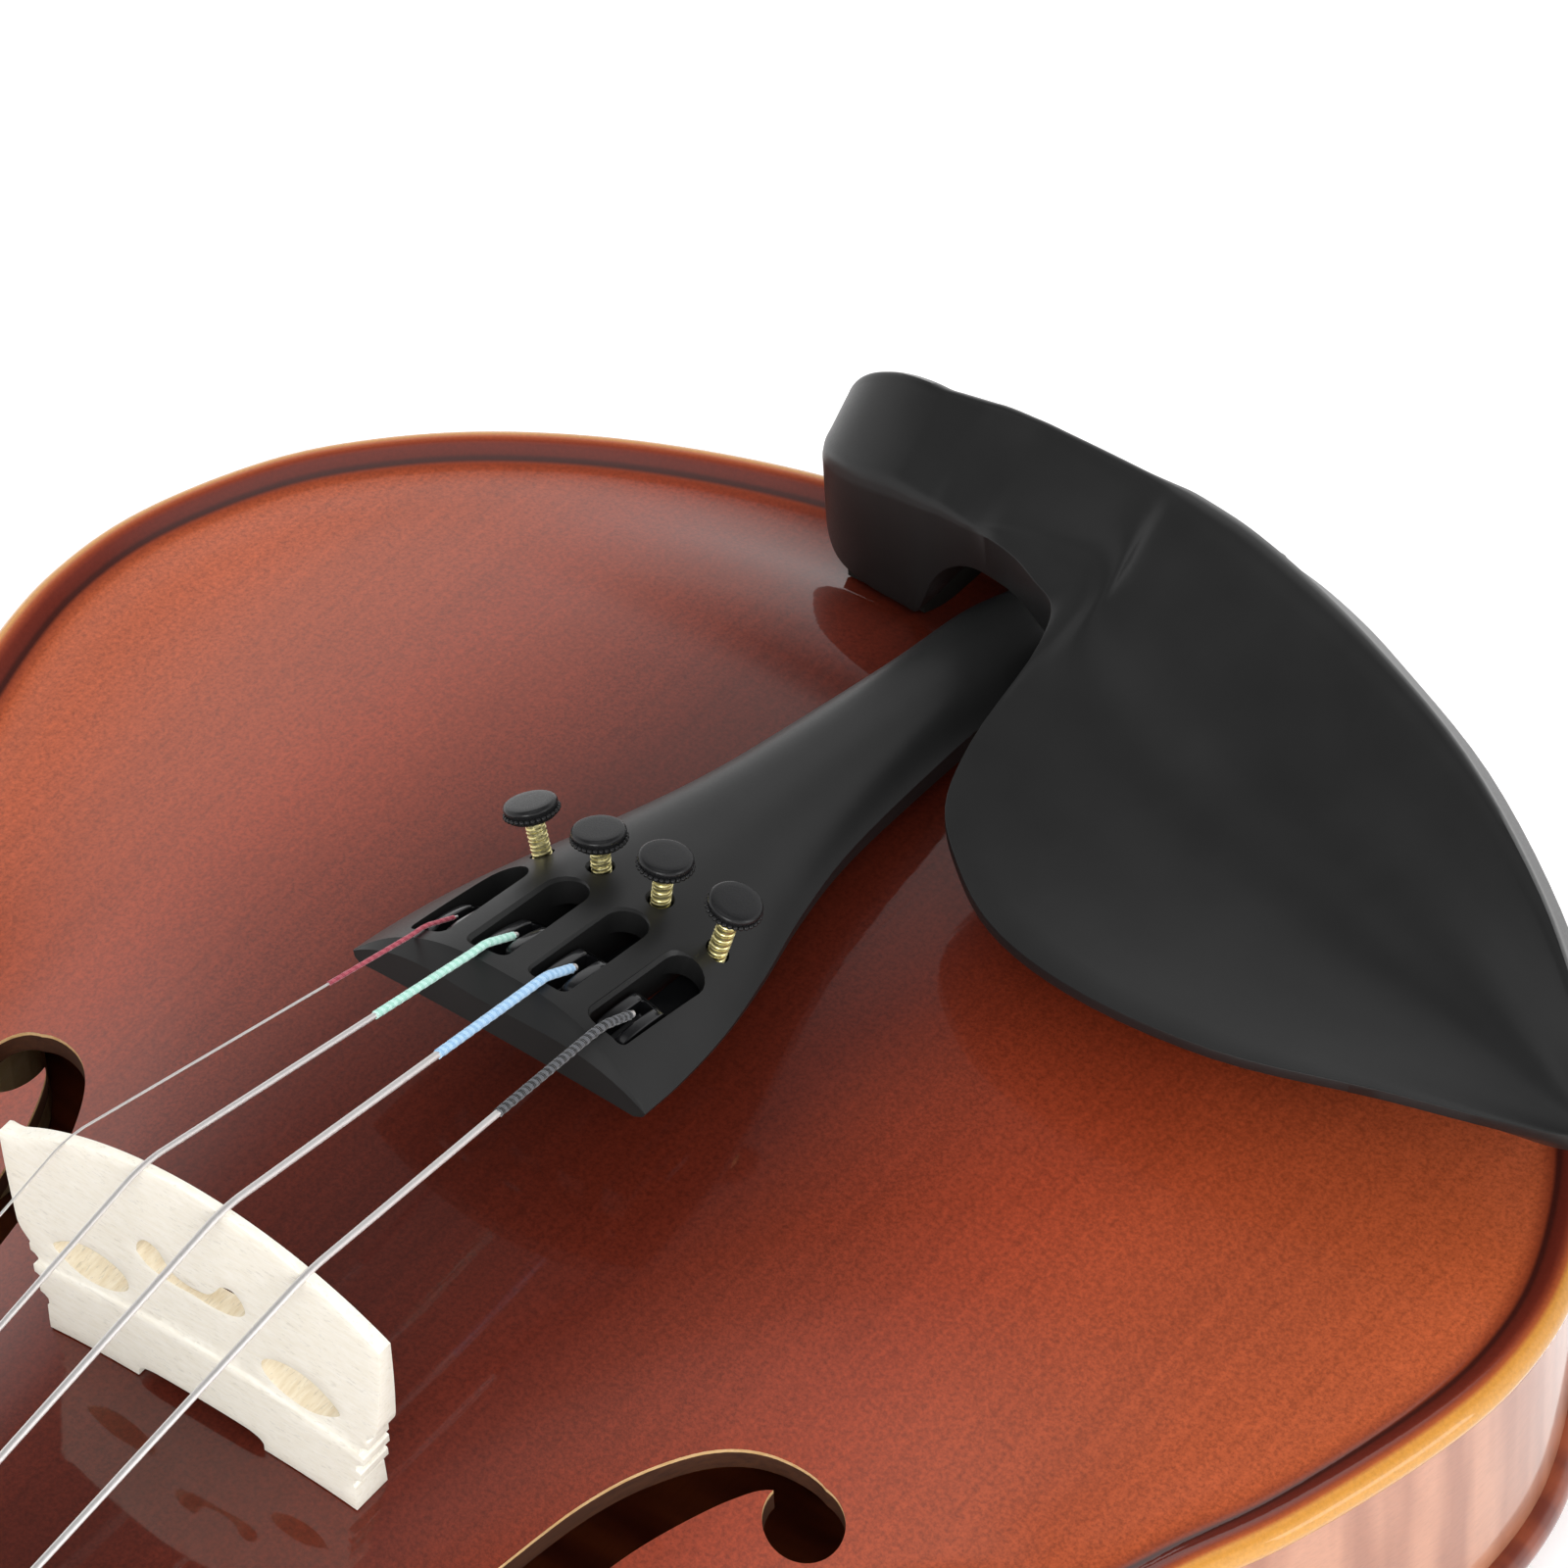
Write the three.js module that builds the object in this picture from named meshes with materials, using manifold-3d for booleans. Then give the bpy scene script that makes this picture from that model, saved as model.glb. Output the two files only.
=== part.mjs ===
import * as THREE from "three";
import { mergeVertices } from "three/addons/utils/BufferGeometryUtils.js";
import Module from "manifold-3d";

// A full-size violin that lies on its back, in millimetres.
// X points to the treble side, Y to the scroll and Z out of the belly.
// The origin is the crest of the back, straight under the middle of the bridge.

const wasm = await Module();
wasm.setup();

// Fits that several pieces share
const seatGap = 0.2; // between two pieces that are glued or rest on each other
const runningGap = 0.1; // round a peg or a screw in its hole
const cutOverrun = 2; // how far a cutter reaches past the face that it cuts
const mergeTolerance = 0.001;

// Body
const bodyLength = 356;
const stopShare = 0.5478; // of the body's length, from the upper edge of the belly to the bridge
const lowerBoutWidth = 209;
const upperBoutShare = 0.804; // of the lower bout's width, as the next one is
const waistShare = 0.531;
const cornerTipWidth = 7;
const edgeOverhang = 2.5;
const edgeThickness = 4;
const ribHeight = 31;
const ribThickness = 1.2;
const bellyArch = 15.5; // from the ribs to the crest
const backArch = 15;
const restFlatDepth = 0.4; // the crest of the back is flattened by this much
const plateThickness = 3;
const channelDepth = 1; // the hollow that runs round inside the edge
const channelInset = 5.5;
const shoulderInset = 12;
const shoulderRise = 0.4;
const buttonWidth = 22;
const buttonLength = 13;

// Places on the outline: the first number is a share of half the bout's width,
// the second a share of the body's length from the upper edge.
const upperBoutShares = [
  [0, 0], [0.3, 0.0062], [0.595, 0.028], [0.762, 0.0555], [0.923, 0.1125],
  [0.988, 0.169], [1, 0.2], [0.978, 0.242], [0.928, 0.281], [0.874, 0.3225],
];
const upperCornerShares = [0.929, 0.357];
const lowerCornerShares = [0.885, 0.643];
const lowerBoutShares = [
  [0.857, 0.6575], [0.878, 0.679], [0.933, 0.716], [0.988, 0.772], [1, 0.803],
  [0.985, 0.838], [0.914, 0.885], [0.837, 0.913], [0.7225, 0.941], [0.5455, 0.969],
  [0.306, 0.9912], [0, 1],
];
// Between the corners: a share of the flare from waist to corner, and a share of the way down.
const waistShares = [
  [0.8, -0.019], [0.6, -0.022], [0.42, 0.002], [0.24, 0.045], [0.107, 0.125], [0.02, 0.24], [0, 0.33],
  [0.025, 0.46], [0.08, 0.575], [0.167, 0.705], [0.282, 0.83], [0.42, 0.935], [0.57, 1], [0.72, 1.024],
  [0.87, 1.022],
];
const flareChangeShare = 0.4;
const upperCornerAngle = THREE.MathUtils.degToRad(28.6);
const lowerCornerAngle = THREE.MathUtils.degToRad(29.7);
const upperBoutSteps = 11;
const waistSteps = 14;
const lowerBoutSteps = 15;

// Arching
const spineShare = 0.78; // the crest line is this share of the body's length
const longArchDropShare = 0.36;
const longArchPower = 2.6;
const crossArchPower = 1.8;
const outerRingShares = [0.84, 0.64, 0.42, 0.2, 0];
const innerRingShares = [0.7, 0.36, 0];
const platformShare = 0.62; // the flat glue face inside the edge ends at this share of the shoulder

// Inside the body
const liningThickness = 2;
const liningHeight = 8;
const cornerBlockRadius = 20; // from the corner's tip to its inner face
const endBlockWidth = 50;
const endBlockDepth = 18;
const bassBarLength = 270;
const bassBarWidth = 5.5;
const bassBarHeight = 11;
const bassBarEndShare = 0.333; // its height at the ends
const bassBarSteps = 8;
const bassBarShare = -0.27; // its place across, as a share of half the waist
const soundPostRadius = 3.1;
const soundPostShare = 0.297;
const soundPostBehindBridge = 6;

// Sound holes
const upperEyeRadius = 3.2;
const upperEyeShare = 0.4415; // its place across, as a share of half the waist
const upperEyeY = 37.3;
const lowerEyeRadius = 4.4;
const lowerEyeShare = 1;
const lowerEyeY = -28.9;
const stemHalfWidth = 3.3;
// The stem runs from eye to eye: shares of the way across and along, and of its half width.
const stemShares = [
  [0.129, -0.044, 0.3], [0.203, -0.032, 0.45], [0.274, 0.02, 0.66], [0.323, 0.14, 0.9], [0.371, 0.36, 1],
  [0.442, 0.551, 1], [0.448, 0.563, 1.3], [0.458, 0.576, 1], [0.526, 0.764, 1], [0.6, 0.875, 0.96],
  [0.706, 0.974, 0.8], [0.806, 1.024, 0.58], [0.948, 1.05, 0.38], [1.048, 1.044, 0.25],
];

// Neck and fingerboard
const neckLength = 130; // from the body to the nut
const overstand = 7; // the fingerboard's underside above the belly's edge
const boardProjection = 26; // where its surface would meet the bridge, above the belly
const boardLength = 270;
const boardNutWidth = 24;
const boardEndWidth = 42;
const boardRadius = 42;
const boardEdgeThickness = 4.5;
const boardSteps = 8;
const mortiseDepth = 6;
const neckDepth = 12.8; // under the fingerboard, at the nut
const nutLength = 5.5;
const nutLip = 0.7; // above the fingerboard
const nutStringSpread = 16.8;
// Neck stations: share of the neck's length from the body, and share of the heel's depth.
const neckShares = [
  [0.035, 0.86], [0.08, 0.62], [0.13, 0.4], [0.2, 0.16], [0.3, 0.07], [0.6, 0.02], [0.9, 0],
];
const neckSectionSteps = 10;
const neckSidePower = 0.62; // how square the neck's section is
const neckBackPower = 0.8;

// Pegbox and scroll
const pegboxLength = 70;
const pegboxHalfWidth = 13.3;
const throatHalfWidth = 10.4;
const cheekThickness = 4.6;
const pegboxFloor = 5;
const pegboxRise = 4.6; // the cheeks above the fingerboard's underside, at the nut
const pegboxDepthShares = [ // share of the length, rise or fall of the top, depth of the back
  [0, 1, 0.46], [0.1, 1, 0.56], [0.25, 0.86, 0.68], [0.45, 0.35, 0.78], [0.65, -0.5, 0.87], [0.85, -1.5, 0.95],
  [1, -2.3, 1],
];
const pegboxBackDepth = 30;
const cavityMarginShare = 0.02; // of the pegbox's length, between the nut and the cavity
const cavityShares = [0.2, 0.4, 0.6, 0.8, 0.93];
const scrollLength = 107; // from the nut to the far end of the scroll
const scrollRadius = 20.2;
const scrollEyeDepth = 13.8;
const scrollRadiusShares = [
  1, 0.965, 0.92, 0.84, 0.66, 0.54, 0.45, 0.385, 0.33, 0.29, 0.26, 0.235,
]; // one for each quarter turn, from the back round over the far end
const scrollStepsPerQuarter = 4;
const scrollHalfWidths = [7.2, 13, 17.4, 20.5]; // each inner turn stands wider
const scrollEyeRadius = 4.4;
const throatStartShare = 0.8; // of the pegbox's length
const throatQuarter = 2.6; // where the throat leaves the scroll's outer turn

// Pegs
const pegHeadRadius = 3.75; // where the peg enters, by its head
const pegTipRadius = 3.3;
const pegShaftSides = 16;
const pegTipOverhang = 1;
const pegCollarRadius = 4.9;
const pegCollarGap = 3;
const pegStemRadius = 3;
const pegThumbLength = 20;
const pegThumbWidth = 23;
const pegThumbThickness = 6.4;
const pegStemLength = 9;
const pegCollarShares = [0.4, 0.8, 1.2]; // of the gap: where the collar starts, ends and has run out
const pegThumbSetShare = 0.36; // of the thumb piece's length, from the stem's end to its middle
const windingLoops = 3;
const windingStepsPerLoop = 24;
const windingSides = 6;
const windingSearchSteps = 4;
const windingPitchGap = 0.5; // clear space between two turns
const windingStandOff = 0.15;

// Bridge
const bridgeHeight = 34.5;
const bridgeFootThickness = 4.4;
const bridgeTopThickness = 1.4;
const bridgeHalfWidth = 21.3; // at the feet
const bridgeTopHalfWidth = 26;
const bridgeCrownRadius = 44;
const bridgeCrownTiltShare = 0.022; // the crown falls towards the treble side
const bridgeFootLength = 12.6;
const bridgeFootHeight = 3;
const bridgeFootSink = 6; // cut away by the belly's arch
const bridgeStepDepth = 0.7;
const bridgeStepPitch = 2.6;
const bridgeStepCount = 3;
const bridgeStepShares = [[-1, 0], [-1, 0.3], [0.6, 0.5], [0.6, 1]]; // of a step's depth and of its pitch
const bridgeStepLeanShare = 0.6; // each step stands out from the one below
const bridgeFootArchShares = [[0, 0.3], [0.5, 0.65]]; // of the feet's height, inwards and up
const bridgeShoulderHeight = 26.6;
const heartHalfWidth = 7.1;
const heartBase = 18.3;
const heartHeight = 5;
const kidneyX = 14;
const kidneyZ = 12.8;
const kidneyHalfWidth = 5.2;
const kidneyHalfHeight = 3;
const bridgeCurveSteps = 14;
const stringSpacingAtBridge = 10.9;

// Strings: gauge, silk colour, how far each tuner's screw stands out, and the peg's place along the pegbox
const strings = [
  { name: "g", orderShare: -1.5, gauge: 0.82, silk: 0x2c2d30, exposure: 5.2, pegShare: 0.215 },
  { name: "d", orderShare: -0.5, gauge: 0.86, silk: 0xa3c6e8, exposure: 4, pegShare: 0.62 },
  { name: "a", orderShare: 0.5, gauge: 0.7, silk: 0xb9e2d6, exposure: 2.8, pegShare: 0.82 },
  { name: "e", orderShare: 1.5, gauge: 0.3, silk: 0xb2475a, exposure: 3.7, pegShare: 0.42 },
];
const stringSides = 8;
const stringClearance = 0.12;
const silkThickness = 0.1;
const stringBendReach = 2.4;
const stringNutShare = 0.2; // where a string bends over the nut, as a share of the nut's length

// Tailpiece
const tailpieceRidgeY = -50.5;
const tailpieceRidgeZ = 82.6;
const tailpieceTailRise = 6; // the surface above the saddle, at the tail
const tailGutSpan = 15.9; // from the tailpiece's end to the end of the belly
const tailpieceHalfWidth = 20.3;
const tailpieceCrown = 8;
const tailpieceUnderCrown = 1.2;
const tailpieceHollow = 2.6; // the underside is arched by this much at the ridge
const tailpieceFrontReach = 2.2; // the face in front of the ridge leans this far forward
const tailpieceFrontDrop = 3;
const tailpieceFrontShare = 0.995; // of the half width
const tailpieceRidgeEase = 0.02; // from the front face's corners to the ridge
// Stations: share of the length, share of the half width, share of the crown, share of the depth
const tailpieceShares = [
  [0, 1, 1, 1], [0.06, 0.985, 0.98, 0.99], [0.16, 0.92, 0.93, 0.97], [0.27, 0.79, 0.86, 0.96],
  [0.38, 0.63, 0.78, 0.92], [0.5, 0.5, 0.7, 0.88], [0.65, 0.42, 0.62, 0.86], [0.82, 0.36, 0.56, 0.85],
  [0.94, 0.35, 0.54, 0.84], [1, 0.27, 0.5, 0.76],
];
const tailpieceCrownPower = 2.8;
const tailpieceUnderShares = [-0.92, -0.5, 0, 0.5, 0.92];
const tailpieceSectionSteps = 12;
const tailpieceSkin = 3.2;

// Fine tuners, each in a frame on the tailpiece's surface: s runs to the tail, h stands out
const tunerSpacing = 8.3;
const tunerFanRadius = 42;
const tunerLeanAngle = 0.075; // all of them lean to the treble side
const slotStart = 2.2;
const slotLength = 16.4;
const slotWidth = 5.2;
const slotEndSteps = 6;
const screwAt = 22.2;
const screwRadius = 1.3;
const screwLength = 9.5;
const screwSides = 12;
const screwTipRadius = 0.8;
const screwTipLength = 0.7;
const capRadius = 3.3;
const capHeight = 2.1;
const capBevel = 0.5;
const capSides = 24;
const capGrip = 0.25; // depth of the grooves round the cap
const leverWidth = 4.2;
const leverPivotAt = 8.5;
const leverPivotDepth = 6.4;
const leverArmRest = 5.8; // depth of the arm's top when it lies level
const leverArmThickness = 2;
const leverHeadReach = 5.1;
const leverNotchWidth = 1.6;
const leverNotchDepth = 2.2;
// The lever's outline round its pivot: shares of the head's reach, along and up
const leverHeadShares = [
  [-0.78, 0.1], [-0.74, 0.62], [-0.42, 0.94], [0.1, 1], [0.42, 0.78], [0.6, 0.34],
];
const leverArmRootShare = 0.95;
// The underside below the arm's top: shares of the head's reach and of the arm's thickness
const leverUnderShares = [[0.4, 1.4], [-0.4, 1.2]];
const screwTipGap = 0.4;
const pocketWidth = 5.2;
const pocketEnd = 26.5;
const stringAnchorAt = 7.4;
const stringAnchorDepth = 1.1;

// Saddle, tail gut and end button
const saddleWidth = 36;
const saddleLength = 5.6;
const saddleRise = 5;
const tailGutRadius = 1.1;
const tailGutSpread = 4.5; // over the saddle
const tailGutExitSpread = 3.5; // where it leaves the tailpiece
const tailGutDepth = 4.6; // below the tailpiece's surface
const tailGutPocketSkin = 2.4;
const tailGutPocketHalfWidth = 5.2;
const tailGutPocketWall = 3;
const tailGutPocketLength = 9;
const tailGutSides = 8;
const tailGutNutRadius = 1.6;
const tailGutNutLength = 3;
const buttonZ = 30.5;
const endButtonShankRadius = 3.8;
const endButtonShankLength = 15;
const endButtonNeckRadius = 5;
const endButtonCollarRadius = 7.2;
const endButtonHeadRadius = 7;
const endButtonReach = 15;
const endButtonSides = 24;
const endButtonTipShare = 0.9; // the shank's taper
// How far out each part of the button ends, as shares of its reach
const endButtonShares = { collar: 0.2, neckStart: 0.28, neckEnd: 0.52, headStart: 0.66, headEnd: 0.9, face: 0.8 };
const tailGutLoopShare = 0.4; // how far out the gut lies round the button's neck
const tailGutSaddleShares = [[-1, 1.05], [0, 1.1], [0.8, 0.8], [1.1, 0], [1.05, -1]]; // round the saddle's edge
const tailGutDropShares = [0.6, 0.7]; // on the way from the saddle to the button
const tailGutSteps = 8;

// Chin rest: it passes over the tailpiece and its plate lies on the bass side.
const chinRestDepth = 70; // from the end of the belly to its front edge
const chinRestHeight = 28; // above the belly's edge
const chinRestFallShare = 1.42; // how steeply it falls behind its ridge
const chinRestLip = 1.7; // thickness taken off the front edge
const chinRestLeastLipShare = 0.8;
const chinRestAcrossShares = [0.3, 0.6, 0.86]; // from the front edge to the ridge, over the dish
const chinRestDishShares = [0.75, 0.72]; // how far the first is down to the dish, the last up to the ridge
const chinRestBehindShares = [0.4, 0.8, 1]; // from the ridge to the rear edge
const chinRestUnderShares = [0.8, 0.55, 0.25]; // the underside, back to the front edge
const chinRestRearShare = 0.75;
const chinRestHollowShare = 0.4;
// Sections from bass to treble. Each gives its place as a share of half the lower bout; then front as a share of
// the depth; top, wall and dish as shares of the height; ridge, a share of the depth; crest, of the height;
// rear, of the depth; and under, of the height.
const chinRestShares = [
  [-0.967, 0.714, 0.571, 0.093, 0.564, 0.68, 0.579, 0.66, 0.464],
  [-0.928, 0.751, 0.589, 0.107, 0.536, 0.643, 0.621, 0.609, 0.443],
  [-0.861, 0.791, 0.607, 0.114, 0.514, 0.549, 0.693, 0.494, 0.429],
  [-0.753, 0.851, 0.643, 0.114, 0.507, 0.417, 0.771, 0.357, 0.414],
  [-0.583, 0.943, 0.679, 0.118, 0.529, 0.266, 0.864, 0.186, 0.393],
  [-0.411, 0.971, 0.707, 0.121, 0.564, 0.169, 0.936, 0.057, 0.357],
  [-0.297, 0.94, 0.721, 0.125, 0.593, 0.123, 0.971, -0.054, 0.2],
  [-0.22, 0.871, 0.736, 0.129, 0.621, 0.1, 0.993, -0.1, 0.164],
  [-0.167, 0.794, 0.75, 0.136, 0.657, 0.091, 1, -0.106, 0.164],
  [-0.138, 0.671, 0.771, 0.143, 0.707, 0.087, 1, -0.1, 0.179],
  [-0.117, 0.443, 0.829, 0.164, 0.829, 0.087, 1, -0.057, 0.357],
  [-0.096, 0.363, 0.857, 0.214, 0.893, 0.087, 1, 0.009, 0.607],
  [-0.029, 0.317, 0.871, 0.243, 0.921, 0.087, 1, 0.014, 0.629],
  [0.048, 0.294, 0.871, 0.243, 0.929, 0.089, 1, 0.014, 0.629],
  [0.096, 0.286, 0.864, 0.3, 0.929, 0.097, 1.007, 0, 0.586],
  [0.115, 0.286, 0.857, 0.586, 0.921, 0.106, 1.011, -0.086, 0.214],
  [0.191, 0.283, 0.85, 0.586, 0.914, 0.129, 1.007, -0.1, 0.171],
  [0.249, 0.269, 0.836, 0.55, 0.886, 0.143, 0.964, -0.069, 0.193],
  [0.281, 0.229, 0.75, 0.429, 0.8, 0.143, 0.85, 0.014, 0.286],
  [0.293, 0.191, 0.643, 0.25, 0.664, 0.143, 0.693, 0.071, 0.379],
];
const clampShare = 0.1914; // of half the lower bout
const clampSetback = 3.8; // behind the end of the belly
const clampStudRadius = 1.6;
const clampStudLength = 20;
const clampBarrelRadius = 3.2;
const clampBarrelLength = 30;
const clampBarrelRise = 4; // above the belly's edge
const clampBarrelEngagement = 12; // of the stud in the barrel, and of the foot's post
const clampBarrelBore = 1.85;
const clampSides = 16;
const clampFootGap = 1.2; // the cork is fitted to the back's arch over this depth
const clampCorkThickness = 4.1;
const clampFootThickness = 2.2;
const clampFootMargin = 4;
const clampFootReach = 18; // from the posts in under the back's edge
const corkThickness = 3; // of the chin rest's foot over the stud
const chinRestFootGap = 2.6; // the cork's thickness over the belly's edge
const corkLength = 13.5;
const corkWidth = 14;

// Finishes of the separate pieces
const belly = { color: 0x9c4a33, roughness: 0.2, metalness: 0 };
const maple = { color: 0x9a5238, roughness: 0.22, metalness: 0 };
const bareSpruce = { color: 0xd9bf93, roughness: 0.7, metalness: 0 };
const bareMaple = { color: 0xf0ede2, roughness: 0.6, metalness: 0 };
const ebony = { color: 0x262423, roughness: 0.45, metalness: 0 };
const plastic = { color: 0x2c2c2d, roughness: 0.5, metalness: 0 };
const darkMetal = { color: 0x1a1a1b, roughness: 0.35, metalness: 0.6 };
const brass = { color: 0xd9cf8a, roughness: 0.3, metalness: 1 };
const steel = { color: 0xd8d8da, roughness: 0.3, metalness: 1 };
const nickel = { color: 0xc9c9c6, roughness: 0.25, metalness: 1 };
const cork = { color: 0xb98d5e, roughness: 0.9, metalness: 0 };
const nylon = { color: 0x1d1d1e, roughness: 0.5, metalness: 0 };

// Heights that follow from the sizes above
const backJoint = backArch;
const bellyJoint = backArch + ribHeight;
const bellyEdge = bellyJoint + edgeThickness;
const backEdge = backJoint - edgeThickness;
const bellyCrest = bellyJoint + bellyArch;
const upperEnd = bodyLength * stopShare;
const lowerEnd = upperEnd - bodyLength;
const bodyMiddle = upperEnd - bodyLength / 2;
const upperBoutWidth = lowerBoutWidth * upperBoutShare;
const waistWidth = lowerBoutWidth * waistShare;
const upperEyeX = (waistWidth / 2) * upperEyeShare;
const lowerEyeX = (waistWidth / 2) * lowerEyeShare;
const bassBarX = (waistWidth / 2) * bassBarShare;
const soundPostX = (waistWidth / 2) * soundPostShare;
const nutY = upperEnd + neckLength;
const boardEndY = nutY - boardLength;
const ribInner = edgeOverhang + ribThickness;
const innerFace = ribInner + seatGap;
const padsFrom = lowerEnd + saddleLength + 3 * seatGap;
const quarterTurn = Math.PI / 2;
const tailpieceFall = tailpieceRidgeZ - bellyEdge - saddleRise - tailpieceTailRise;
const tailpieceRun = tailpieceRidgeY - lowerEnd - tailGutSpan;
const tailSlopeAngle = Math.atan2(tailpieceFall, tailpieceRun);
const tailpieceLength = Math.hypot(tailpieceFall, tailpieceRun);
const clampX = (lowerBoutWidth / 2) * clampShare;
const clampY = lowerEnd - clampSetback;
const chinRestFeetBottom = bellyEdge + chinRestFootGap;
const clampBarrelTop = bellyEdge + clampBarrelRise;
const clampBarrelBottom = clampBarrelTop - clampBarrelLength;
const clampStudBottom = clampBarrelTop - clampBarrelEngagement;
const clampStudTop = clampStudBottom + clampStudLength;
const clampPostTop = clampBarrelBottom + clampBarrelEngagement;
const clampFootTop = backEdge - clampFootGap - clampCorkThickness;
const clampFootBottom = clampFootTop - clampFootThickness;

// Solids

function solidFrom(geometry) {
  const bare = geometry.clone();
  bare.deleteAttribute("normal");
  bare.deleteAttribute("uv");
  const merged = mergeVertices(bare, mergeTolerance);
  const index = merged.index.array;
  const triangles = [];
  for (let i = 0; i < index.length; i += 3) {
    const [a, b, c] = [index[i], index[i + 1], index[i + 2]];
    if (a !== b && b !== c && c !== a) triangles.push(a, b, c);
  }
  const vertProperties = new Float32Array(merged.attributes.position.array);
  const build = (list) => {
    const triVerts = new Uint32Array(list);
    return new wasm.Manifold(new wasm.Mesh({ numProp: 3, vertProperties, triVerts }));
  };
  const solid = build(triangles);
  return solid.volume() < 0 ? build(triangles.slice().reverse()) : solid;
}

function geometryOf(solid) {
  const mesh = solid.getMesh();
  const geometry = new THREE.BufferGeometry();
  geometry.setAttribute("position", new THREE.BufferAttribute(mesh.vertProperties, mesh.numProp));
  geometry.setIndex(new THREE.BufferAttribute(mesh.triVerts, 1));
  return geometry;
}

function moved(solid, matrix) {
  return solidFrom(geometryOf(solid).applyMatrix4(matrix));
}

function largest(solid) {
  return solid.decompose().sort((a, b) => b.volume() - a.volume())[0];
}

function shifted(solid, x, y, z) {
  return moved(solid, new THREE.Matrix4().makeTranslation(x, y, z));
}

// A solid through rings of equal length, closed at both ends from their middles.
function loft(rings) {
  const points = [];
  const faces = [];
  const count = rings[0].length;
  rings.forEach((ring) => ring.forEach((p) => points.push(p.x, p.y, p.z)));
  const at = (ring, i) => ring * count + (i % count);
  for (let ring = 0; ring + 1 < rings.length; ring += 1) {
    for (let i = 0; i < count; i += 1) {
      faces.push(at(ring, i), at(ring, i + 1), at(ring + 1, i + 1));
      faces.push(at(ring, i), at(ring + 1, i + 1), at(ring + 1, i));
    }
  }
  const cap = (ring, turn) => {
    const middle = new THREE.Vector3();
    rings[ring].forEach((p) => middle.addScaledVector(p, 1 / count));
    points.push(middle.x, middle.y, middle.z);
    const hub = points.length / 3 - 1;
    for (let i = 0; i < count; i += 1) {
      const pair = turn ? [at(ring, i + 1), at(ring, i)] : [at(ring, i), at(ring, i + 1)];
      faces.push(hub, ...pair);
    }
  };
  cap(0, true);
  cap(rings.length - 1, false);
  const geometry = new THREE.BufferGeometry();
  geometry.setAttribute("position", new THREE.Float32BufferAttribute(points, 3));
  geometry.setIndex(faces);
  return solidFrom(geometry);
}

function shapeOf(points) {
  return new THREE.Shape(points.map((p) => new THREE.Vector2(p.x, p.y)));
}

function extrude(shape, depth) {
  return new THREE.ExtrudeGeometry(shape, { depth, steps: 1, curveSegments: 12, bevelEnabled: false });
}

function prismUp(points, low, high) {
  return solidFrom(extrude(shapeOf(points), high - low).translate(0, 0, low));
}

// The shape's x and y become the model's y and z, and it is extruded along the model's x.
function prismAcross(points, low, high) {
  const turn = new THREE.Matrix4().makeBasis(
    new THREE.Vector3(0, 1, 0), new THREE.Vector3(0, 0, 1), new THREE.Vector3(1, 0, 0),
  );
  return solidFrom(extrude(shapeOf(points), high - low).applyMatrix4(turn).translate(low, 0, 0));
}

// The shape's x and y become the model's x and z, and it is extruded along the model's y.
function prismAlong(points, low, high, holes = []) {
  const shape = shapeOf(points);
  shape.holes = holes.map((hole) => new THREE.Path(hole));
  return solidFrom(extrude(shape, high - low).rotateX(quarterTurn).translate(0, high, 0));
}

function box(low, high) {
  const size = new THREE.Vector3().subVectors(high, low);
  const middle = new THREE.Vector3().addVectors(low, high).multiplyScalar(0.5);
  return solidFrom(new THREE.BoxGeometry(size.x, size.y, size.z).translate(middle.x, middle.y, middle.z));
}

function vec(x, y, z) {
  return new THREE.Vector3(x, y, z);
}

// A turned piece: the profile's points are radius and distance along the axis.
function turned(profile, sides, axis) {
  const points = profile.map(([radius, along]) => new THREE.Vector2(radius, along));
  const geometry = new THREE.LatheGeometry(points, sides);
  if (axis === "x") geometry.rotateZ(-quarterTurn);
  if (axis === "z") geometry.rotateX(quarterTurn);
  return solidFrom(geometry);
}

// A path that steps through its stations one by one.
class Route extends THREE.Curve {
  constructor(stations) {
    super();
    this.stations = stations;
  }

  getPoint(t, target = new THREE.Vector3()) {
    const last = this.stations.length - 1;
    const place = Math.min(Math.max(t, 0), 1) * last;
    const index = Math.min(Math.floor(place), last - 1);
    return target.lerpVectors(this.stations[index], this.stations[index + 1], place - index);
  }

  getUtoTmapping(u) {
    return u;
  }
}

function tube(stations, radius, sides) {
  const section = [];
  for (let i = 0; i < sides; i += 1) {
    const angle = (i / sides) * Math.PI * 2;
    section.push(new THREE.Vector2(Math.cos(angle) * radius, Math.sin(angle) * radius));
  }
  const options = { steps: stations.length - 1, extrudePath: new Route(stations), bevelEnabled: false };
  return solidFrom(new THREE.ExtrudeGeometry(new THREE.Shape(section), options));
}

function lerp(a, b, share) {
  return a + (b - a) * share;
}

// Outline of the plates

function smooth(points, steps) {
  const curve = new THREE.CatmullRomCurve3(points.map((p) => vec(p.x, p.y, 0)), false, "centripetal");
  return curve.getPoints(steps).map((p) => new THREE.Vector2(p.x, p.y));
}

function boutPoint([across, along], width) {
  return new THREE.Vector2((across * width) / 2, upperEnd - along * bodyLength);
}

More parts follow.
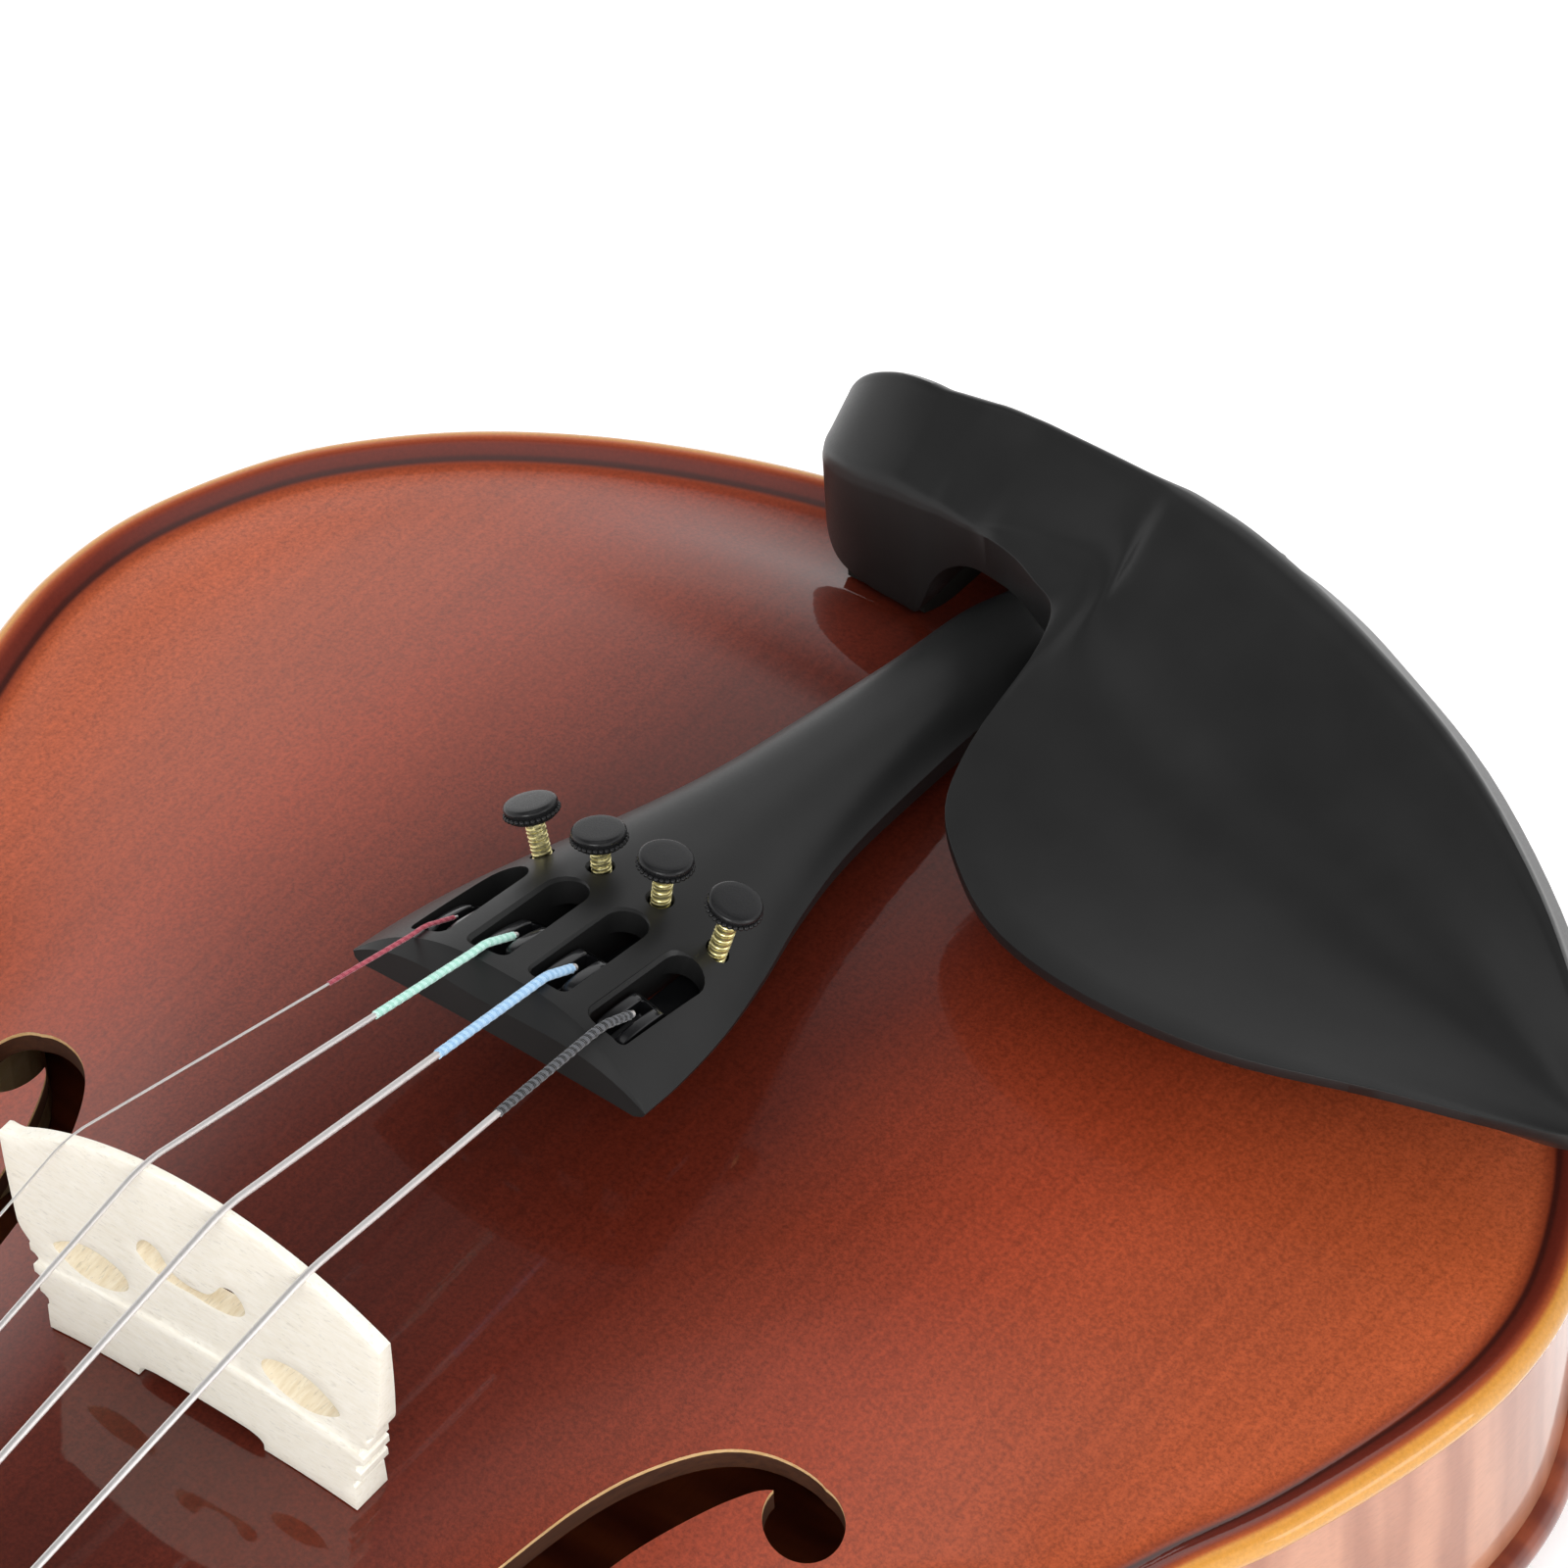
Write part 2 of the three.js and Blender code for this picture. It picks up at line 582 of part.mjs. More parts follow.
function cornerEnds() {
  const upperOuter = boutPoint(upperCornerShares, upperBoutWidth);
  const lowerOuter = boutPoint(lowerCornerShares, lowerBoutWidth);
  const upperStep = new THREE.Vector2(-Math.sin(upperCornerAngle), -Math.cos(upperCornerAngle));
  const lowerStep = new THREE.Vector2(-Math.sin(lowerCornerAngle), Math.cos(lowerCornerAngle));
  return {
    upperOuter,
    lowerOuter,
    upperInner: upperOuter.clone().addScaledVector(upperStep, cornerTipWidth),
    lowerInner: lowerOuter.clone().addScaledVector(lowerStep, cornerTipWidth),
  };
}

function mirroredThrough(points) {
  return points.slice(1).reverse().map((p) => new THREE.Vector2(-p.x, p.y)).concat(points);
}

// The treble half of the outline as its three curves, each from the upper end down.
function outlineCurves() {
  const ends = cornerEnds();
  const upper = upperBoutShares.map((share) => boutPoint(share, upperBoutWidth)).concat([ends.upperOuter]);
  const lower = [ends.lowerOuter].concat(lowerBoutShares.map((share) => boutPoint(share, lowerBoutWidth)));
  const waist = waistShares.map(([flare, down]) => {
    const end = down < flareChangeShare ? ends.upperInner : ends.lowerInner;
    const y = lerp(ends.upperInner.y, ends.lowerInner.y, down);
    return new THREE.Vector2(lerp(waistWidth / 2, end.x, flare), y);
  });
  const upperWhole = smooth(mirroredThrough(upper), upperBoutSteps * 2);
  const lowerMirrored = mirroredThrough(lower.slice().reverse()).reverse();
  const lowerWhole = smooth(lowerMirrored, lowerBoutSteps * 2);
  return [
    upperWhole.slice(upperBoutSteps),
    smooth([ends.upperInner, ...waist, ends.lowerInner], waistSteps),
    lowerWhole.slice(0, lowerBoutSteps + 1),
  ];
}

const outline = outlineCurves();
outline[0][0].x = 0;
outline[2][outline[2].length - 1].x = 0;

function insetLine(points, distance) {
  return points.map((point, i) => {
    const before = points[Math.max(i - 1, 0)];
    const after = points[Math.min(i + 1, points.length - 1)];
    const along = new THREE.Vector2().subVectors(after, before).normalize();
    if (point.x === 0) along.set(point.y > bodyMiddle ? 1 : -1, 0);
    return new THREE.Vector2(point.x + along.y * distance, point.y - along.x * distance);
  });
}

function crossing(a, b, c, d) {
  const r = new THREE.Vector2().subVectors(b, a);
  const s = new THREE.Vector2().subVectors(d, c);
  const denominator = r.x * s.y - r.y * s.x;
  if (denominator === 0) return null;
  const gap = new THREE.Vector2().subVectors(c, a);
  const t = (gap.x * s.y - gap.y * s.x) / denominator;
  const u = (gap.x * r.y - gap.y * r.x) / denominator;
  return t >= 0 && t <= 1 && u >= 0 && u <= 1 ? a.clone().addScaledVector(r, t) : null;
}

// The end of one line and the start of the next are cut back to where the two meet,
// or by the inset where they don't. Points past the cut move onto it, so counts stay the same.
function meet(first, second, distance) {
  const tip = first[first.length - 1].clone();
  for (let i = first.length - 2; i >= 0; i -= 1) {
    for (let j = 0; j + 1 < second.length; j += 1) {
      const point = crossing(first[i], first[i + 1], second[j], second[j + 1]);
      if (point && point.distanceTo(tip) > distance / 2) {
        for (let k = i + 1; k < first.length; k += 1) first[k] = point.clone();
        for (let k = 0; k <= j; k += 1) second[k] = point.clone();
        return;
      }
    }
  }
  cutBack(first, distance, true);
  cutBack(second, distance, false);
}

function cutBack(line, distance, atEnd) {
  const order = line.map((point, i) => (atEnd ? line.length - 1 - i : i));
  let left = distance;
  for (let i = 0; i + 1 < order.length; i += 1) {
    const here = line[order[i]];
    const next = line[order[i + 1]];
    const step = here.distanceTo(next);
    if (step > left) {
      const cut = here.clone().lerp(next, left / step);
      for (let k = 0; k <= i; k += 1) line[order[k]] = cut.clone();
      return;
    }
    left -= step;
  }
}

function insetCurves(distance) {
  if (distance === 0) return outline.map((line) => line.map((p) => p.clone()));
  const lines = outline.map((line) => insetLine(line, distance));
  meet(lines[0], lines[1], distance);
  meet(lines[1], lines[2], distance);
  return lines;
}

function fullRing(half) {
  const bass = half.slice(1, -1).reverse().map((p) => new THREE.Vector2(-p.x, p.y));
  return half.concat(bass);
}

function insetRing(distance) {
  return fullRing(insetCurves(distance).flat());
}

function withoutRepeats(points) {
  return points.filter((p, i) => p.distanceTo(points[(i + 1) % points.length]) > mergeTolerance);
}

// Arched plates: heights are measured outwards from the ribs' edge.

function crossArch(share) {
  return (1 + Math.cos(Math.PI * share ** crossArchPower)) / 2;
}

function archHeight(share, spineY, crest) {
  const shoulder = edgeThickness - channelDepth + shoulderRise;
  const reach = (bodyLength * spineShare) / 2;
  const long = 1 - longArchDropShare * Math.abs((spineY - bodyMiddle) / reach) ** longArchPower;
  return shoulder + (crest * long - shoulder) * crossArch(share);
}

function plateSolid({ joint, outwards, crest, limit }) {
  const edge = insetRing(0);
  const shoulderRing = insetRing(shoulderInset);
  const between = (share) => edge.map((p, i) => p.clone().lerp(shoulderRing[i], share));
  const spineOf = (p) => bodyMiddle + (p.y - bodyMiddle) * spineShare;
  const archRing = (share, lift) => shoulderRing.map((p) => {
    const scale = lerp(spineShare, 1, share);
    const height = Math.min(archHeight(share, spineOf(p), crest), limit) + lift;
    return vec(p.x * share, bodyMiddle + (p.y - bodyMiddle) * scale, joint + outwards * height);
  });
  const flat = (ring, height) => ring.map((p) => vec(p.x, p.y, joint + outwards * height));
  const outer = [
    flat(edge, edgeThickness),
    flat(between(channelInset / shoulderInset), edgeThickness - channelDepth),
    archRing(1, 0),
    ...outerRingShares.map((share) => archRing(share, 0)),
  ];
  const inner = [
    flat(edge, 0),
    flat(between(platformShare), 0),
    ...innerRingShares.map((share) => archRing(share, -plateThickness)),
  ];
  const rings = [...inner.slice().reverse(), ...outer];
  return shellOf(rings);
}

// A closed skin through rings whose first and last have shrunk to a line.
function shellOf(rings) {
  const count = rings[0].length;
  const points = rings.flat().flatMap((p) => [p.x, p.y, p.z]);
  const faces = [];
  for (let ring = 0; ring + 1 < rings.length; ring += 1) {
    for (let i = 0; i < count; i += 1) {
      const j = (i + 1) % count;
      const [a, b, c, d] = [ring * count + i, ring * count + j, (ring + 1) * count + j, (ring + 1) * count + i];
      faces.push(a, b, c, a, c, d);
    }
  }
  const geometry = new THREE.BufferGeometry();
  geometry.setAttribute("position", new THREE.Float32BufferAttribute(points, 3));
  geometry.setIndex(faces);
  return solidFrom(geometry);
}

function ribbon(points, halfWidths) {
  const left = [];
  const right = [];
  points.forEach((point, i) => {
    const before = points[Math.max(i - 1, 0)];
    const after = points[Math.min(i + 1, points.length - 1)];
    const along = new THREE.Vector2().subVectors(after, before).normalize();
    const out = new THREE.Vector2(along.y, -along.x);
    left.push(point.clone().addScaledVector(out, halfWidths[i]));
    right.push(point.clone().addScaledVector(out, -halfWidths[i]));
  });
  return left.concat(right.reverse());
}

function circle(x, y, radius, sides) {
  const points = [];
  for (let i = 0; i < sides; i += 1) {
    const angle = (i / sides) * Math.PI * 2;
    points.push(new THREE.Vector2(x + Math.cos(angle) * radius, y + Math.sin(angle) * radius));
  }
  return points;
}

function soundHoleCutter(side) {
  const low = bellyJoint - cutOverrun;
  const high = bellyCrest + cutOverrun;
  const stem = stemShares.map(([across, along]) => new THREE.Vector2(
    side * lerp(upperEyeX, lowerEyeX, across), lerp(upperEyeY, lowerEyeY, along),
  ));
  const widths = stemShares.map(([, , width]) => width * stemHalfWidth);
  return prismUp(ribbon(stem, widths), low, high)
    .add(prismUp(circle(side * upperEyeX, upperEyeY, upperEyeRadius, 14), low, high))
    .add(prismUp(circle(side * lowerEyeX, lowerEyeY, lowerEyeRadius, 16), low, high));
}

// Neck: heights of the fingerboard's surface and underside along Y

function boardHalfWidth(y) {
  return lerp(boardNutWidth, boardEndWidth, (nutY - y) / boardLength) / 2;
}

function crownDrop(x, radius) {
  return radius - Math.sqrt(radius * radius - x * x);
}

function boardUnderAtHeel() {
  return bellyEdge + overstand;
}

function boardTop(y) {
  const half = boardHalfWidth(upperEnd);
  const atHeel = boardUnderAtHeel() + boardEdgeThickness + crownDrop(half, boardRadius);
  const atBridge = bellyCrest + boardProjection;
  return lerp(atBridge, atHeel, y / upperEnd);
}

function boardUnder(y) {
  const thickness = (at) => boardEdgeThickness + crownDrop(boardHalfWidth(at), boardRadius);
  const atNut = boardTop(nutY) - thickness(nutY);
  const atHeel = boardUnderAtHeel();
  return lerp(atHeel, atNut, (y - upperEnd) / neckLength);
}

function neckSection(y, topHalf, bottomHalf, depth) {
  const top = boardUnder(y) - seatGap;
  const ring = [];
  for (let i = 0; i <= neckSectionSteps; i += 1) {
    const angle = (Math.PI * i) / neckSectionSteps;
    const across = Math.sign(Math.cos(angle)) * Math.abs(Math.cos(angle)) ** neckSidePower;
    const down = Math.abs(Math.sin(angle)) ** neckBackPower;
    ring.push(vec(across * lerp(topHalf, bottomHalf, down), y, top - depth * down));
  }
  return ring;
}

function neckShaft(clearance) {
  const rootDepth = boardUnderAtHeel() - backJoint + cutOverrun;
  const bottomHalf = buttonWidth / 2;
  const root = [upperEnd - mortiseDepth - clearance, upperEnd];
  const rings = root.map((y) => neckSection(
    y, boardHalfWidth(upperEnd) + clearance, bottomHalf + clearance, rootDepth,
  ));
  neckShares.forEach(([along, heel]) => {
    const y = upperEnd + along * neckLength;
    const half = boardHalfWidth(y) + clearance;
    rings.push(neckSection(y, half, lerp(half, bottomHalf, heel), lerp(neckDepth, rootDepth, heel)));
  });
  rings.push(neckSection(nutY, boardNutWidth / 2, boardNutWidth / 2, neckDepth));
  return loft(rings);
}

function pegboxAt(share) {
  let i = 0;
  while (i + 2 < pegboxDepthShares.length && pegboxDepthShares[i + 1][0] < share) i += 1;
  const [a, b] = [pegboxDepthShares[i], pegboxDepthShares[i + 1]];
  const t = (share - a[0]) / (b[0] - a[0]);
  const y = nutY + share * pegboxLength;
  return {
    y,
    half: lerp(pegboxHalfWidth, throatHalfWidth, share),
    top: boardUnder(y) + pegboxRise * lerp(a[1], b[1], t),
    bottom: boardUnder(y) - pegboxBackDepth * lerp(a[2], b[2], t),
  };
}

function pegboxSolid() {
  const rings = pegboxDepthShares.map(([share]) => {
    const { y, half, top, bottom } = pegboxAt(share);
    const round = cheekThickness;
    return [
      vec(-half, y, top), vec(half, y, top), vec(half, y, bottom + round),
      vec(half - round / 2, y, bottom + round / 4), vec(0, y, bottom),
      vec(-half + round / 2, y, bottom + round / 4), vec(-half, y, bottom + round),
    ];
  });
  return loft(rings);
}

function pegboxCavity() {
  const shares = [nutLength / pegboxLength + cavityMarginShare, ...cavityShares];
  const rings = shares.map((share) => {
    const { y, half, top, bottom } = pegboxAt(share);
    const inside = half - cheekThickness;
    const above = top + pegboxRise + cutOverrun;
    const floor = Math.min(bottom + pegboxFloor, top - pegboxFloor);
    return [vec(-inside, y, above), vec(inside, y, above), vec(inside, y, floor), vec(-inside, y, floor)];
  });
  return loft(rings);
}

function scrollPoint(quarter) {
  const i = Math.min(Math.floor(quarter), scrollRadiusShares.length - 2);
  const radius = scrollRadius * lerp(scrollRadiusShares[i], scrollRadiusShares[i + 1], quarter - i);
  const angle = quarter * quarterTurn;
  const y = nutY + scrollLength - scrollRadius * scrollRadiusShares[1];
  const z = boardUnder(y) - scrollEyeDepth;
  return new THREE.Vector2(y + Math.sin(angle) * radius, z - Math.cos(angle) * radius);
}

function scrollTurn(fromQuarter, toQuarter, half) {
  const points = [];
  const steps = (toQuarter - fromQuarter) * scrollStepsPerQuarter;
  for (let i = 0; i <= steps; i += 1) points.push(scrollPoint(fromQuarter + i / scrollStepsPerQuarter));
  return prismAcross(points, -half, half);
}

function scrollSolid() {
  const [first, second, third, eye] = scrollHalfWidths;
  const middle = scrollPoint(scrollRadiusShares.length - 1);
  const eyeCentre = middle.clone().setX(nutY + scrollLength - scrollRadius * scrollRadiusShares[1]);
  eyeCentre.y = boardUnder(eyeCentre.x) - scrollEyeDepth;
  return scrollTurn(0, 3, first)
    .add(scrollTurn(3, 7, second))
    .add(scrollTurn(7, 11, third))
    .add(prismAcross(circle(eyeCentre.x, eyeCentre.y, scrollEyeRadius, 12), -eye, eye));
}

// The throat fills the space between the pegbox's end and the outer turn of the scroll.
function throatSolid() {
  const end = pegboxAt(1);
  const near = pegboxAt(throatStartShare);
  const low = scrollPoint(0);
  const mid = scrollPoint(3);
  const points = [
    new THREE.Vector2(near.y, near.top - pegboxRise), new THREE.Vector2(near.y, near.bottom + cheekThickness),
    new THREE.Vector2(end.y, end.bottom + seatGap), low, scrollPoint(1), scrollPoint(throatQuarter), mid,
    new THREE.Vector2(end.y, end.top),
  ];
  return prismAcross(points, -scrollHalfWidths[0], scrollHalfWidths[0]);
}

// Pegs lie along X; a peg's own frame has its head towards +X.
function pegFrame(string) {
  const { y, top, bottom, half } = pegboxAt(string.pegShare);
  const side = string.orderShare > 0 ? 1 : -1;
  return { y, z: (top + bottom) / 2, half, side };
}

function pegMatrix(frame) {
  const turn = frame.side > 0 ? 0 : Math.PI;
  return new THREE.Matrix4().makeRotationZ(turn).setPosition(0, frame.y, frame.z);
}

function pegRadiusAt(along, half) {
  return lerp(pegTipRadius, pegHeadRadius, (along + half) / (2 * half));
}

function pegSolid(half) {
  const tip = -half - pegTipOverhang;
  const collar = half + pegCollarGap;
  const stem = collar + pegStemLength;
  const [start, end, runOut] = pegCollarShares.map((share) => collar + share * pegCollarGap);
  const shaft = turned([
    [0, tip], [pegRadiusAt(tip, half), tip], [pegRadiusAt(collar, half), collar],
    [pegCollarRadius, start], [pegCollarRadius, end], [pegStemRadius, runOut], [pegStemRadius, stem], [0, stem],
  ], pegShaftSides, "x");
  const thumb = new THREE.SphereGeometry(pegThumbWidth / 2, 14, 8);
  thumb.scale(pegThumbLength / pegThumbWidth, pegThumbThickness / pegThumbWidth, 1);
  thumb.translate(stem + pegThumbLength * pegThumbSetShare, 0, 0);
  return shaft.add(solidFrom(thumb));
}

function pegHoleCutter(half) {
  const grow = (radius) => (radius + runningGap) / Math.cos(Math.PI / pegShaftSides);
  const low = -half - cutOverrun;
  const high = half + cutOverrun;
  const profile = [
    [0, low], [grow(pegRadiusAt(low, half)), low], [grow(pegRadiusAt(high, half)), high], [0, high],
  ];
  return turned(profile, pegShaftSides, "x");
}

// Bridge

function bridgeCrown(x) {
  return bridgeHeight - crownDrop(x, bridgeCrownRadius) - bridgeCrownTiltShare * x;
}

function bridgeOutline() {
  const side = [];
  const lowHalf = bridgeHalfWidth;
  side.push([lowHalf, -bridgeFootSink], [lowHalf, bridgeFootHeight]);
  for (let i = 0; i < bridgeStepCount; i += 1) {
    const z = bridgeFootHeight + i * bridgeStepPitch;
    const x = lowHalf + i * bridgeStepDepth * bridgeStepLeanShare;
    bridgeStepShares.forEach(([out, up]) => side.push([x + out * bridgeStepDepth, z + up * bridgeStepPitch]));
  }
  side.push([bridgeTopHalfWidth, bridgeShoulderHeight]);
  const treble = side.map(([x, z]) => new THREE.Vector2(x, z));
  const bass = side.map(([x, z]) => new THREE.Vector2(-x, z)).reverse();
  const crown = [];
  const reach = bridgeTopHalfWidth - bridgeStepDepth;
  for (let i = 0; i <= bridgeCurveSteps; i += 1) {
    const x = lerp(reach, -reach, i / bridgeCurveSteps);
    crown.push(new THREE.Vector2(x, Math.max(bridgeCrown(x), bridgeShoulderHeight)));
  }
  const footInner = bridgeHalfWidth - bridgeFootLength;
  const arch = [new THREE.Vector2(-footInner, -bridgeFootSink)];
  bridgeFootArchShares.forEach(([inwards, up]) => arch.push(
    new THREE.Vector2(-footInner + inwards * bridgeFootHeight, up * bridgeFootHeight),
  ));
  const archOther = arch.map((p) => new THREE.Vector2(-p.x, p.y)).reverse();
  return [...treble, ...crown, ...bass, ...arch, ...archOther];
}

function bridgeHoles() {
  const heartShares = [
    [1, 0.45], [0.93, 0.86], [0.72, 1], [0.45, 0.86], [0.2, 0.62], [0, 0.54], [-0.2, 0.62], [-0.45, 0.86],
    [-0.72, 1], [-0.93, 0.86], [-1, 0.45], [-0.72, 0.1], [-0.3, 0], [0.3, 0], [0.72, 0.1],
  ];
  const heart = heartShares.map(([x, z]) => new THREE.Vector2(x * heartHalfWidth, heartBase + z * heartHeight));
  const kidney = (side) => circle(0, 0, kidneyHalfWidth, 14).map((p) => new THREE.Vector2(
    side * kidneyX + p.x, kidneyZ + p.y * (kidneyHalfHeight / kidneyHalfWidth),
  ));
  return [heart, kidney(1), kidney(-1)];
}

function bridgeSolid() {
  const points = bridgeOutline();
  const shape = shapeOf(points);
  shape.holes = bridgeHoles().map((hole) => new THREE.Path(hole));
  const geometry = extrude(shape, bridgeFootThickness).rotateX(quarterTurn).translate(0, bridgeFootThickness / 2, 0);
  const place = geometry.attributes.position;
  for (let i = 0; i < place.count; i += 1) {
    const height = place.getZ(i);
    const thin = lerp(1, bridgeTopThickness / bridgeFootThickness, Math.max(height, 0) / bridgeHeight);
    place.setY(i, place.getY(i) * thin);
    place.setZ(i, bellyCrest + height);
  }
  return solidFrom(geometry);
}

// Tailpiece: s runs from the ridge to the tail along its sloping surface

function tailpoint(s, h) {
  return {
    y: tailpieceRidgeY - s * Math.cos(tailSlopeAngle) - h * Math.sin(tailSlopeAngle),
    z: tailpieceRidgeZ - s * Math.sin(tailSlopeAngle) + h * Math.cos(tailSlopeAngle),
  };
}

function tailpieceDrop(x, half, crown) {
  return crown * Math.min(Math.abs(x) / half, 1) ** tailpieceCrownPower;
}

function tailpieceSection(s, half, crown, depth) {
  const ring = [];
  for (let i = 0; i <= tailpieceSectionSteps; i += 1) {
    const x = lerp(half, -half, i / tailpieceSectionSteps);
    const { y, z } = tailpoint(s, -tailpieceDrop(x, half, crown));
    ring.push(vec(x, y, z));
  }
  tailpieceUnderShares.forEach((share) => {
    const { y, z } = tailpoint(s, tailpieceUnderside(share, depth, s));
    ring.push(vec(share * half, y, z));
  });
  return ring;
}

function tailpieceUnderside(share, depth, s) {
  const hollow = tailpieceHollow * Math.max(1 - (2 * s) / tailpieceLength, 0);
  return hollow * (1 - share * share) - depth;
}

function tailpieceBlank() {
  const depth = tailpieceCrown + tailpieceUnderCrown;
  const rings = [
    tailpieceFront(depth),
    ...tailpieceShares.map(([along, wide, crown, deep]) => tailpieceSection(
      along * tailpieceLength, wide * tailpieceHalfWidth, crown * tailpieceCrown, deep * depth,
    )),
  ];
  return loft(rings);
}

// The face in front of the ridge: it drops and leans forward between the two corners.
function tailpieceFront(depth) {
  const half = tailpieceHalfWidth * tailpieceFrontShare;
  const ring = [];
  for (let i = 0; i <= tailpieceSectionSteps; i += 1) {
    const x = lerp(half, -half, i / tailpieceSectionSteps);
    const bulge = 1 - (x / half) ** 2;
    const fall = tailpieceDrop(x, half, tailpieceCrown) + bulge * tailpieceFrontDrop;
    const { y, z } = tailpoint(-bulge * tailpieceFrontReach - tailpieceRidgeEase, -fall);
    ring.push(vec(x, y, z));
  }
  tailpieceUnderShares.forEach((share) => {
    const bulge = 1 - share * share;
    const { y, z } = tailpoint(
      -bulge * tailpieceFrontReach - tailpieceRidgeEase, tailpieceUnderside(share, depth, 0),
    );
    ring.push(vec(share * half, y, z));
  });
  return ring;
}

// A tuner's frame: X across, Y to the tail along the surface, Z out of the surface.
function surfaceMatrix(x, s, h, lean) {
  const { y, z } = tailpoint(s, h);
  const along = vec(0, -Math.cos(tailSlopeAngle), -Math.sin(tailSlopeAngle));
  const upright = vec(0, -Math.sin(tailSlopeAngle), Math.cos(tailSlopeAngle));
  const out = upright.multiplyScalar(Math.cos(lean)).add(vec(Math.sin(lean), 0, 0));
  const across = new THREE.Vector3().crossVectors(along, out);
  return new THREE.Matrix4().makeBasis(across, along, out).setPosition(x, y, z);
}

function tunerMatrix(string) {
  const x = string.orderShare * tunerSpacing;
  const drop = tailpieceDrop(x, tailpieceHalfWidth, tailpieceCrown);
  return surfaceMatrix(x, 0, -drop, x / tunerFanRadius + tunerLeanAngle);
}

function stadium(low, high, half) {
  const points = [];
  for (let i = 0; i <= slotEndSteps; i += 1) {
    const angle = (Math.PI * i) / slotEndSteps;
    points.push(new THREE.Vector2(half * Math.cos(angle), high - half + half * Math.sin(angle)));
  }
  points.push(new THREE.Vector2(-half, low), new THREE.Vector2(half, low));
  return points;
}

function tunerCutter() {
  const deep = -tailpieceCrown - tailpieceUnderCrown - cutOverrun * 2;
  const slot = prismUp(stadium(slotStart, slotStart + slotLength, slotWidth / 2), deep, cutOverrun * 2);
  const low = vec(-pocketWidth / 2, slotStart, deep);
  const pocket = box(low, vec(pocketWidth / 2, pocketEnd, -tailpieceSkin));
  const hole = circle(0, screwAt, (screwRadius + runningGap) / Math.cos(Math.PI / screwSides), screwSides);
  return slot.add(pocket).add(prismUp(hole, deep, cutOverrun * 2));
}

function capSolid() {
  const points = [];
  for (let i = 0; i < capSides; i += 1) {
    const angle = (i / capSides) * Math.PI * 2;
    const radius = capRadius - (i % 2) * capGrip;
    points.push(new THREE.Vector2(Math.cos(angle) * radius, Math.sin(angle) * radius));
  }
  const heights = [0, capBevel, capHeight - capBevel, capHeight];
  const scales = [capRadius - capBevel, capRadius, capRadius, capRadius - capBevel];
  return loft(heights.map((height, i) => points.map((p) => {
    const scale = scales[i] / capRadius;
    return vec(p.x * scale, p.y * scale, height);
  })));
}

function screwSolid() {
  const profile = [
    [0, -screwLength], [screwTipRadius, -screwLength], [screwRadius, -screwLength + screwTipLength],
    [screwRadius, -seatGap], [0, -seatGap],
  ];
  return turned(profile, screwSides, "z");
}

// The lever lies level when its arm's top is at its rest depth; tilt lowers the arm.
function leverSolid() {
  const armTop = leverPivotDepth - leverArmRest;
  const armEnd = screwAt + screwRadius * 2 - leverPivotAt;
  const reach = leverHeadReach;
  const points = leverHeadShares.map(([y, z]) => new THREE.Vector2(y * reach, z * reach));
  points.push(new THREE.Vector2(reach * leverArmRootShare, armTop), new THREE.Vector2(armEnd, armTop));
  points.push(new THREE.Vector2(armEnd, armTop - leverArmThickness));
  leverUnderShares.forEach(([along, down]) => points.push(
    new THREE.Vector2(along * reach, armTop - down * leverArmThickness),
  ));
  const blank = prismAcross(points, -leverWidth / 2, leverWidth / 2);
  const low = vec(-leverNotchWidth / 2, -reach - cutOverrun, reach - leverNotchDepth);
  const high = vec(leverNotchWidth / 2, reach / 2, reach + cutOverrun);
  return blank.subtract(box(low, high));
}

function leverArmLength() {
  return screwAt - leverPivotAt;
}

function leverTilt(string) {
  const tip = screwLength - string.exposure + screwTipGap;
  return Math.atan((tip - leverArmRest) / leverArmLength());
}

// Chin rest

function chinRestSection(station) {
  const [at, frontShare, topShare, wallShare, dishShare, ridgeShare, crestShare, rearShare, underShare] = station;
  const x = (at * lowerBoutWidth) / 2;
  const [front, ridge, rear] = [frontShare, ridgeShare, rearShare].map((share) => lowerEnd + share * chinRestDepth);
  const [top, dish, crest, under] = [topShare, dishShare, crestShare, underShare].map(
    (share) => bellyEdge + share * chinRestHeight,
  );
  const wall = wallShare * chinRestHeight;
  const across = (share) => lerp(front, ridge, share);
  const inside = Math.min(dish - wall, top - wall + (dish - top) / 2);
  const lip = Math.max(wall - chinRestLip, chinRestLip * chinRestLeastLipShare);
  const [first, middle, last] = chinRestAcrossShares;
  const [low, high] = chinRestDishShares;
  const [underRear, underMiddle, underFront] = chinRestUnderShares;
  const behind = (share) => {
    const y = lerp(ridge, rear, share);
    return vec(x, y, Math.max(crest - chinRestFallShare * (ridge - y), under + chinRestLip * (2 - share)));
  };
  return [
    vec(x, front, top), vec(x, across(first), lerp(top, dish, low)), vec(x, across(middle), dish),
    vec(x, across(last), lerp(dish, crest, high)), vec(x, ridge, crest),
    ...chinRestBehindShares.map(behind),
    vec(x, rear, under), vec(x, lerp(rear, ridge, chinRestRearShare), under),
    vec(x, across(underRear), Math.max(under, inside - wall * chinRestHollowShare)),
    vec(x, across(underMiddle), inside), vec(x, across(underFront), inside), vec(x, front, top - lip),
  ];
}

function clampSites() {
  return [{ name: "bass", side: -1 }, { name: "treble", side: 1 }];
}

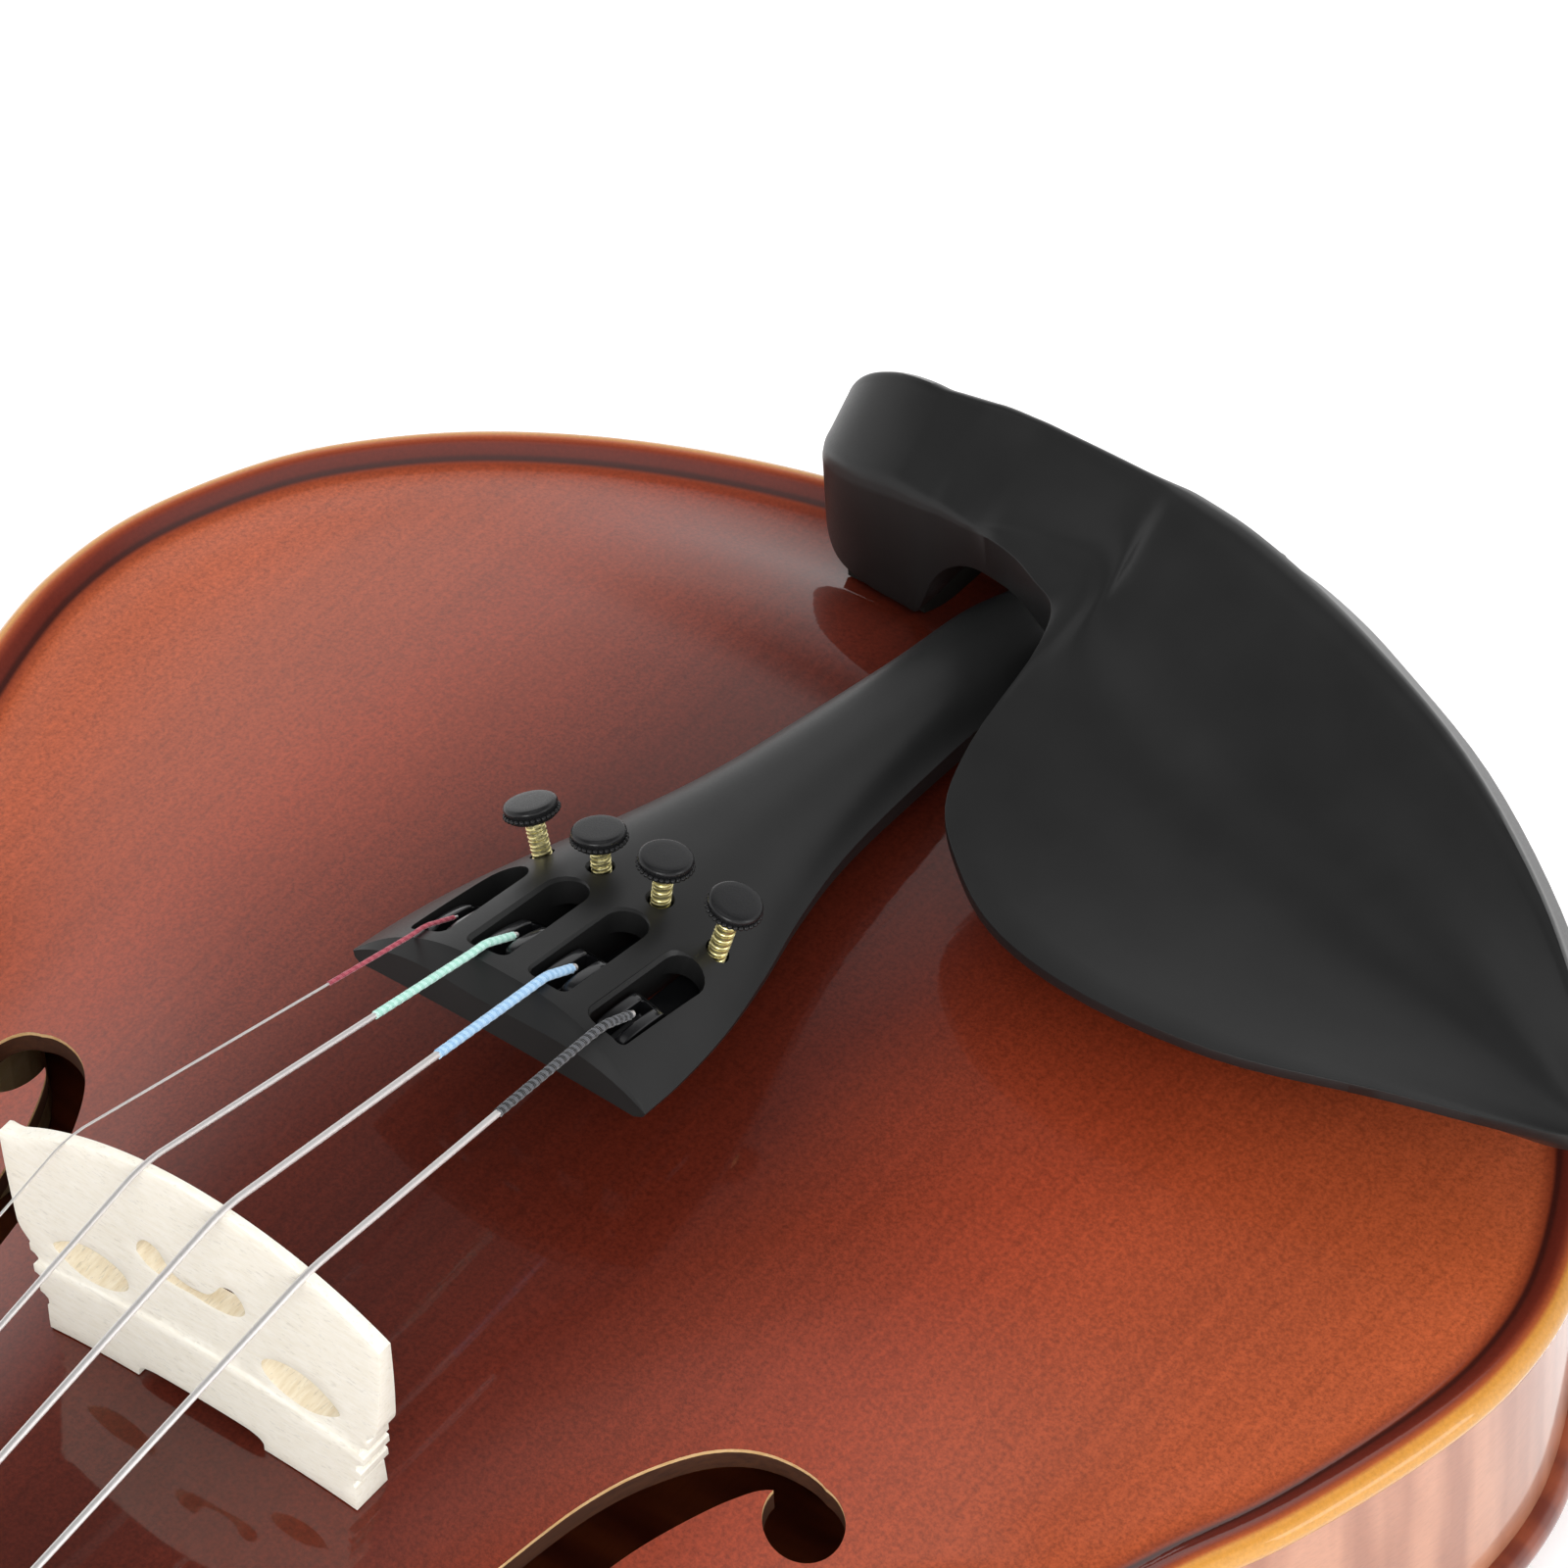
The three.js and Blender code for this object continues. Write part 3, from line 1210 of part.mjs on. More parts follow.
function chinRestSolid() {
  const sections = chinRestShares.map(chinRestSection);
  let solid = loft(sections);
  clampSites().forEach(({ side }) => {
    const x = side * clampX;
    const foot = box(
      vec(x - corkWidth / 2, padsFrom, chinRestFeetBottom + seatGap),
      vec(x + corkWidth / 2, padsFrom + corkLength, clampStudTop - corkThickness),
    );
    solid = solid.add(foot);
  });
  clampSites().forEach(({ side }) => {
    const hole = circle(side * clampX, clampY, clampStudRadius + seatGap, clampSides);
    solid = solid.subtract(prismUp(hole, backEdge, clampStudTop + seatGap));
  });
  return solid;
}

// The model

const violin = new THREE.Group();

function addMesh(name, solid, finish, parent = violin) {
  const mesh = new THREE.Mesh(geometryOf(solid), new THREE.MeshStandardMaterial(finish));
  mesh.name = name;
  parent.add(mesh);
  return mesh;
}

// Neck, which the body's upper end is cut for

const heelFloor = box(
  vec(-boardEndWidth, upperEnd - mortiseDepth * 2, backEdge - ribHeight),
  vec(boardEndWidth, upperEnd + neckLength / 4, backJoint + seatGap),
);
const shaft = neckShaft(0).subtract(heelFloor);
const rootCutter = neckShaft(seatGap);
let neck = shaft.add(pegboxSolid()).add(throatSolid()).add(scrollSolid()).subtract(pegboxCavity());
const nutSeat = box(
  vec(-pegboxHalfWidth - cutOverrun, nutY - seatGap, boardUnder(nutY) - seatGap - nutLip),
  vec(pegboxHalfWidth + cutOverrun, nutY + nutLength + seatGap, boardTop(nutY) + pegboxRise),
);
neck = neck.subtract(nutSeat);
strings.forEach((string) => {
  const frame = pegFrame(string);
  neck = neck.subtract(moved(pegHoleCutter(frame.half), pegMatrix(frame)));
});
addMesh("neck", neck, maple);

// Plates

const saddleNotch = box(
  vec(-saddleWidth / 2 - seatGap, lowerEnd - cutOverrun, bellyJoint - cutOverrun),
  vec(saddleWidth / 2 + seatGap, lowerEnd + saddleLength + seatGap, bellyCrest),
);
const bellyBlank = plateSolid({ joint: bellyJoint, outwards: 1, crest: bellyArch, limit: bellyArch });
const topPlate = bellyBlank
  .subtract(soundHoleCutter(1)).subtract(soundHoleCutter(-1))
  .subtract(rootCutter).subtract(saddleNotch);
addMesh("top_plate", topPlate, belly);

const button = circle(0, upperEnd, buttonWidth / 2, 24).map((p) => new THREE.Vector2(
  p.x, p.y > upperEnd ? upperEnd + (p.y - upperEnd) * (buttonLength / (buttonWidth / 2)) : p.y,
));
const backPlate = plateSolid({
  joint: backJoint, outwards: -1, crest: backArch + restFlatDepth, limit: backArch,
}).add(prismUp(button, backEdge, backJoint));
addMesh("back_plate", backPlate, maple);

// Ribs

function mirrored(points) {
  return points.map((p) => new THREE.Vector2(-p.x, p.y));
}

function ribSolid(outside, inside) {
  return prismUp(withoutRepeats(outside.concat(inside.slice().reverse())), backJoint, bellyJoint);
}

const ribOutside = insetCurves(edgeOverhang);
const ribInside = insetCurves(ribInner);
const buttonHole = turned([
  [0, -cutOverrun], [endButtonShankRadius + seatGap, -cutOverrun],
  [endButtonShankRadius + seatGap, endButtonShankLength + seatGap], [0, endButtonShankLength + seatGap],
], endButtonSides, "y");
const buttonHoleCutter = shifted(buttonHole, 0, lowerEnd + edgeOverhang, buttonZ);
const ribRows = [
  { row: 0, label: "upper" },
  { row: 1, label: "centre" },
];
ribRows.forEach(({ row, label }) => {
  const treble = ribSolid(ribOutside[row], ribInside[row]).subtract(rootCutter);
  const bass = ribSolid(mirrored(ribOutside[row]), mirrored(ribInside[row])).subtract(rootCutter);
  addMesh(`rib_${label}_treble`, treble, maple);
  addMesh(`rib_${label}_bass`, bass, maple);
});
const roundTail = (line) => line.concat(mirrored(line.slice(0, -1)).reverse());
const lowerRib = ribSolid(roundTail(ribOutside[2]), roundTail(ribInside[2]));
addMesh("rib_lower", lowerRib.subtract(buttonHoleCutter), maple);

// Blocks and linings

function liningRing(from, to, low, high) {
  const inner = prismUp(withoutRepeats(insetRing(to)), low - cutOverrun, high + cutOverrun);
  return prismUp(withoutRepeats(insetRing(from)), low, high).subtract(inner);
}

const liningLevels = [
  { name: "lining_back", low: backJoint, high: backJoint + liningHeight },
  { name: "lining_top", low: bellyJoint - liningHeight, high: bellyJoint },
];
let liningCutter = null;
liningLevels.forEach(({ name, low, high }) => {
  addMesh(name, liningRing(innerFace, innerFace + liningThickness, low, high).subtract(rootCutter), bareSpruce);
  const notch = liningRing(
    edgeOverhang, innerFace + liningThickness + seatGap, low - seatGap, high + seatGap,
  );
  liningCutter = liningCutter ? liningCutter.add(notch) : notch;
});

const insideBody = prismUp(withoutRepeats(insetRing(innerFace)), backJoint, bellyJoint);

function endBlock(near, far) {
  const blank = box(
    vec(-endBlockWidth / 2, Math.min(near, far), backJoint),
    vec(endBlockWidth / 2, Math.max(near, far), bellyJoint),
  );
  return insideBody.intersect(blank).subtract(liningCutter);
}

const topBlock = endBlock(upperEnd, upperEnd - endBlockDepth - innerFace).subtract(rootCutter);
addMesh("top_block", topBlock, bareSpruce);
const tailBlock = endBlock(lowerEnd, lowerEnd + endBlockDepth + innerFace).subtract(buttonHoleCutter);
addMesh("end_block", tailBlock, bareSpruce);

// A corner block fills the corner out to an arc round its tip.
function cornerBlock(side, upper) {
  const lines = insetCurves(innerFace);
  const tip = upper ? lines[1][0] : lines[2][0];
  const reach = prismUp(circle(side * tip.x, tip.y, cornerBlockRadius, 32), backJoint, bellyJoint);
  return largest(insideBody.intersect(reach).subtract(liningCutter));
}

clampSites().forEach(({ name, side }) => {
  addMesh(`corner_block_upper_${name}`, cornerBlock(side, true), bareSpruce);
  addMesh(`corner_block_lower_${name}`, cornerBlock(side, false), bareSpruce);
});

// Bass bar and sound post, fitted to the plates

const bellyRaised = shifted(topPlate, 0, 0, seatGap);
const bellyLowered = shifted(topPlate, 0, 0, -seatGap);
const backRaised = shifted(backPlate, 0, 0, seatGap);
const backLowered = shifted(backPlate, 0, 0, -seatGap);

function barOutline() {
  const points = [];
  const steps = bassBarSteps;
  for (let i = 0; i <= steps; i += 1) {
    const y = bodyMiddle + bassBarLength * (1 / 2 - i / steps);
    points.push(new THREE.Vector2(y, barTop(y)));
  }
  for (let i = steps; i >= 0; i -= 1) {
    const y = bodyMiddle + bassBarLength * (1 / 2 - i / steps);
    const depth = bassBarHeight * lerp(1, bassBarEndShare, (2 * (i / steps) - 1) ** 2);
    points.push(new THREE.Vector2(y, barTop(y) - depth));
  }
  return points;
}

function barTop(y) {
  const share = Math.abs(bassBarX) / (waistWidth / 2);
  const spineY = bodyMiddle + (y - bodyMiddle) * spineShare;
  return bellyJoint + archHeight(share, spineY, bellyArch) - plateThickness / 2;
}

const barBlank = prismAcross(barOutline(), bassBarX - bassBarWidth / 2, bassBarX + bassBarWidth / 2);
addMesh("bass_bar", largest(barBlank.subtract(bellyLowered)), bareSpruce);

const postLow = plateThickness / 2;
const postHigh = bellyCrest - plateThickness / 2;
const postBlank = prismUp(
  circle(soundPostX, -soundPostBehindBridge, soundPostRadius, 16), postLow, postHigh,
);
addMesh("sound_post", largest(postBlank.subtract(bellyLowered).subtract(backRaised)), bareSpruce);

// Fingerboard and nut

function boardSection(y, low, lift, half, radius) {
  const ring = [];
  for (let i = 0; i <= boardSteps; i += 1) {
    const x = lerp(half, -half, i / boardSteps);
    ring.push(vec(x, y, boardTop(y) + lift - crownDrop(x, radius)));
  }
  ring.push(vec(-half, y, low), vec(half, y, low));
  return ring;
}

const fingerboard = loft([nutY - seatGap, boardEndY].map((y) => boardSection(
  y, boardUnder(y), 0, boardHalfWidth(y), boardRadius,
)));
addMesh("fingerboard", fingerboard, ebony);

function nutTop(x) {
  return boardTop(nutY) + nutLip - crownDrop(x, boardRadius);
}

const nutHalf = boardNutWidth / 2;
const nutFloor = boardUnder(nutY) - nutLip;
const nut = loft([nutY, nutY + nutLength].map((y) => boardSection(
  y, nutFloor, nutTop(0) - boardTop(y) - (y > nutY ? nutLip : 0), nutHalf, boardRadius,
)));
addMesh("nut", nut, ebony);

// Bridge

addMesh("bridge", largest(bridgeSolid().subtract(bellyRaised)), bareMaple);

// Tailpiece and tuners

let tailpiece = tailpieceBlank();
strings.forEach((string) => {
  tailpiece = tailpiece.subtract(moved(tunerCutter(), tunerMatrix(string)));
});

// The tail gut passes through the tailpiece's end wall into a pocket that is open below.
const gutPocketEnd = tailpieceLength - tailGutPocketWall;
const gutPocketStart = gutPocketEnd - tailGutPocketLength;
const gutNutAt = gutPocketEnd - seatGap - tailGutNutLength / 2;
const gutStart = gutNutAt - tailGutNutLength;
const gutFrame = surfaceMatrix(0, 0, 0, 0);
const onGutLine = (x, s) => vec(x, s, -tailGutDepth).applyMatrix4(gutFrame);
const gutPocket = box(
  vec(-tailGutPocketHalfWidth, gutPocketStart, -tailpieceCrown * 2),
  vec(tailGutPocketHalfWidth, gutPocketEnd, -tailGutPocketSkin),
);
tailpiece = tailpiece.subtract(moved(gutPocket, gutFrame));
clampSites().forEach(({ side }) => {
  const x = side * tailGutExitSpread;
  const line = [onGutLine(x, gutNutAt), onGutLine(x, tailpieceLength + cutOverrun)];
  const bore = (tailGutRadius + runningGap) / Math.cos(Math.PI / tailGutSides);
  tailpiece = tailpiece.subtract(tube(line, bore, tailGutSides));
});
addMesh("tailpiece", tailpiece, plastic);

strings.forEach((string) => {
  const group = new THREE.Group();
  group.applyMatrix4(tunerMatrix(string));
  violin.add(group);
  const screw = addMesh(`tuner_screw_${string.name}`, screwSolid(), brass, group);
  screw.position.set(0, screwAt, string.exposure);
  const cap = addMesh(`tuner_cap_${string.name}`, capSolid(), plastic, group);
  cap.position.set(0, screwAt, string.exposure);
  const lever = addMesh(`tuner_lever_${string.name}`, leverSolid(), darkMetal, group);
  lever.position.set(0, leverPivotAt, -leverPivotDepth);
  lever.rotation.x = -leverTilt(string);
});

// Saddle, end button and tail gut

const saddleTop = bellyEdge + saddleRise;
const saddleShares = [
  [1, 0.1], [0.86, 0.5], [0.6, 0.88], [0.4, 1], [-0.4, 1], [-0.6, 0.88], [-0.86, 0.5], [-1, 0.1],
];
const saddleOutline = saddleShares.map(([x, z]) => new THREE.Vector2(
  (x * saddleWidth) / 2, bellyEdge + z * saddleRise,
));
saddleOutline.push(
  new THREE.Vector2(-saddleWidth / 2, bellyJoint + seatGap), new THREE.Vector2(saddleWidth / 2, bellyJoint + seatGap),
);
addMesh("saddle", prismAlong(saddleOutline, lowerEnd, lowerEnd + saddleLength), ebony);

const reachOf = (share) => -endButtonReach * share;
const endButtonProfile = [
  [0, endButtonShankLength], [endButtonShankRadius * endButtonTipShare, endButtonShankLength],
  [endButtonShankRadius, -seatGap], [endButtonCollarRadius, -seatGap],
  [endButtonCollarRadius, reachOf(endButtonShares.collar)],
  [endButtonNeckRadius, reachOf(endButtonShares.neckStart)], [endButtonNeckRadius, reachOf(endButtonShares.neckEnd)],
  [endButtonHeadRadius, reachOf(endButtonShares.headStart)], [endButtonHeadRadius, reachOf(endButtonShares.headEnd)],
  [endButtonHeadRadius * endButtonShares.face, reachOf(1)], [0, reachOf(1)],
].reverse();
const endButton = turned(endButtonProfile, endButtonSides, "y");
addMesh("end_button", shifted(endButton, 0, lowerEnd + edgeOverhang, buttonZ), ebony);

const gutLoopRadius = endButtonNeckRadius + tailGutRadius + runningGap;
const gutY = lowerEnd + edgeOverhang - endButtonReach * tailGutLoopShare;
const gutClear = tailGutRadius + stringClearance;
const roundSaddle = (back, up) => vec(tailGutSpread, lowerEnd - back * gutClear, saddleTop + up * gutClear);
const [gutDrop, gutSpread] = tailGutDropShares;
const gutHalf = [
  onGutLine(tailGutExitSpread, gutStart),
  onGutLine(tailGutExitSpread, tailpieceLength + tailGutRadius),
  roundSaddle(-saddleLength / gutClear - 1, tailGutSaddleShares[1][1]),
  ...tailGutSaddleShares.map(([back, up]) => roundSaddle(back, up)),
  vec(tailGutSpread, lerp(lowerEnd - gutClear, gutY, gutDrop), bellyJoint),
  vec(lerp(tailGutSpread, gutLoopRadius, gutSpread), gutY, lerp(bellyJoint, buttonZ, gutDrop)),
];
const gutLoop = [];
for (let i = 0; i <= tailGutSteps; i += 1) {
  const angle = (Math.PI * i) / tailGutSteps;
  gutLoop.push(vec(gutLoopRadius * Math.cos(angle), gutY, buttonZ - gutLoopRadius * Math.sin(angle)));
}
const gutOther = gutHalf.map((p) => vec(-p.x, p.y, p.z)).reverse();
const gutRoute = [...gutHalf, ...gutLoop, ...gutOther];
addMesh("tail_gut", tube(gutRoute, tailGutRadius, tailGutSides), nylon);

clampSites().forEach(({ name, side }) => {
  const bore = (tailGutRadius + runningGap) / Math.cos(Math.PI / tailGutSides);
  const half = tailGutNutLength / 2;
  const ring = prismAlong(circle(0, 0, tailGutNutRadius, 12), -half, half);
  const nutBore = prismAlong(circle(0, 0, bore, 12), -cutOverrun * 2, cutOverrun * 2);
  const place = surfaceMatrix(side * tailGutExitSpread, gutNutAt, -tailGutDepth, 0);
  addMesh(`tail_gut_nut_${name}`, moved(ring.subtract(nutBore), place), nickel);
});

// Pegs, strings and their turns on the pegs

function stringAtNut(string) {
  const x = (string.orderShare / 3) * nutStringSpread;
  return vec(x, nutY + nutLength * stringNutShare, nutTop(x) + string.gauge / 2 + stringClearance);
}

function windingOf(string) {
  const frame = pegFrame(string);
  const radius = string.gauge / 2 + silkThickness;
  const reel = pegHeadRadius + radius + windingStandOff;
  const start = stringAtNut(string);
  let direction = new THREE.Vector2(1, 0);
  let touch = new THREE.Vector2(frame.y, frame.z + reel);
  for (let i = 0; i < windingSearchSteps; i += 1) {
    direction = touch.clone().sub(new THREE.Vector2(start.y + nutLength, start.z - nutLip)).normalize();
    touch = new THREE.Vector2(frame.y - direction.y * reel, frame.z + direction.x * reel);
  }
  const pitch = 2 * radius + windingPitchGap;
  const room = frame.half - cheekThickness - radius - windingPitchGap;
  const outwards = frame.side;
  const length = pitch * windingLoops;
  const startX = outwards * (room - length);
  return { frame, radius, reel, direction, touch, pitch, startX, outwards };
}

function leastGap(points, diameter, apart) {
  let least = Infinity;
  points.forEach((p, i) => {
    for (let j = i + apart; j < points.length; j += 1) least = Math.min(least, p.distanceTo(points[j]));
  });
  return least - diameter;
}

strings.forEach((string) => {
  const winding = windingOf(string);
  const { frame, radius, reel, direction, touch, pitch, startX, outwards } = winding;
  addMesh(`peg_${string.name}`, moved(pegSolid(frame.half), pegMatrix(frame)), ebony);
  const out = new THREE.Vector2(-direction.y, direction.x);
  const turns = [];
  const steps = windingLoops * windingStepsPerLoop;
  for (let i = 0; i <= steps; i += 1) {
    const angle = (i / windingStepsPerLoop) * Math.PI * 2;
    const y = frame.y + reel * (out.x * Math.cos(angle) + direction.x * Math.sin(angle));
    const z = frame.z + reel * (out.y * Math.cos(angle) + direction.y * Math.sin(angle));
    turns.push(vec(startX + (outwards * pitch * i) / windingStepsPerLoop, y, z));
  }
  const gap = leastGap(turns, 2 * radius, windingStepsPerLoop / 2);
  console.log(`turns of the ${string.name} string lie at least ${gap.toFixed(2)} mm apart`);
  const silk = { color: string.silk, roughness: 0.8, metalness: 0 };
  addMesh(`winding_${string.name}`, tube(turns, radius, windingSides), silk);

  // The string, from its tuner over ridge, bridge and nut to the peg
  const gaugeRadius = string.gauge / 2;
  const x = string.orderShare * tunerSpacing;
  const matrix = tunerMatrix(string);
  const anchor = vec(0, stringAnchorAt, -stringAnchorDepth).applyMatrix4(matrix);
  const overRidge = gaugeRadius + stringClearance * 2;
  const landing = overRidge - tailpieceDrop(x, tailpieceHalfWidth, tailpieceCrown);
  const ridge = tailpoint(0, landing);
  const land = tailpoint(slotStart, landing);
  const bridgeX = string.orderShare * stringSpacingAtBridge;
  const bridgeTop = bellyCrest + bridgeCrown(bridgeX) + gaugeRadius + stringClearance;
  const atNut = stringAtNut(string);
  const beyond = vec(atNut.x, nutY + nutLength, atNut.z - nutLip);
  const finish = vec(startX, touch.x - direction.x * seatGap, touch.y - direction.y * seatGap);
  const corners = [
    anchor, vec(x, land.y, land.z), vec(x, ridge.y, ridge.z), vec(bridgeX, 0, bridgeTop), atNut, beyond, finish,
  ];
  addMesh(`string_${string.name}`, tube(stationsOf(corners), gaugeRadius, stringSides), steel);
});

// Straight stretches with a short bend at each corner
function stationsOf(corners) {
  const stations = [corners[0]];
  for (let i = 1; i + 1 < corners.length; i += 1) {
    const back = corners[i - 1].clone().sub(corners[i]).normalize();
    const on = corners[i + 1].clone().sub(corners[i]).normalize();
    const room = Math.min(corners[i].distanceTo(corners[i - 1]), corners[i].distanceTo(corners[i + 1])) / 3;
    const reach = Math.min(stringBendReach, room);
    stations.push(corners[i].clone().addScaledVector(back, reach));
    stations.push(corners[i].clone());
    stations.push(corners[i].clone().addScaledVector(on, reach));
  }
  stations.push(corners[corners.length - 1]);
  return stations;
}

// Chin rest and its clamp

const chinRest = chinRestSolid();
addMesh("chin_rest", chinRest, plastic);

clampSites().forEach(({ name, side }) => {
  const x = side * clampX;
  const pad = box(
    vec(x - corkWidth / 2, padsFrom, bellyEdge - cutOverrun),
    vec(x + corkWidth / 2, padsFrom + corkLength, chinRestFeetBottom),
  );
  addMesh(`chin_rest_cork_${name}`, largest(pad.subtract(bellyRaised)), cork);
  const stud = circle(x, clampY, clampStudRadius, clampSides);
  addMesh(`chin_rest_stud_${name}`, prismUp(stud, clampStudBottom, clampStudTop), nickel);
  const barrel = prismUp(circle(x, clampY, clampBarrelRadius, clampSides), clampBarrelBottom, clampBarrelTop);
  const bore = prismUp(
    circle(x, clampY, clampBarrelBore, clampSides), clampBarrelBottom - cutOverrun, clampBarrelTop + cutOverrun,
  );
  addMesh(`clamp_barrel_${name}`, barrel.subtract(bore), nickel);
});

let clampFoot = box(
  vec(-clampX - clampFootMargin, clampY - clampFootMargin, clampFootBottom),
  vec(clampX + clampFootMargin, clampY + clampFootReach, clampFootTop),
);
clampSites().forEach(({ side }) => {
  const post = circle(side * clampX, clampY, clampStudRadius, clampSides);
  clampFoot = clampFoot.add(prismUp(post, clampFootBottom, clampPostTop));
});
addMesh("clamp_foot", clampFoot, nickel);

const footCork = box(
  vec(-clampX - clampFootMargin, lowerEnd + seatGap, clampFootTop + seatGap),
  vec(clampX + clampFootMargin, clampY + clampFootReach, backEdge + channelDepth),
).subtract(backLowered);
addMesh("clamp_foot_cork", footCork, cork);

export default violin;
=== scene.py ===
"""A full-size violin with its fittings, dressed round its packed frame.

It lies on its back: X points to the treble side, Y to the scroll and Z out of the belly.
"""

import math

import bmesh
import bpy
import numpy as np
from bpy.props import FloatProperty, FloatVectorProperty, IntProperty, PointerProperty
from mathutils import Matrix, Vector
from mathutils.geometry import delaunay_2d_cdt


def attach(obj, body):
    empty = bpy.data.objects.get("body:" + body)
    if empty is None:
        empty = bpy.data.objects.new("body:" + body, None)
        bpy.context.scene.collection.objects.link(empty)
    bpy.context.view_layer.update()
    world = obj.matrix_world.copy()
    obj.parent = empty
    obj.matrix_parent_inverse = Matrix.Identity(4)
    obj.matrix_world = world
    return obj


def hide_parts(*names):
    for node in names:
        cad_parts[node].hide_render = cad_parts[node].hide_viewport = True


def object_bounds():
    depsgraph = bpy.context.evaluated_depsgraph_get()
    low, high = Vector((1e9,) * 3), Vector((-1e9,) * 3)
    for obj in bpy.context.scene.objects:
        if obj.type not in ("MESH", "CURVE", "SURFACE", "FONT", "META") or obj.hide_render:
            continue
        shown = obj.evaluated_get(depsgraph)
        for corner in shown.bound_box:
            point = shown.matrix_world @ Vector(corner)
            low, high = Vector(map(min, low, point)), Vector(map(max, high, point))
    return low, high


bl_info = {
    "name": "Violin",
    "version": (1, 0, 0),
    "blender": (4, 5, 0),
    "location": "View3D > Sidebar > Violin",
    "description": "Wood, varnish, strings and fittings of a violin",
    "category": "Object",
}

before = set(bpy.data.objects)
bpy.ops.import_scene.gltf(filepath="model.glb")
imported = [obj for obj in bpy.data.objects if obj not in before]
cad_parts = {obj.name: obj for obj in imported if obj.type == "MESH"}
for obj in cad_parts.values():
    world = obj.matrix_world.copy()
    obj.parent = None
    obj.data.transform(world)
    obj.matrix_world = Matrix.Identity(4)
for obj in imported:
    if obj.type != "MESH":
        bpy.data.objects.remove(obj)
CAD_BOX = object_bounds()

MM = 0.001
BODY = "violin"

# Sizes of the frame, in millimetres
LENGTH = 356.0
UPPER_END = 356.0 * 0.5478
LOWER_END = UPPER_END - LENGTH
MIDDLE = UPPER_END - LENGTH / 2
LOWER_BOUT = 209.0
UPPER_BOUT = LOWER_BOUT * 0.804
WAIST = LOWER_BOUT * 0.531
CORNER_TIP = 7.0
BACK_JOINT = 15.0
BELLY_JOINT = 46.0
EDGE = 4.0
BELLY_EDGE = BELLY_JOINT + EDGE
BELLY_ARCH = 15.5
BELLY_CREST = BELLY_JOINT + BELLY_ARCH
BACK_ARCH = 15.0
OVERHANG = 2.5
RIB = 1.2
NECK = 130.0
NUT_Y = UPPER_END + NECK
BOARD = 270.0
SEAT_GAP = 0.2
SHOULDER = 3.4
PLATE = 3.0

# Places of the strings and of what holds them, in millimetres
RIDGE_SPACING = 8.3
BRIDGE_SPACING = 10.9
NUT_SPAN = 16.8
NUT_LENGTH = 5.5
PEGBOX_LENGTH = 70.0
PEG_TIP, PEG_ROOT = 3.3, 3.75
SCREW_AT, LEVER_AT = 22.2, 8.5
SLOT_FLOOR = -13.0
GUT_SPREAD, GUT_DEPTH = 3.5, 4.6
BUTTON_Z = 30.5

UPPER_BOUT_SHARES = [
    (0, 0), (0.3, 0.0062), (0.595, 0.028), (0.762, 0.0555), (0.923, 0.1125),
    (0.988, 0.169), (1, 0.2), (0.978, 0.242), (0.928, 0.281), (0.874, 0.3225),
]
UPPER_CORNER = (0.929, 0.357)
LOWER_CORNER = (0.885, 0.643)
LOWER_BOUT_SHARES = [
    (0.857, 0.6575), (0.878, 0.679), (0.933, 0.716), (0.988, 0.772), (1, 0.803),
    (0.985, 0.838), (0.914, 0.885), (0.837, 0.913), (0.7225, 0.941), (0.5455, 0.969),
    (0.306, 0.9912), (0, 1),
]
WAIST_SHARES = [
    (0.8, -0.019), (0.6, -0.022), (0.42, 0.002), (0.24, 0.045), (0.107, 0.125), (0.02, 0.24),
    (0, 0.33), (0.025, 0.46), (0.08, 0.575), (0.167, 0.705), (0.282, 0.83), (0.42, 0.935),
    (0.57, 1), (0.72, 1.024), (0.87, 1.022),
]
STEM_SHARES = [
    (0.129, -0.044, 0.3), (0.203, -0.032, 0.45), (0.274, 0.02, 0.66), (0.323, 0.14, 0.9),
    (0.371, 0.36, 1), (0.442, 0.551, 1), (0.448, 0.563, 1.3), (0.458, 0.576, 1),
    (0.526, 0.764, 1), (0.6, 0.875, 0.96), (0.706, 0.974, 0.8), (0.806, 1.024, 0.58),
    (0.948, 1.05, 0.38), (1.048, 1.044, 0.25),
]
UPPER_EYE = (24.5, 37.3, 3.2)
LOWER_EYE = (55.5, -28.9, 4.4)
STEM_HALF = 3.3

# Strings: name, place from bass to treble, gauge, how far the tuner stands out, place along the pegbox
STRINGS = [
    ("g", -1.5, 0.82, 5.2, 0.215),
    ("d", -0.5, 0.86, 4.0, 0.62),
    ("a", 0.5, 0.7, 2.8, 0.82),
    ("e", 1.5, 0.3, 3.7, 0.42),
]


# Points and curves


def array(points):
    return np.array(points, float)


def lerp(a, b, share):
    return a + (b - a) * share


def smoothstep(low, high, value):
    t = np.clip((value - low) / (high - low), 0, 1)
    return t * t * (3 - 2 * t)


def knots(points, power=0.25):
    """The points with one more at each end, and the parameter of each."""
    whole = np.vstack([2 * points[0] - points[1], points, 2 * points[-1] - points[-2]])
    steps = np.maximum(((whole[1:] - whole[:-1]) ** 2).sum(1) ** power, 1e-9)
    return whole, np.concatenate([[0], np.cumsum(steps)])


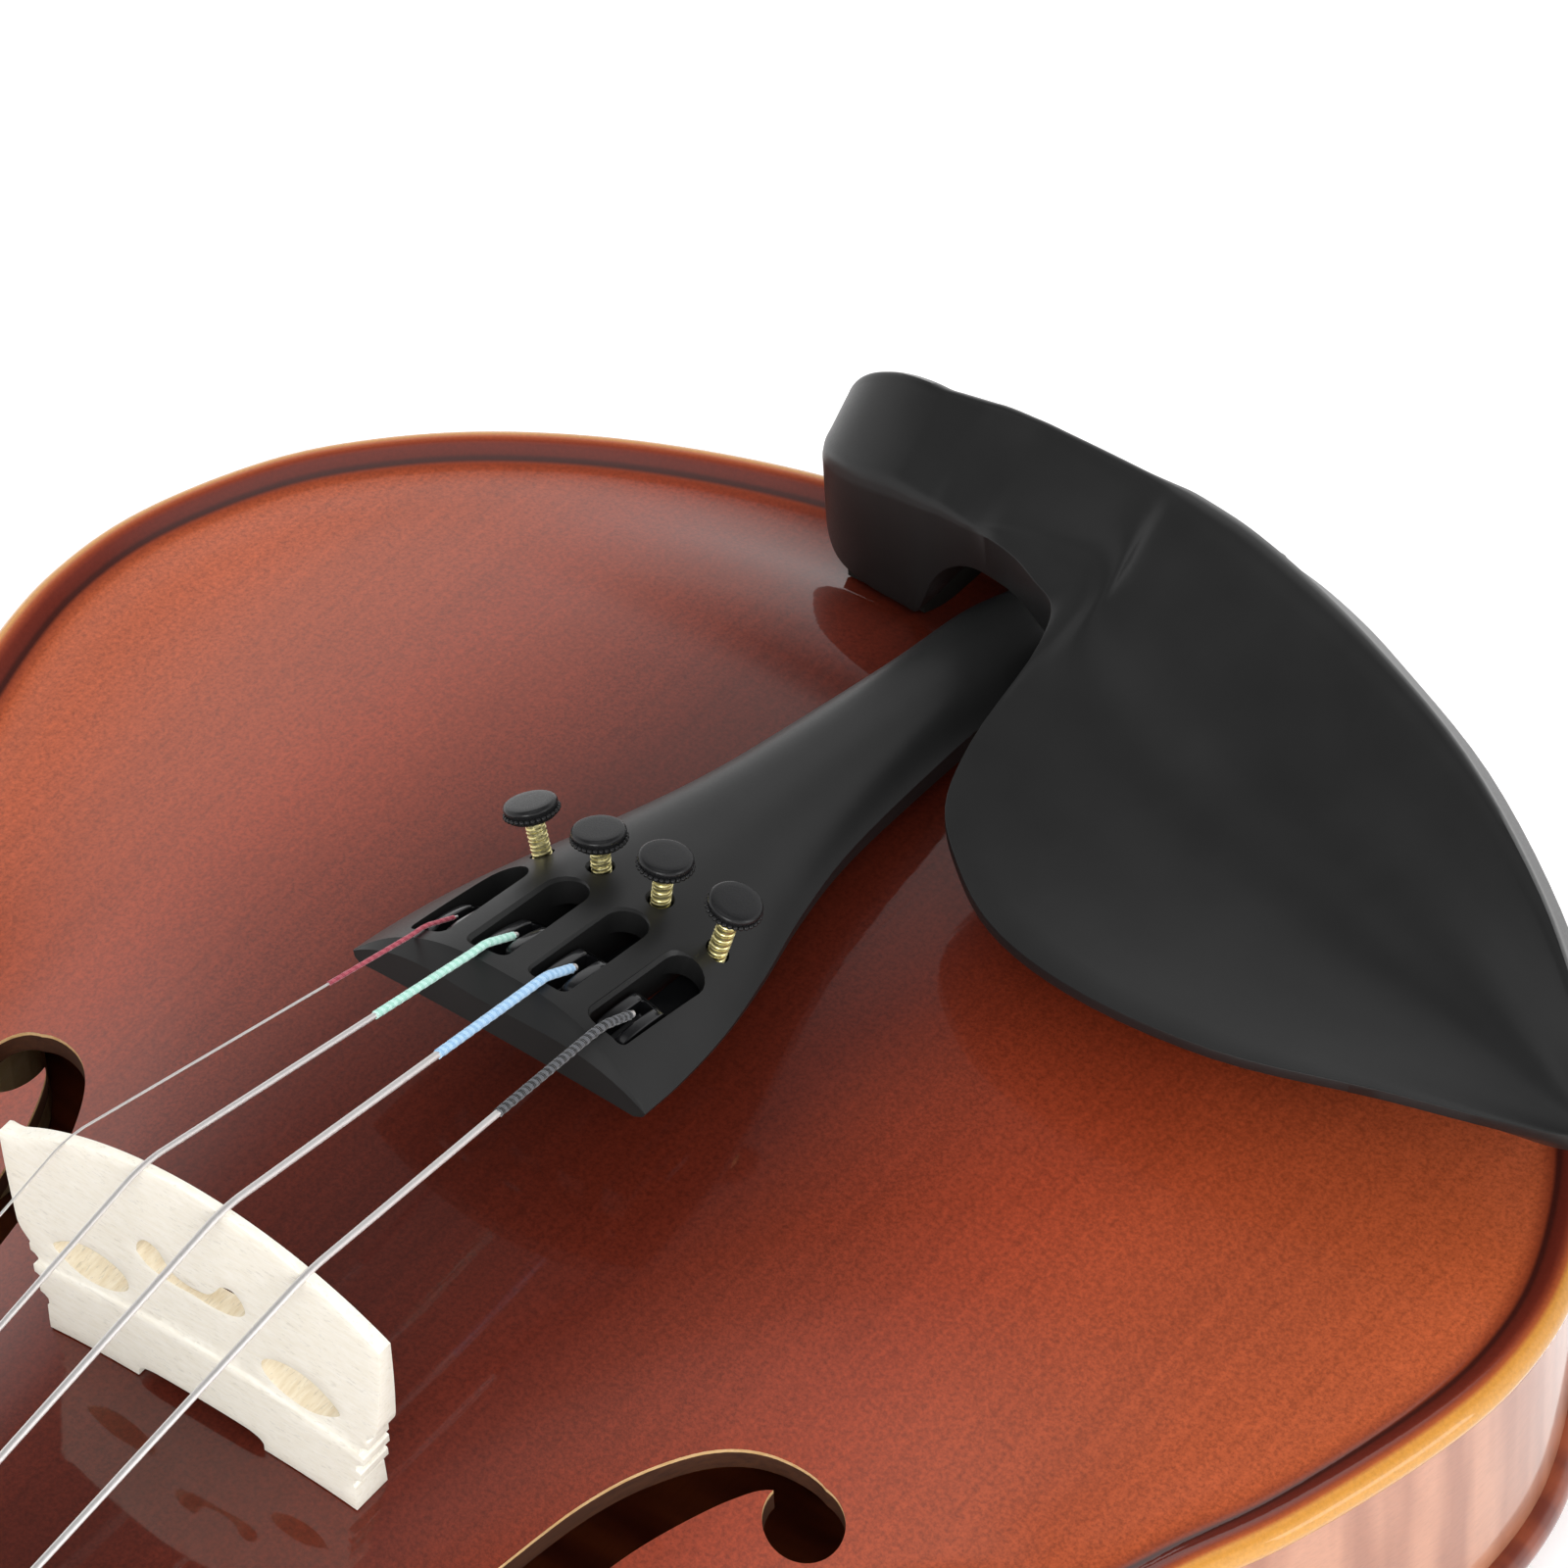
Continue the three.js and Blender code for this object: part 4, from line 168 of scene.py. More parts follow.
def spline(points, per_segment):
    """A smooth line through the points, with as many steps between each two."""
    points = array(points)
    whole, t = knots(points)
    made = []
    for i in range(1, len(whole) - 2):
        p0, p1, p2, p3 = whole[i - 1:i + 3]
        t0, t1, t2, t3 = t[i - 1:i + 3]
        u = np.linspace(t1, t2, per_segment, endpoint=False)[:, None]
        a1 = (t1 - u) / (t1 - t0) * p0 + (u - t0) / (t1 - t0) * p1
        a2 = (t2 - u) / (t2 - t1) * p1 + (u - t1) / (t2 - t1) * p2
        a3 = (t3 - u) / (t3 - t2) * p2 + (u - t2) / (t3 - t2) * p3
        b1 = (t2 - u) / (t2 - t0) * a1 + (u - t0) / (t2 - t0) * a2
        b2 = (t3 - u) / (t3 - t1) * a2 + (u - t1) / (t3 - t1) * a3
        made.append((t2 - u) / (t2 - t1) * b1 + (u - t1) / (t2 - t1) * b2)
    made.append(points[-1:])
    return np.vstack(made)


def reached(line):
    """The distance along the line at each of its points."""
    return np.concatenate([[0], np.cumsum(np.linalg.norm(np.diff(line, axis=0), axis=1))])


def resampled(line, wanted):
    """The points at those distances along the line."""
    along = reached(line)
    return np.stack([np.interp(wanted, along, line[:, k]) for k in range(line.shape[1])], 1)


def even(line, count):
    """The line with its points moved to equal distances along it."""
    return resampled(line, np.linspace(0, reached(line)[-1], count))


def mirrored(half):
    """A half outline and its mirror image, as one closed line."""
    return np.vstack([half, (half * array((-1, 1)))[-2:0:-1]])


def bout(share, width):
    return (share[0] * width / 2, UPPER_END - share[1] * LENGTH)


def outline_curves(upper_count=110, waist_count=70, lower_count=130):
    """The treble half of the plates' outline: upper bout, waist and lower bout, from the neck down."""
    upper_outer = array(bout(UPPER_CORNER, UPPER_BOUT))
    lower_outer = array(bout(LOWER_CORNER, LOWER_BOUT))
    up, low = math.radians(28.6), math.radians(29.7)
    upper_inner = upper_outer + CORNER_TIP * array((-math.sin(up), -math.cos(up)))
    lower_inner = lower_outer + CORNER_TIP * array((-math.sin(low), math.cos(low)))
    upper = [bout(s, UPPER_BOUT) for s in UPPER_BOUT_SHARES] + [upper_outer]
    lower = [lower_outer] + [bout(s, LOWER_BOUT) for s in LOWER_BOUT_SHARES]
    waist = [upper_inner]
    for flare, down in WAIST_SHARES:
        end = upper_inner if down < 0.4 else lower_inner
        waist.append((lerp(WAIST / 2, end[0], flare), lerp(upper_inner[1], lower_inner[1], down)))
    waist.append(lower_inner)
    mirror = array((-1, 1))
    upper_whole = spline(np.vstack([(array(upper) * mirror)[:0:-1], array(upper)]), 16)
    lower_whole = spline(np.vstack([array(lower), (array(lower) * mirror)[-2::-1]]), 16)
    upper_half = upper_whole[(len(upper) - 1) * 16:]
    lower_half = lower_whole[:(len(lower) - 1) * 16 + 1]
    upper_half[0, 0] = lower_half[-1, 0] = 0
    return [even(upper_half, upper_count), even(spline(waist, 16), waist_count), even(lower_half, lower_count)]


CURVES = outline_curves()


def closed_outline():
    upper, waist, lower = CURVES
    tips = [np.linspace(a, b, 6)[1:-1] for a, b in ((upper[-1], waist[0]), (waist[-1], lower[0]))]
    return mirrored(np.vstack([upper, tips[0], waist, tips[1], lower]))


OUTLINE = closed_outline()


def inset_line(line, distance):
    before = line[np.maximum(np.arange(len(line)) - 1, 0)]
    after = line[np.minimum(np.arange(len(line)) + 1, len(line) - 1)]
    along = after - before
    along /= np.linalg.norm(along, axis=1)[:, None]
    on_axis = line[:, 0] == 0
    along[on_axis] = np.stack([np.sign(line[on_axis, 1] - MIDDLE), np.zeros(on_axis.sum())], 1)
    return line + distance * np.stack([along[:, 1], -along[:, 0]], 1)


def cut_back(line, distance):
    """The line without its last stretch of that length, with the same count of points."""
    along = reached(line)
    return resampled(line, np.minimum(along, along[-1] - distance))


def first_crossing(first, second, near):
    """Where the end of one line crosses the start of the next: its point and both places."""
    for i in range(len(first) - 2, max(len(first) - 40, 0), -1):
        a, r = first[i], first[i + 1] - first[i]
        c, s = second[:39], second[1:40] - second[:39]
        bottom = r[0] * s[:, 1] - r[1] * s[:, 0]
        gap = c - a
        with np.errstate(divide="ignore", invalid="ignore"):
            t = (gap[:, 0] * s[:, 1] - gap[:, 1] * s[:, 0]) / bottom
            u = (gap[:, 0] * r[1] - gap[:, 1] * r[0]) / bottom
        hits = np.nonzero((t >= 0) & (t <= 1) & (u >= 0) & (u <= 1))[0]
        for j in hits:
            point = a + r * t[j]
            if np.linalg.norm(point - first[-1]) > near:
                return point, i, j
    return None


def inset_curves(distance):
    lines = [inset_line(line, distance) for line in CURVES]
    for k in (0, 1):
        found = first_crossing(lines[k], lines[k + 1], distance / 2)
        if found:
            point, i, j = found
            lines[k][i + 1:] = point
            lines[k + 1][:j + 1] = point
        else:
            lines[k] = cut_back(lines[k], distance)
            lines[k + 1] = cut_back(lines[k + 1][::-1], distance)[::-1]
    return lines


def distances(points, line=OUTLINE):
    """How far each point lies from the closed line."""
    a, b = line, np.roll(line, -1, axis=0)
    ab = b - a
    length = np.maximum((ab ** 2).sum(1), 1e-12)
    made = np.empty(len(points))
    for start in range(0, len(points), 4000):
        p = points[start:start + 4000, None]
        t = np.clip(((p - a) * ab).sum(2) / length, 0, 1)
        made[start:start + 4000] = np.sqrt(((p - a - t[..., None] * ab) ** 2).sum(2).min(1))
    return made


def inside(points, line):
    made = np.zeros(len(points), bool)
    x, y = points[:, 0], points[:, 1]
    for (ax, ay), (bx, by) in zip(line, np.roll(line, -1, axis=0)):
        if ay == by:
            continue
        crosses = (ay > y) != (by > y)
        made ^= crosses & (x < (bx - ax) * (y - ay) / (by - ay) + ax)
    return made


# Arching: a skin stretched over the channel gives the cross arch its soft corners


class Arching:
    step = 1.5
    channel = 7.0

    def __init__(self):
        xs = np.arange(-108, 108.1, self.step)
        ys = np.arange(LOWER_END - 3, UPPER_END + 3.1, self.step)
        self.x0, self.y0 = xs[0], ys[0]
        gx, gy = np.meshgrid(xs, ys)
        points = np.stack([gx.ravel(), gy.ravel()], 1)
        deep = inside(points, OUTLINE) & (distances(points) > self.channel)
        deep = deep.reshape(gx.shape)
        even_cell = (np.add.outer(np.arange(len(ys)), np.arange(len(xs))) % 2) == 0
        skin = np.zeros(gx.shape)
        source = self.step ** 2
        for _ in range(900):
            for cells in (deep & even_cell, deep & ~even_cell):
                around = np.zeros_like(skin)
                around[1:-1, 1:-1] = skin[2:, 1:-1] + skin[:-2, 1:-1] + skin[1:-1, 2:] + skin[1:-1, :-2]
                new = (around + source) / 4
                skin[cells] += 1.94 * (new[cells] - skin[cells])
        middle = skin[:, len(xs) // 2]
        self.skin = skin / np.maximum(middle, 1e-6)[:, None]
        self.skin[middle < 1] = 0

    def share(self, x, y):
        """The skin's height as a share of its height on the centre line, read smoothly."""
        fx = np.clip((x - self.x0) / self.step, 1, self.skin.shape[1] - 3.001)
        fy = np.clip((y - self.y0) / self.step, 1, self.skin.shape[0] - 3.001)
        ix, iy = fx.astype(int), fy.astype(int)
        tx, ty = fx - ix, fy - iy

        def weights(t):
            return (
                -0.5 * t + t * t - 0.5 * t ** 3, 1 - 2.5 * t * t + 1.5 * t ** 3,
                0.5 * t + 2 * t * t - 1.5 * t ** 3, -0.5 * t * t + 0.5 * t ** 3,
            )

        made = 0
        for j, wy in enumerate(weights(ty)):
            for i, wx in enumerate(weights(tx)):
                made = made + wy * wx * self.skin[iy + j - 1, ix + i - 1]
        return np.clip(made, 0, 1)


ARCHING = Arching()


def long_arch(y, crest):
    reach = LENGTH * 0.78 / 2
    t = np.abs((y - MIDDLE) / reach)
    inner = crest * (1 - 0.36 * np.minimum(t, 1) ** 2.6)
    beyond = np.clip((t - 1) * reach / (LENGTH / 2 - reach - 12), 0, 1)
    fall = (1 + np.cos(np.pi * beyond ** 1.8)) / 2
    return SHOULDER + (inner - SHOULDER) * fall


def plate_height(x, y, depth, crest, limit):
    """Height of a plate's outside over the ribs; depth is the distance in from its edge."""
    roll = 2.0
    inward = np.clip(1 - depth / roll, 0, 1)
    rim = EDGE - 1.9 * (1 - np.sqrt(1 - inward ** 2))
    rim = rim - 1.1 * smoothstep(2.4, 5.8, depth) + 0.4 * smoothstep(6.5, 13, depth)
    cross = (1 + np.cos(np.pi * (1 - ARCHING.share(x, y)) ** 0.9)) / 2
    return np.minimum(rim + (long_arch(y, crest) - SHOULDER) * cross, limit)


def belly_at(x, y):
    x, y = np.atleast_1d(x).astype(float), np.atleast_1d(y).astype(float)
    depth = distances(np.stack([x, y], 1))
    return BELLY_JOINT + plate_height(x, y, depth, BELLY_ARCH, BELLY_ARCH)


# Meshes


def srgb(value):
    """A colour written as 0xRRGGBB, as Blender's linear red, green, blue and alpha."""
    parts = [(value >> shift & 255) / 255 for shift in (16, 8, 0)]
    return [c / 12.92 if c <= 0.04045 else ((c + 0.055) / 1.055) ** 2.4 for c in parts] + [1.0]


def new_object(name, points, faces, materials, face_materials=None, attributes=None, sharp=35.0):
    """A mesh piece from points in millimetres."""
    mesh = bpy.data.meshes.new(name)
    mesh.from_pydata((array(points) * MM).tolist(), [], [list(map(int, f)) for f in faces])
    mesh.update()
    for coat in materials:
        mesh.materials.append(coat)
    if face_materials is not None:
        mesh.polygons.foreach_set("material_index", np.array(face_materials, np.int32))
    for key, values in (attributes or {}).items():
        mesh.attributes.new(key, "FLOAT", "POINT").data.foreach_set("value", np.array(values, np.float32))
    made = bpy.data.objects.new(name, mesh)
    bpy.context.scene.collection.objects.link(made)
    return resharpen(made, sharp)


def resharpen(obj, angle=35.0):
    obj.data.shade_smooth()
    obj.data.set_sharp_from_angle(angle=math.radians(angle))
    return obj


def outwards(obj):
    """Turns the faces of a closed mesh outwards."""
    shell = bmesh.new()
    shell.from_mesh(obj.data)
    bmesh.ops.recalc_face_normals(shell, faces=shell.faces)
    shell.to_mesh(obj.data)
    shell.free()
    return obj


def solid(name, shape, coat):
    """A closed piece of one finish, from a shape's points and faces."""
    return outwards(new_object(name, *shape, [coat]))


def loft(rings):
    """Points and faces of a shape through rings of equal length, closed at both ends."""
    count = len(rings[0])
    last = (len(rings) - 1) * count
    faces = []
    for start in range(0, last, count):
        for i in range(count):
            j = (i + 1) % count
            faces.append((start + i, start + j, start + count + j, start + count + i))
    faces += [tuple(range(count - 1, -1, -1)), tuple(range(last, last + count))]
    return np.vstack(rings), faces


def prism(line, *levels):
    """An upright shape with that outline at each of the levels."""
    return loft([np.c_[line, np.full(len(line), z)] for z in levels])


def joined(*shapes):
    """Several shapes as one."""
    points, faces, start = [], [], 0
    for some_points, some_faces in shapes:
        points.append(array(some_points))
        faces.extend(tuple(start + i for i in face) for face in some_faces)
        start += len(some_points)
    return np.vstack(points), faces


def turned(profile, sides, axis="z", at=(0, 0, 0)):
    """A turned shape: the profile's points are radius and distance along the axis."""
    order = {"x": [2, 0, 1], "y": [1, 2, 0], "z": [0, 1, 2]}[axis]
    angles = np.linspace(0, 2 * np.pi, sides, endpoint=False)
    rings = []
    for radius, along in profile:
        ring = np.stack([radius * np.cos(angles), radius * np.sin(angles), np.full(sides, along)], 1)
        rings.append(ring[:, order] + array(at))
    return loft(rings)


def carried(points, matrix):
    """Points in millimetres, moved by a matrix whose place is in millimetres."""
    turn = np.array(matrix)
    return array(points) @ turn[:3, :3].T + turn[:3, 3]


def moved(shape, matrix):
    return carried(shape[0], matrix), shape[1]


def in_metres(matrix):
    """A place in millimetres, for a mesh whose points are in metres."""
    return Matrix.Translation(matrix.translation * MM) @ matrix.to_3x3().to_4x4()


def with_modifier(obj, kind, **settings):
    """Adds a modifier and applies it at once."""
    modifier = obj.modifiers.new(kind.lower(), kind)
    for key, value in settings.items():
        setattr(modifier, key, value)
    evaluated = obj.evaluated_get(bpy.context.evaluated_depsgraph_get())
    mesh = bpy.data.meshes.new_from_object(evaluated)
    old = obj.data
    obj.modifiers.clear()
    obj.data = mesh
    bpy.data.meshes.remove(old)
    return obj


def eased(obj, width, segments, angle=30.0):
    """Rounds the edges sharper than the angle by that width in millimetres."""
    return with_modifier(
        obj, "BEVEL", width=width * MM, segments=segments, limit_method="ANGLE", angle_limit=math.radians(angle),
    )


def cut(obj, shape):
    """Cuts a shape out of a piece, in the piece's own finish."""
    cutter = solid("cutter", shape, obj.data.materials[0])
    with_modifier(obj, "BOOLEAN", operation="DIFFERENCE", object=cutter, solver="EXACT")
    bpy.data.objects.remove(cutter)


def settle(obj, body, slot, *nodes):
    """Puts a finished piece on its body and lets it stand for its nodes."""
    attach(obj, body)
    if nodes:
        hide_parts(*nodes)


# Materials


def add(tree, kind, links=None, stops=None, **settings):
    """Adds a node with its settings. links gives its inputs a value or another node's output."""
    made = tree.nodes.new(kind)
    for key, value in settings.items():
        setattr(made, key, value)
    for key, value in (links or {}).items():
        if isinstance(value, bpy.types.NodeSocket):
            tree.links.new(value, made.inputs[key])
        else:
            made.inputs[key].default_value = value
    if stops:
        ramp = made.color_ramp
        while len(ramp.elements) < len(stops):
            ramp.elements.new(0.5)
        for element, (place, colour) in zip(ramp.elements, stops):
            element.position = place
            element.color = srgb(colour) if isinstance(colour, int) else (colour, colour, colour, 1)
    return made


def shaded(name, **values):
    """A material with one Principled shader on its output, its tree and the shader."""
    made = bpy.data.materials.new(name)
    made.use_nodes = True
    tree = made.node_tree
    tree.nodes.clear()
    shader = add(tree, "ShaderNodeBsdfPrincipled", {k.replace("_", " "): v for k, v in values.items()})
    add(tree, "ShaderNodeOutputMaterial", {"Surface": shader.outputs[0]})
    return made, tree, shader


def streaks(tree, period, detail, rough):
    """The height of a fine pattern whose features measure period, in millimetres, along X, Y and Z."""
    place = add(tree, "ShaderNodeTexCoord").outputs["Object"]
    scaled = add(tree, "ShaderNodeMapping", {"Vector": place, "Scale": [1 / (p * MM) for p in period]})
    return add(tree, "ShaderNodeTexNoise", {
        "Vector": scaled.outputs[0], "Scale": 1.0, "Detail": detail, "Roughness": rough,
    }).outputs["Fac"]


def layer(tree, under, low, high, share=1.0, pattern=None, period=None, detail=3.0, rough=0.5):
    """One layer of a finish, over the colour under it: a pattern that goes from one colour or grey to another.

    low and high are each a value of the pattern and its colour. The pattern is given, or is grain, pores or cloud
    of a period in millimetres along X, Y and Z. Returns the colour so far, and the pattern for the relief.
    """
    if pattern is None:
        pattern = streaks(tree, period, detail, rough)
    colour = add(tree, "ShaderNodeValToRGB", {"Fac": pattern}, stops=[low, high]).outputs[0]
    if under is not None:
        parts = {0: share, 6: under, 7: colour}
        colour = add(tree, "ShaderNodeMix", parts, data_type="RGBA", blend_type="MULTIPLY").outputs[2]
    return colour, pattern


def surfaced(tree, shader, colour, pattern, depth, strength, rough=None):
    """Gives a shader its colour, a relief of that depth in millimetres, and a gloss between two roughnesses."""
    tree.links.new(colour, shader.inputs["Base Color"])
    if rough:
        satin = add(tree, "ShaderNodeMapRange", {0: pattern, 3: rough[0], 4: rough[1]}).outputs[0]
        tree.links.new(satin, shader.inputs["Roughness"])
    relief = add(tree, "ShaderNodeBump", {"Height": pattern, "Distance": depth * MM, "Strength": strength})
    tree.links.new(relief.outputs[0], shader.inputs["Normal"])


def varnished_spruce(name, middle, border):
    """Spruce under a clear red-brown spirit varnish: quarter-cut, so the grain runs along it in fine streaks.

    The varnish is rubbed down to the golden wood on the rounded edge, and darkest in the channel inside it.
    """
    made, tree, shader = shaded(
        name, Roughness=0.42, IOR=1.5, Specular_IOR_Level=0.1, Coat_Weight=1.0, Coat_Roughness=0.035,
        Coat_IOR=1.5,
    )
    place = add(tree, "ShaderNodeTexCoord").outputs["Object"]
    across = add(tree, "ShaderNodeSeparateXYZ", {"Vector": place}).outputs["X"]
    size = add(tree, "ShaderNodeMath", {0: across}, operation="ABSOLUTE").outputs[0]
    wide = add(tree, "ShaderNodeMath", {0: size, 1: LOWER_BOUT / 2 * MM}, operation="DIVIDE").outputs[0]
    # Darker along the middle, lighter towards the border: partly the varnish's own sunburst, partly painted shade of
    # the tailpiece and chin rest over the middle
    sunburst_and_shade = add(tree, "ShaderNodeValToRGB", {"Fac": wide}, stops=[
        (0.0, middle), (0.22, 0x581E11), (0.5, 0x8A361D), (0.95, border),
    ]).outputs[0]
    # Growth rings a millimetre apart, drawn as long streaks
    grained, grain = layer(
        tree, sunburst_and_shade, (0.3, 0.8), (0.7, 1.1), 0.55, period=(1.1, 90, 60), detail=4, rough=0.6,
    )
    # Specks of pigment in the varnish, half a millimetre apart
    specked, speck = layer(
        tree, grained, (0.36, 0.6), (0.62, 1.25), 0.8, period=(0.5, 0.5, 0.5), detail=5, rough=0.75,
    )
    uneven = layer(tree, specked, (0.3, 0.86), (0.7, 1.1), 0.8, period=(30, 45, 30))[0]
    # The attribute holds the distance from the edge in millimetres, and the ramp covers the outer 20
    depth = add(tree, "ShaderNodeAttribute", attribute_name="depth").outputs["Fac"]
    inward = add(tree, "ShaderNodeMath", {0: depth, 1: 20.0}, operation="DIVIDE").outputs[0]
    # Gold on the rounded edge: rubbed-down wood, painted lighter in part as the roll's highlight. Then the dark band
    # and line in the channel: dark edge varnish, partly painted shade of the hollow
    rim = add(tree, "ShaderNodeValToRGB", {"Fac": inward}, stops=[
        (0.0, 0xCB9140), (0.07, 0xC4863A), (0.095, 0xA4512A), (0.13, 0x7E3420), (0.16, 0x642418),
        (0.215, 0x5A2016), (0.235, 0x3C1711), (0.252, 0x3C1711), (0.275, 0x7A321C),
    ]).outputs[0]
    rimmed_with_highlight_and_shade = layer(tree, rim, (0.36, 0.8), (0.62, 1.1), 0.6, speck)[0]
    at_rim = add(tree, "ShaderNodeValToRGB", {"Fac": inward}, stops=[(0.262, 1.0), (0.36, 0.0)]).outputs[0]
    whole = add(tree, "ShaderNodeMix", {0: at_rim, 6: uneven, 7: rimmed_with_highlight_and_shade}, data_type="RGBA").outputs[2]
    surfaced(tree, shader, whole, grain, 0.03, 0.35)
    # The varnish sinks a little into the soft rings, which draws its reflections out along the grain
    sunk = add(tree, "ShaderNodeBump", {"Height": grain, "Distance": 0.03 * MM, "Strength": 0.4}).outputs[0]
    tree.links.new(sunk, shader.inputs["Coat Normal"])
    return made


def flamed_maple(name, pale, dark, period, coat=1.0):
    """Maple with its flame: bands of turned fibres that run across the board under the varnish."""
    made, tree, shader = shaded(
        name, Roughness=0.4, IOR=1.5, Coat_Weight=coat, Coat_Roughness=0.06, Coat_IOR=1.5,
    )
    bands = layer(tree, None, (0.36, dark), (0.64, pale), period=period, detail=2, rough=0.45)[0]
    grained, fibre = layer(
        tree, bands, (0.3, 0.86), (0.7, 1.06), 0.5, period=(0.6, 14, 0.6), detail=4, rough=0.6,
    )
    flecked = layer(tree, grained, (0.34, 0.82), (0.5, 1.02), 0.5, period=(0.35, 1.6, 0.35), rough=0.7)[0]
    surfaced(tree, shader, flecked, fibre, 0.02, 0.3)
    return made


def plain_wood(name, light, dark, period, roughness, fleck=0.78, gloss=0.0):
    """Planed wood: fibres along one way, and short pores or flecks in it."""
    made, tree, shader = shaded(
        name, Roughness=roughness, IOR=1.5, Coat_Weight=gloss, Coat_Roughness=0.25, Coat_IOR=1.5,
    )
    fibre = layer(tree, None, (0.3, dark), (0.7, light), period=period, detail=4, rough=0.6)[0]
    fine = [p * 0.6 for p in period]
    flecked, pore = layer(tree, fibre, (0.33, fleck), (0.42, 1.0), period=fine, rough=0.7)
    surfaced(tree, shader, flecked, pore, 0.03, 0.4)
    return made


def moulded_plastic(name, colour, roughness):
    """Moulded ABS: black and even, with a fine satin grain from the mould."""
    made, tree, shader = shaded(name, Roughness=roughness, IOR=1.53, Specular_IOR_Level=0.28)
    cloud = layer(tree, None, (0.3, colour), (0.7, colour + 0x040404), period=(9, 9, 9))[0]
    grain = streaks(tree, (0.35, 0.35, 0.35), 3, 0.6)
    surfaced(tree, shader, cloud, grain, 0.012, 0.5, (roughness - 0.06, roughness + 0.08))
    return made


def metal(name, colour, roughness, period, metallic=1.0, coat=0.0):
    """Turned or drawn metal, with the fine lines that the tool leaves."""
    made, tree, shader = shaded(
        name, Metallic=metallic, Roughness=roughness, Coat_Weight=coat, Coat_Roughness=0.08,
    )
    drawn, lines = layer(tree, None, (0.2, colour - 0x0A0A0A), (0.8, colour), period=period, rough=0.6)
    surfaced(tree, shader, drawn, lines, 0.01, 0.3, (roughness * 0.75, roughness * 1.3))
    return made


def wound_thread(name, colour, strand):
    """Silk thread wound tightly round the string: soft, with the strands' own sheen."""
    made, tree, shader = shaded(name, Roughness=0.7, IOR=1.5, Sheen_Weight=0.4, Sheen_Roughness=0.5)
    twist = add(tree, "ShaderNodeAttribute", attribute_name="strand").outputs["Fac"]
    body = layer(tree, None, (0.1, colour), (0.9, strand), pattern=twist)[0]
    fuzzy, fibre = layer(tree, body, (0.3, 0.82), (0.7, 1.06), period=(0.14, 0.5, 0.14), rough=0.6)
    surfaced(tree, shader, fuzzy, fibre, 0.03, 0.5)
    return made


def ground_cork(name):
    """Cut cork: warm tan granules 1.3 mm across, with dark lenticels."""
    made, tree, shader = shaded(name, Roughness=0.9, IOR=1.45)
    place = add(tree, "ShaderNodeTexCoord").outputs["Object"]
    cells = add(tree, "ShaderNodeTexVoronoi", {"Vector": place, "Scale": 1 / (1.3 * MM)}).outputs
    shade = layer(tree, None, (0.1, 0xA67A4C), (0.9, 0xC79B6B), pattern=cells["Color"])[0]
    spotted = layer(tree, shade, (0.34, 0.4), (0.42, 1.0), period=(1.8, 1.0, 0.7), detail=4, rough=0.6)[0]
    surfaced(tree, shader, spotted, cells["Distance"], 0.08, 0.5)
    return made


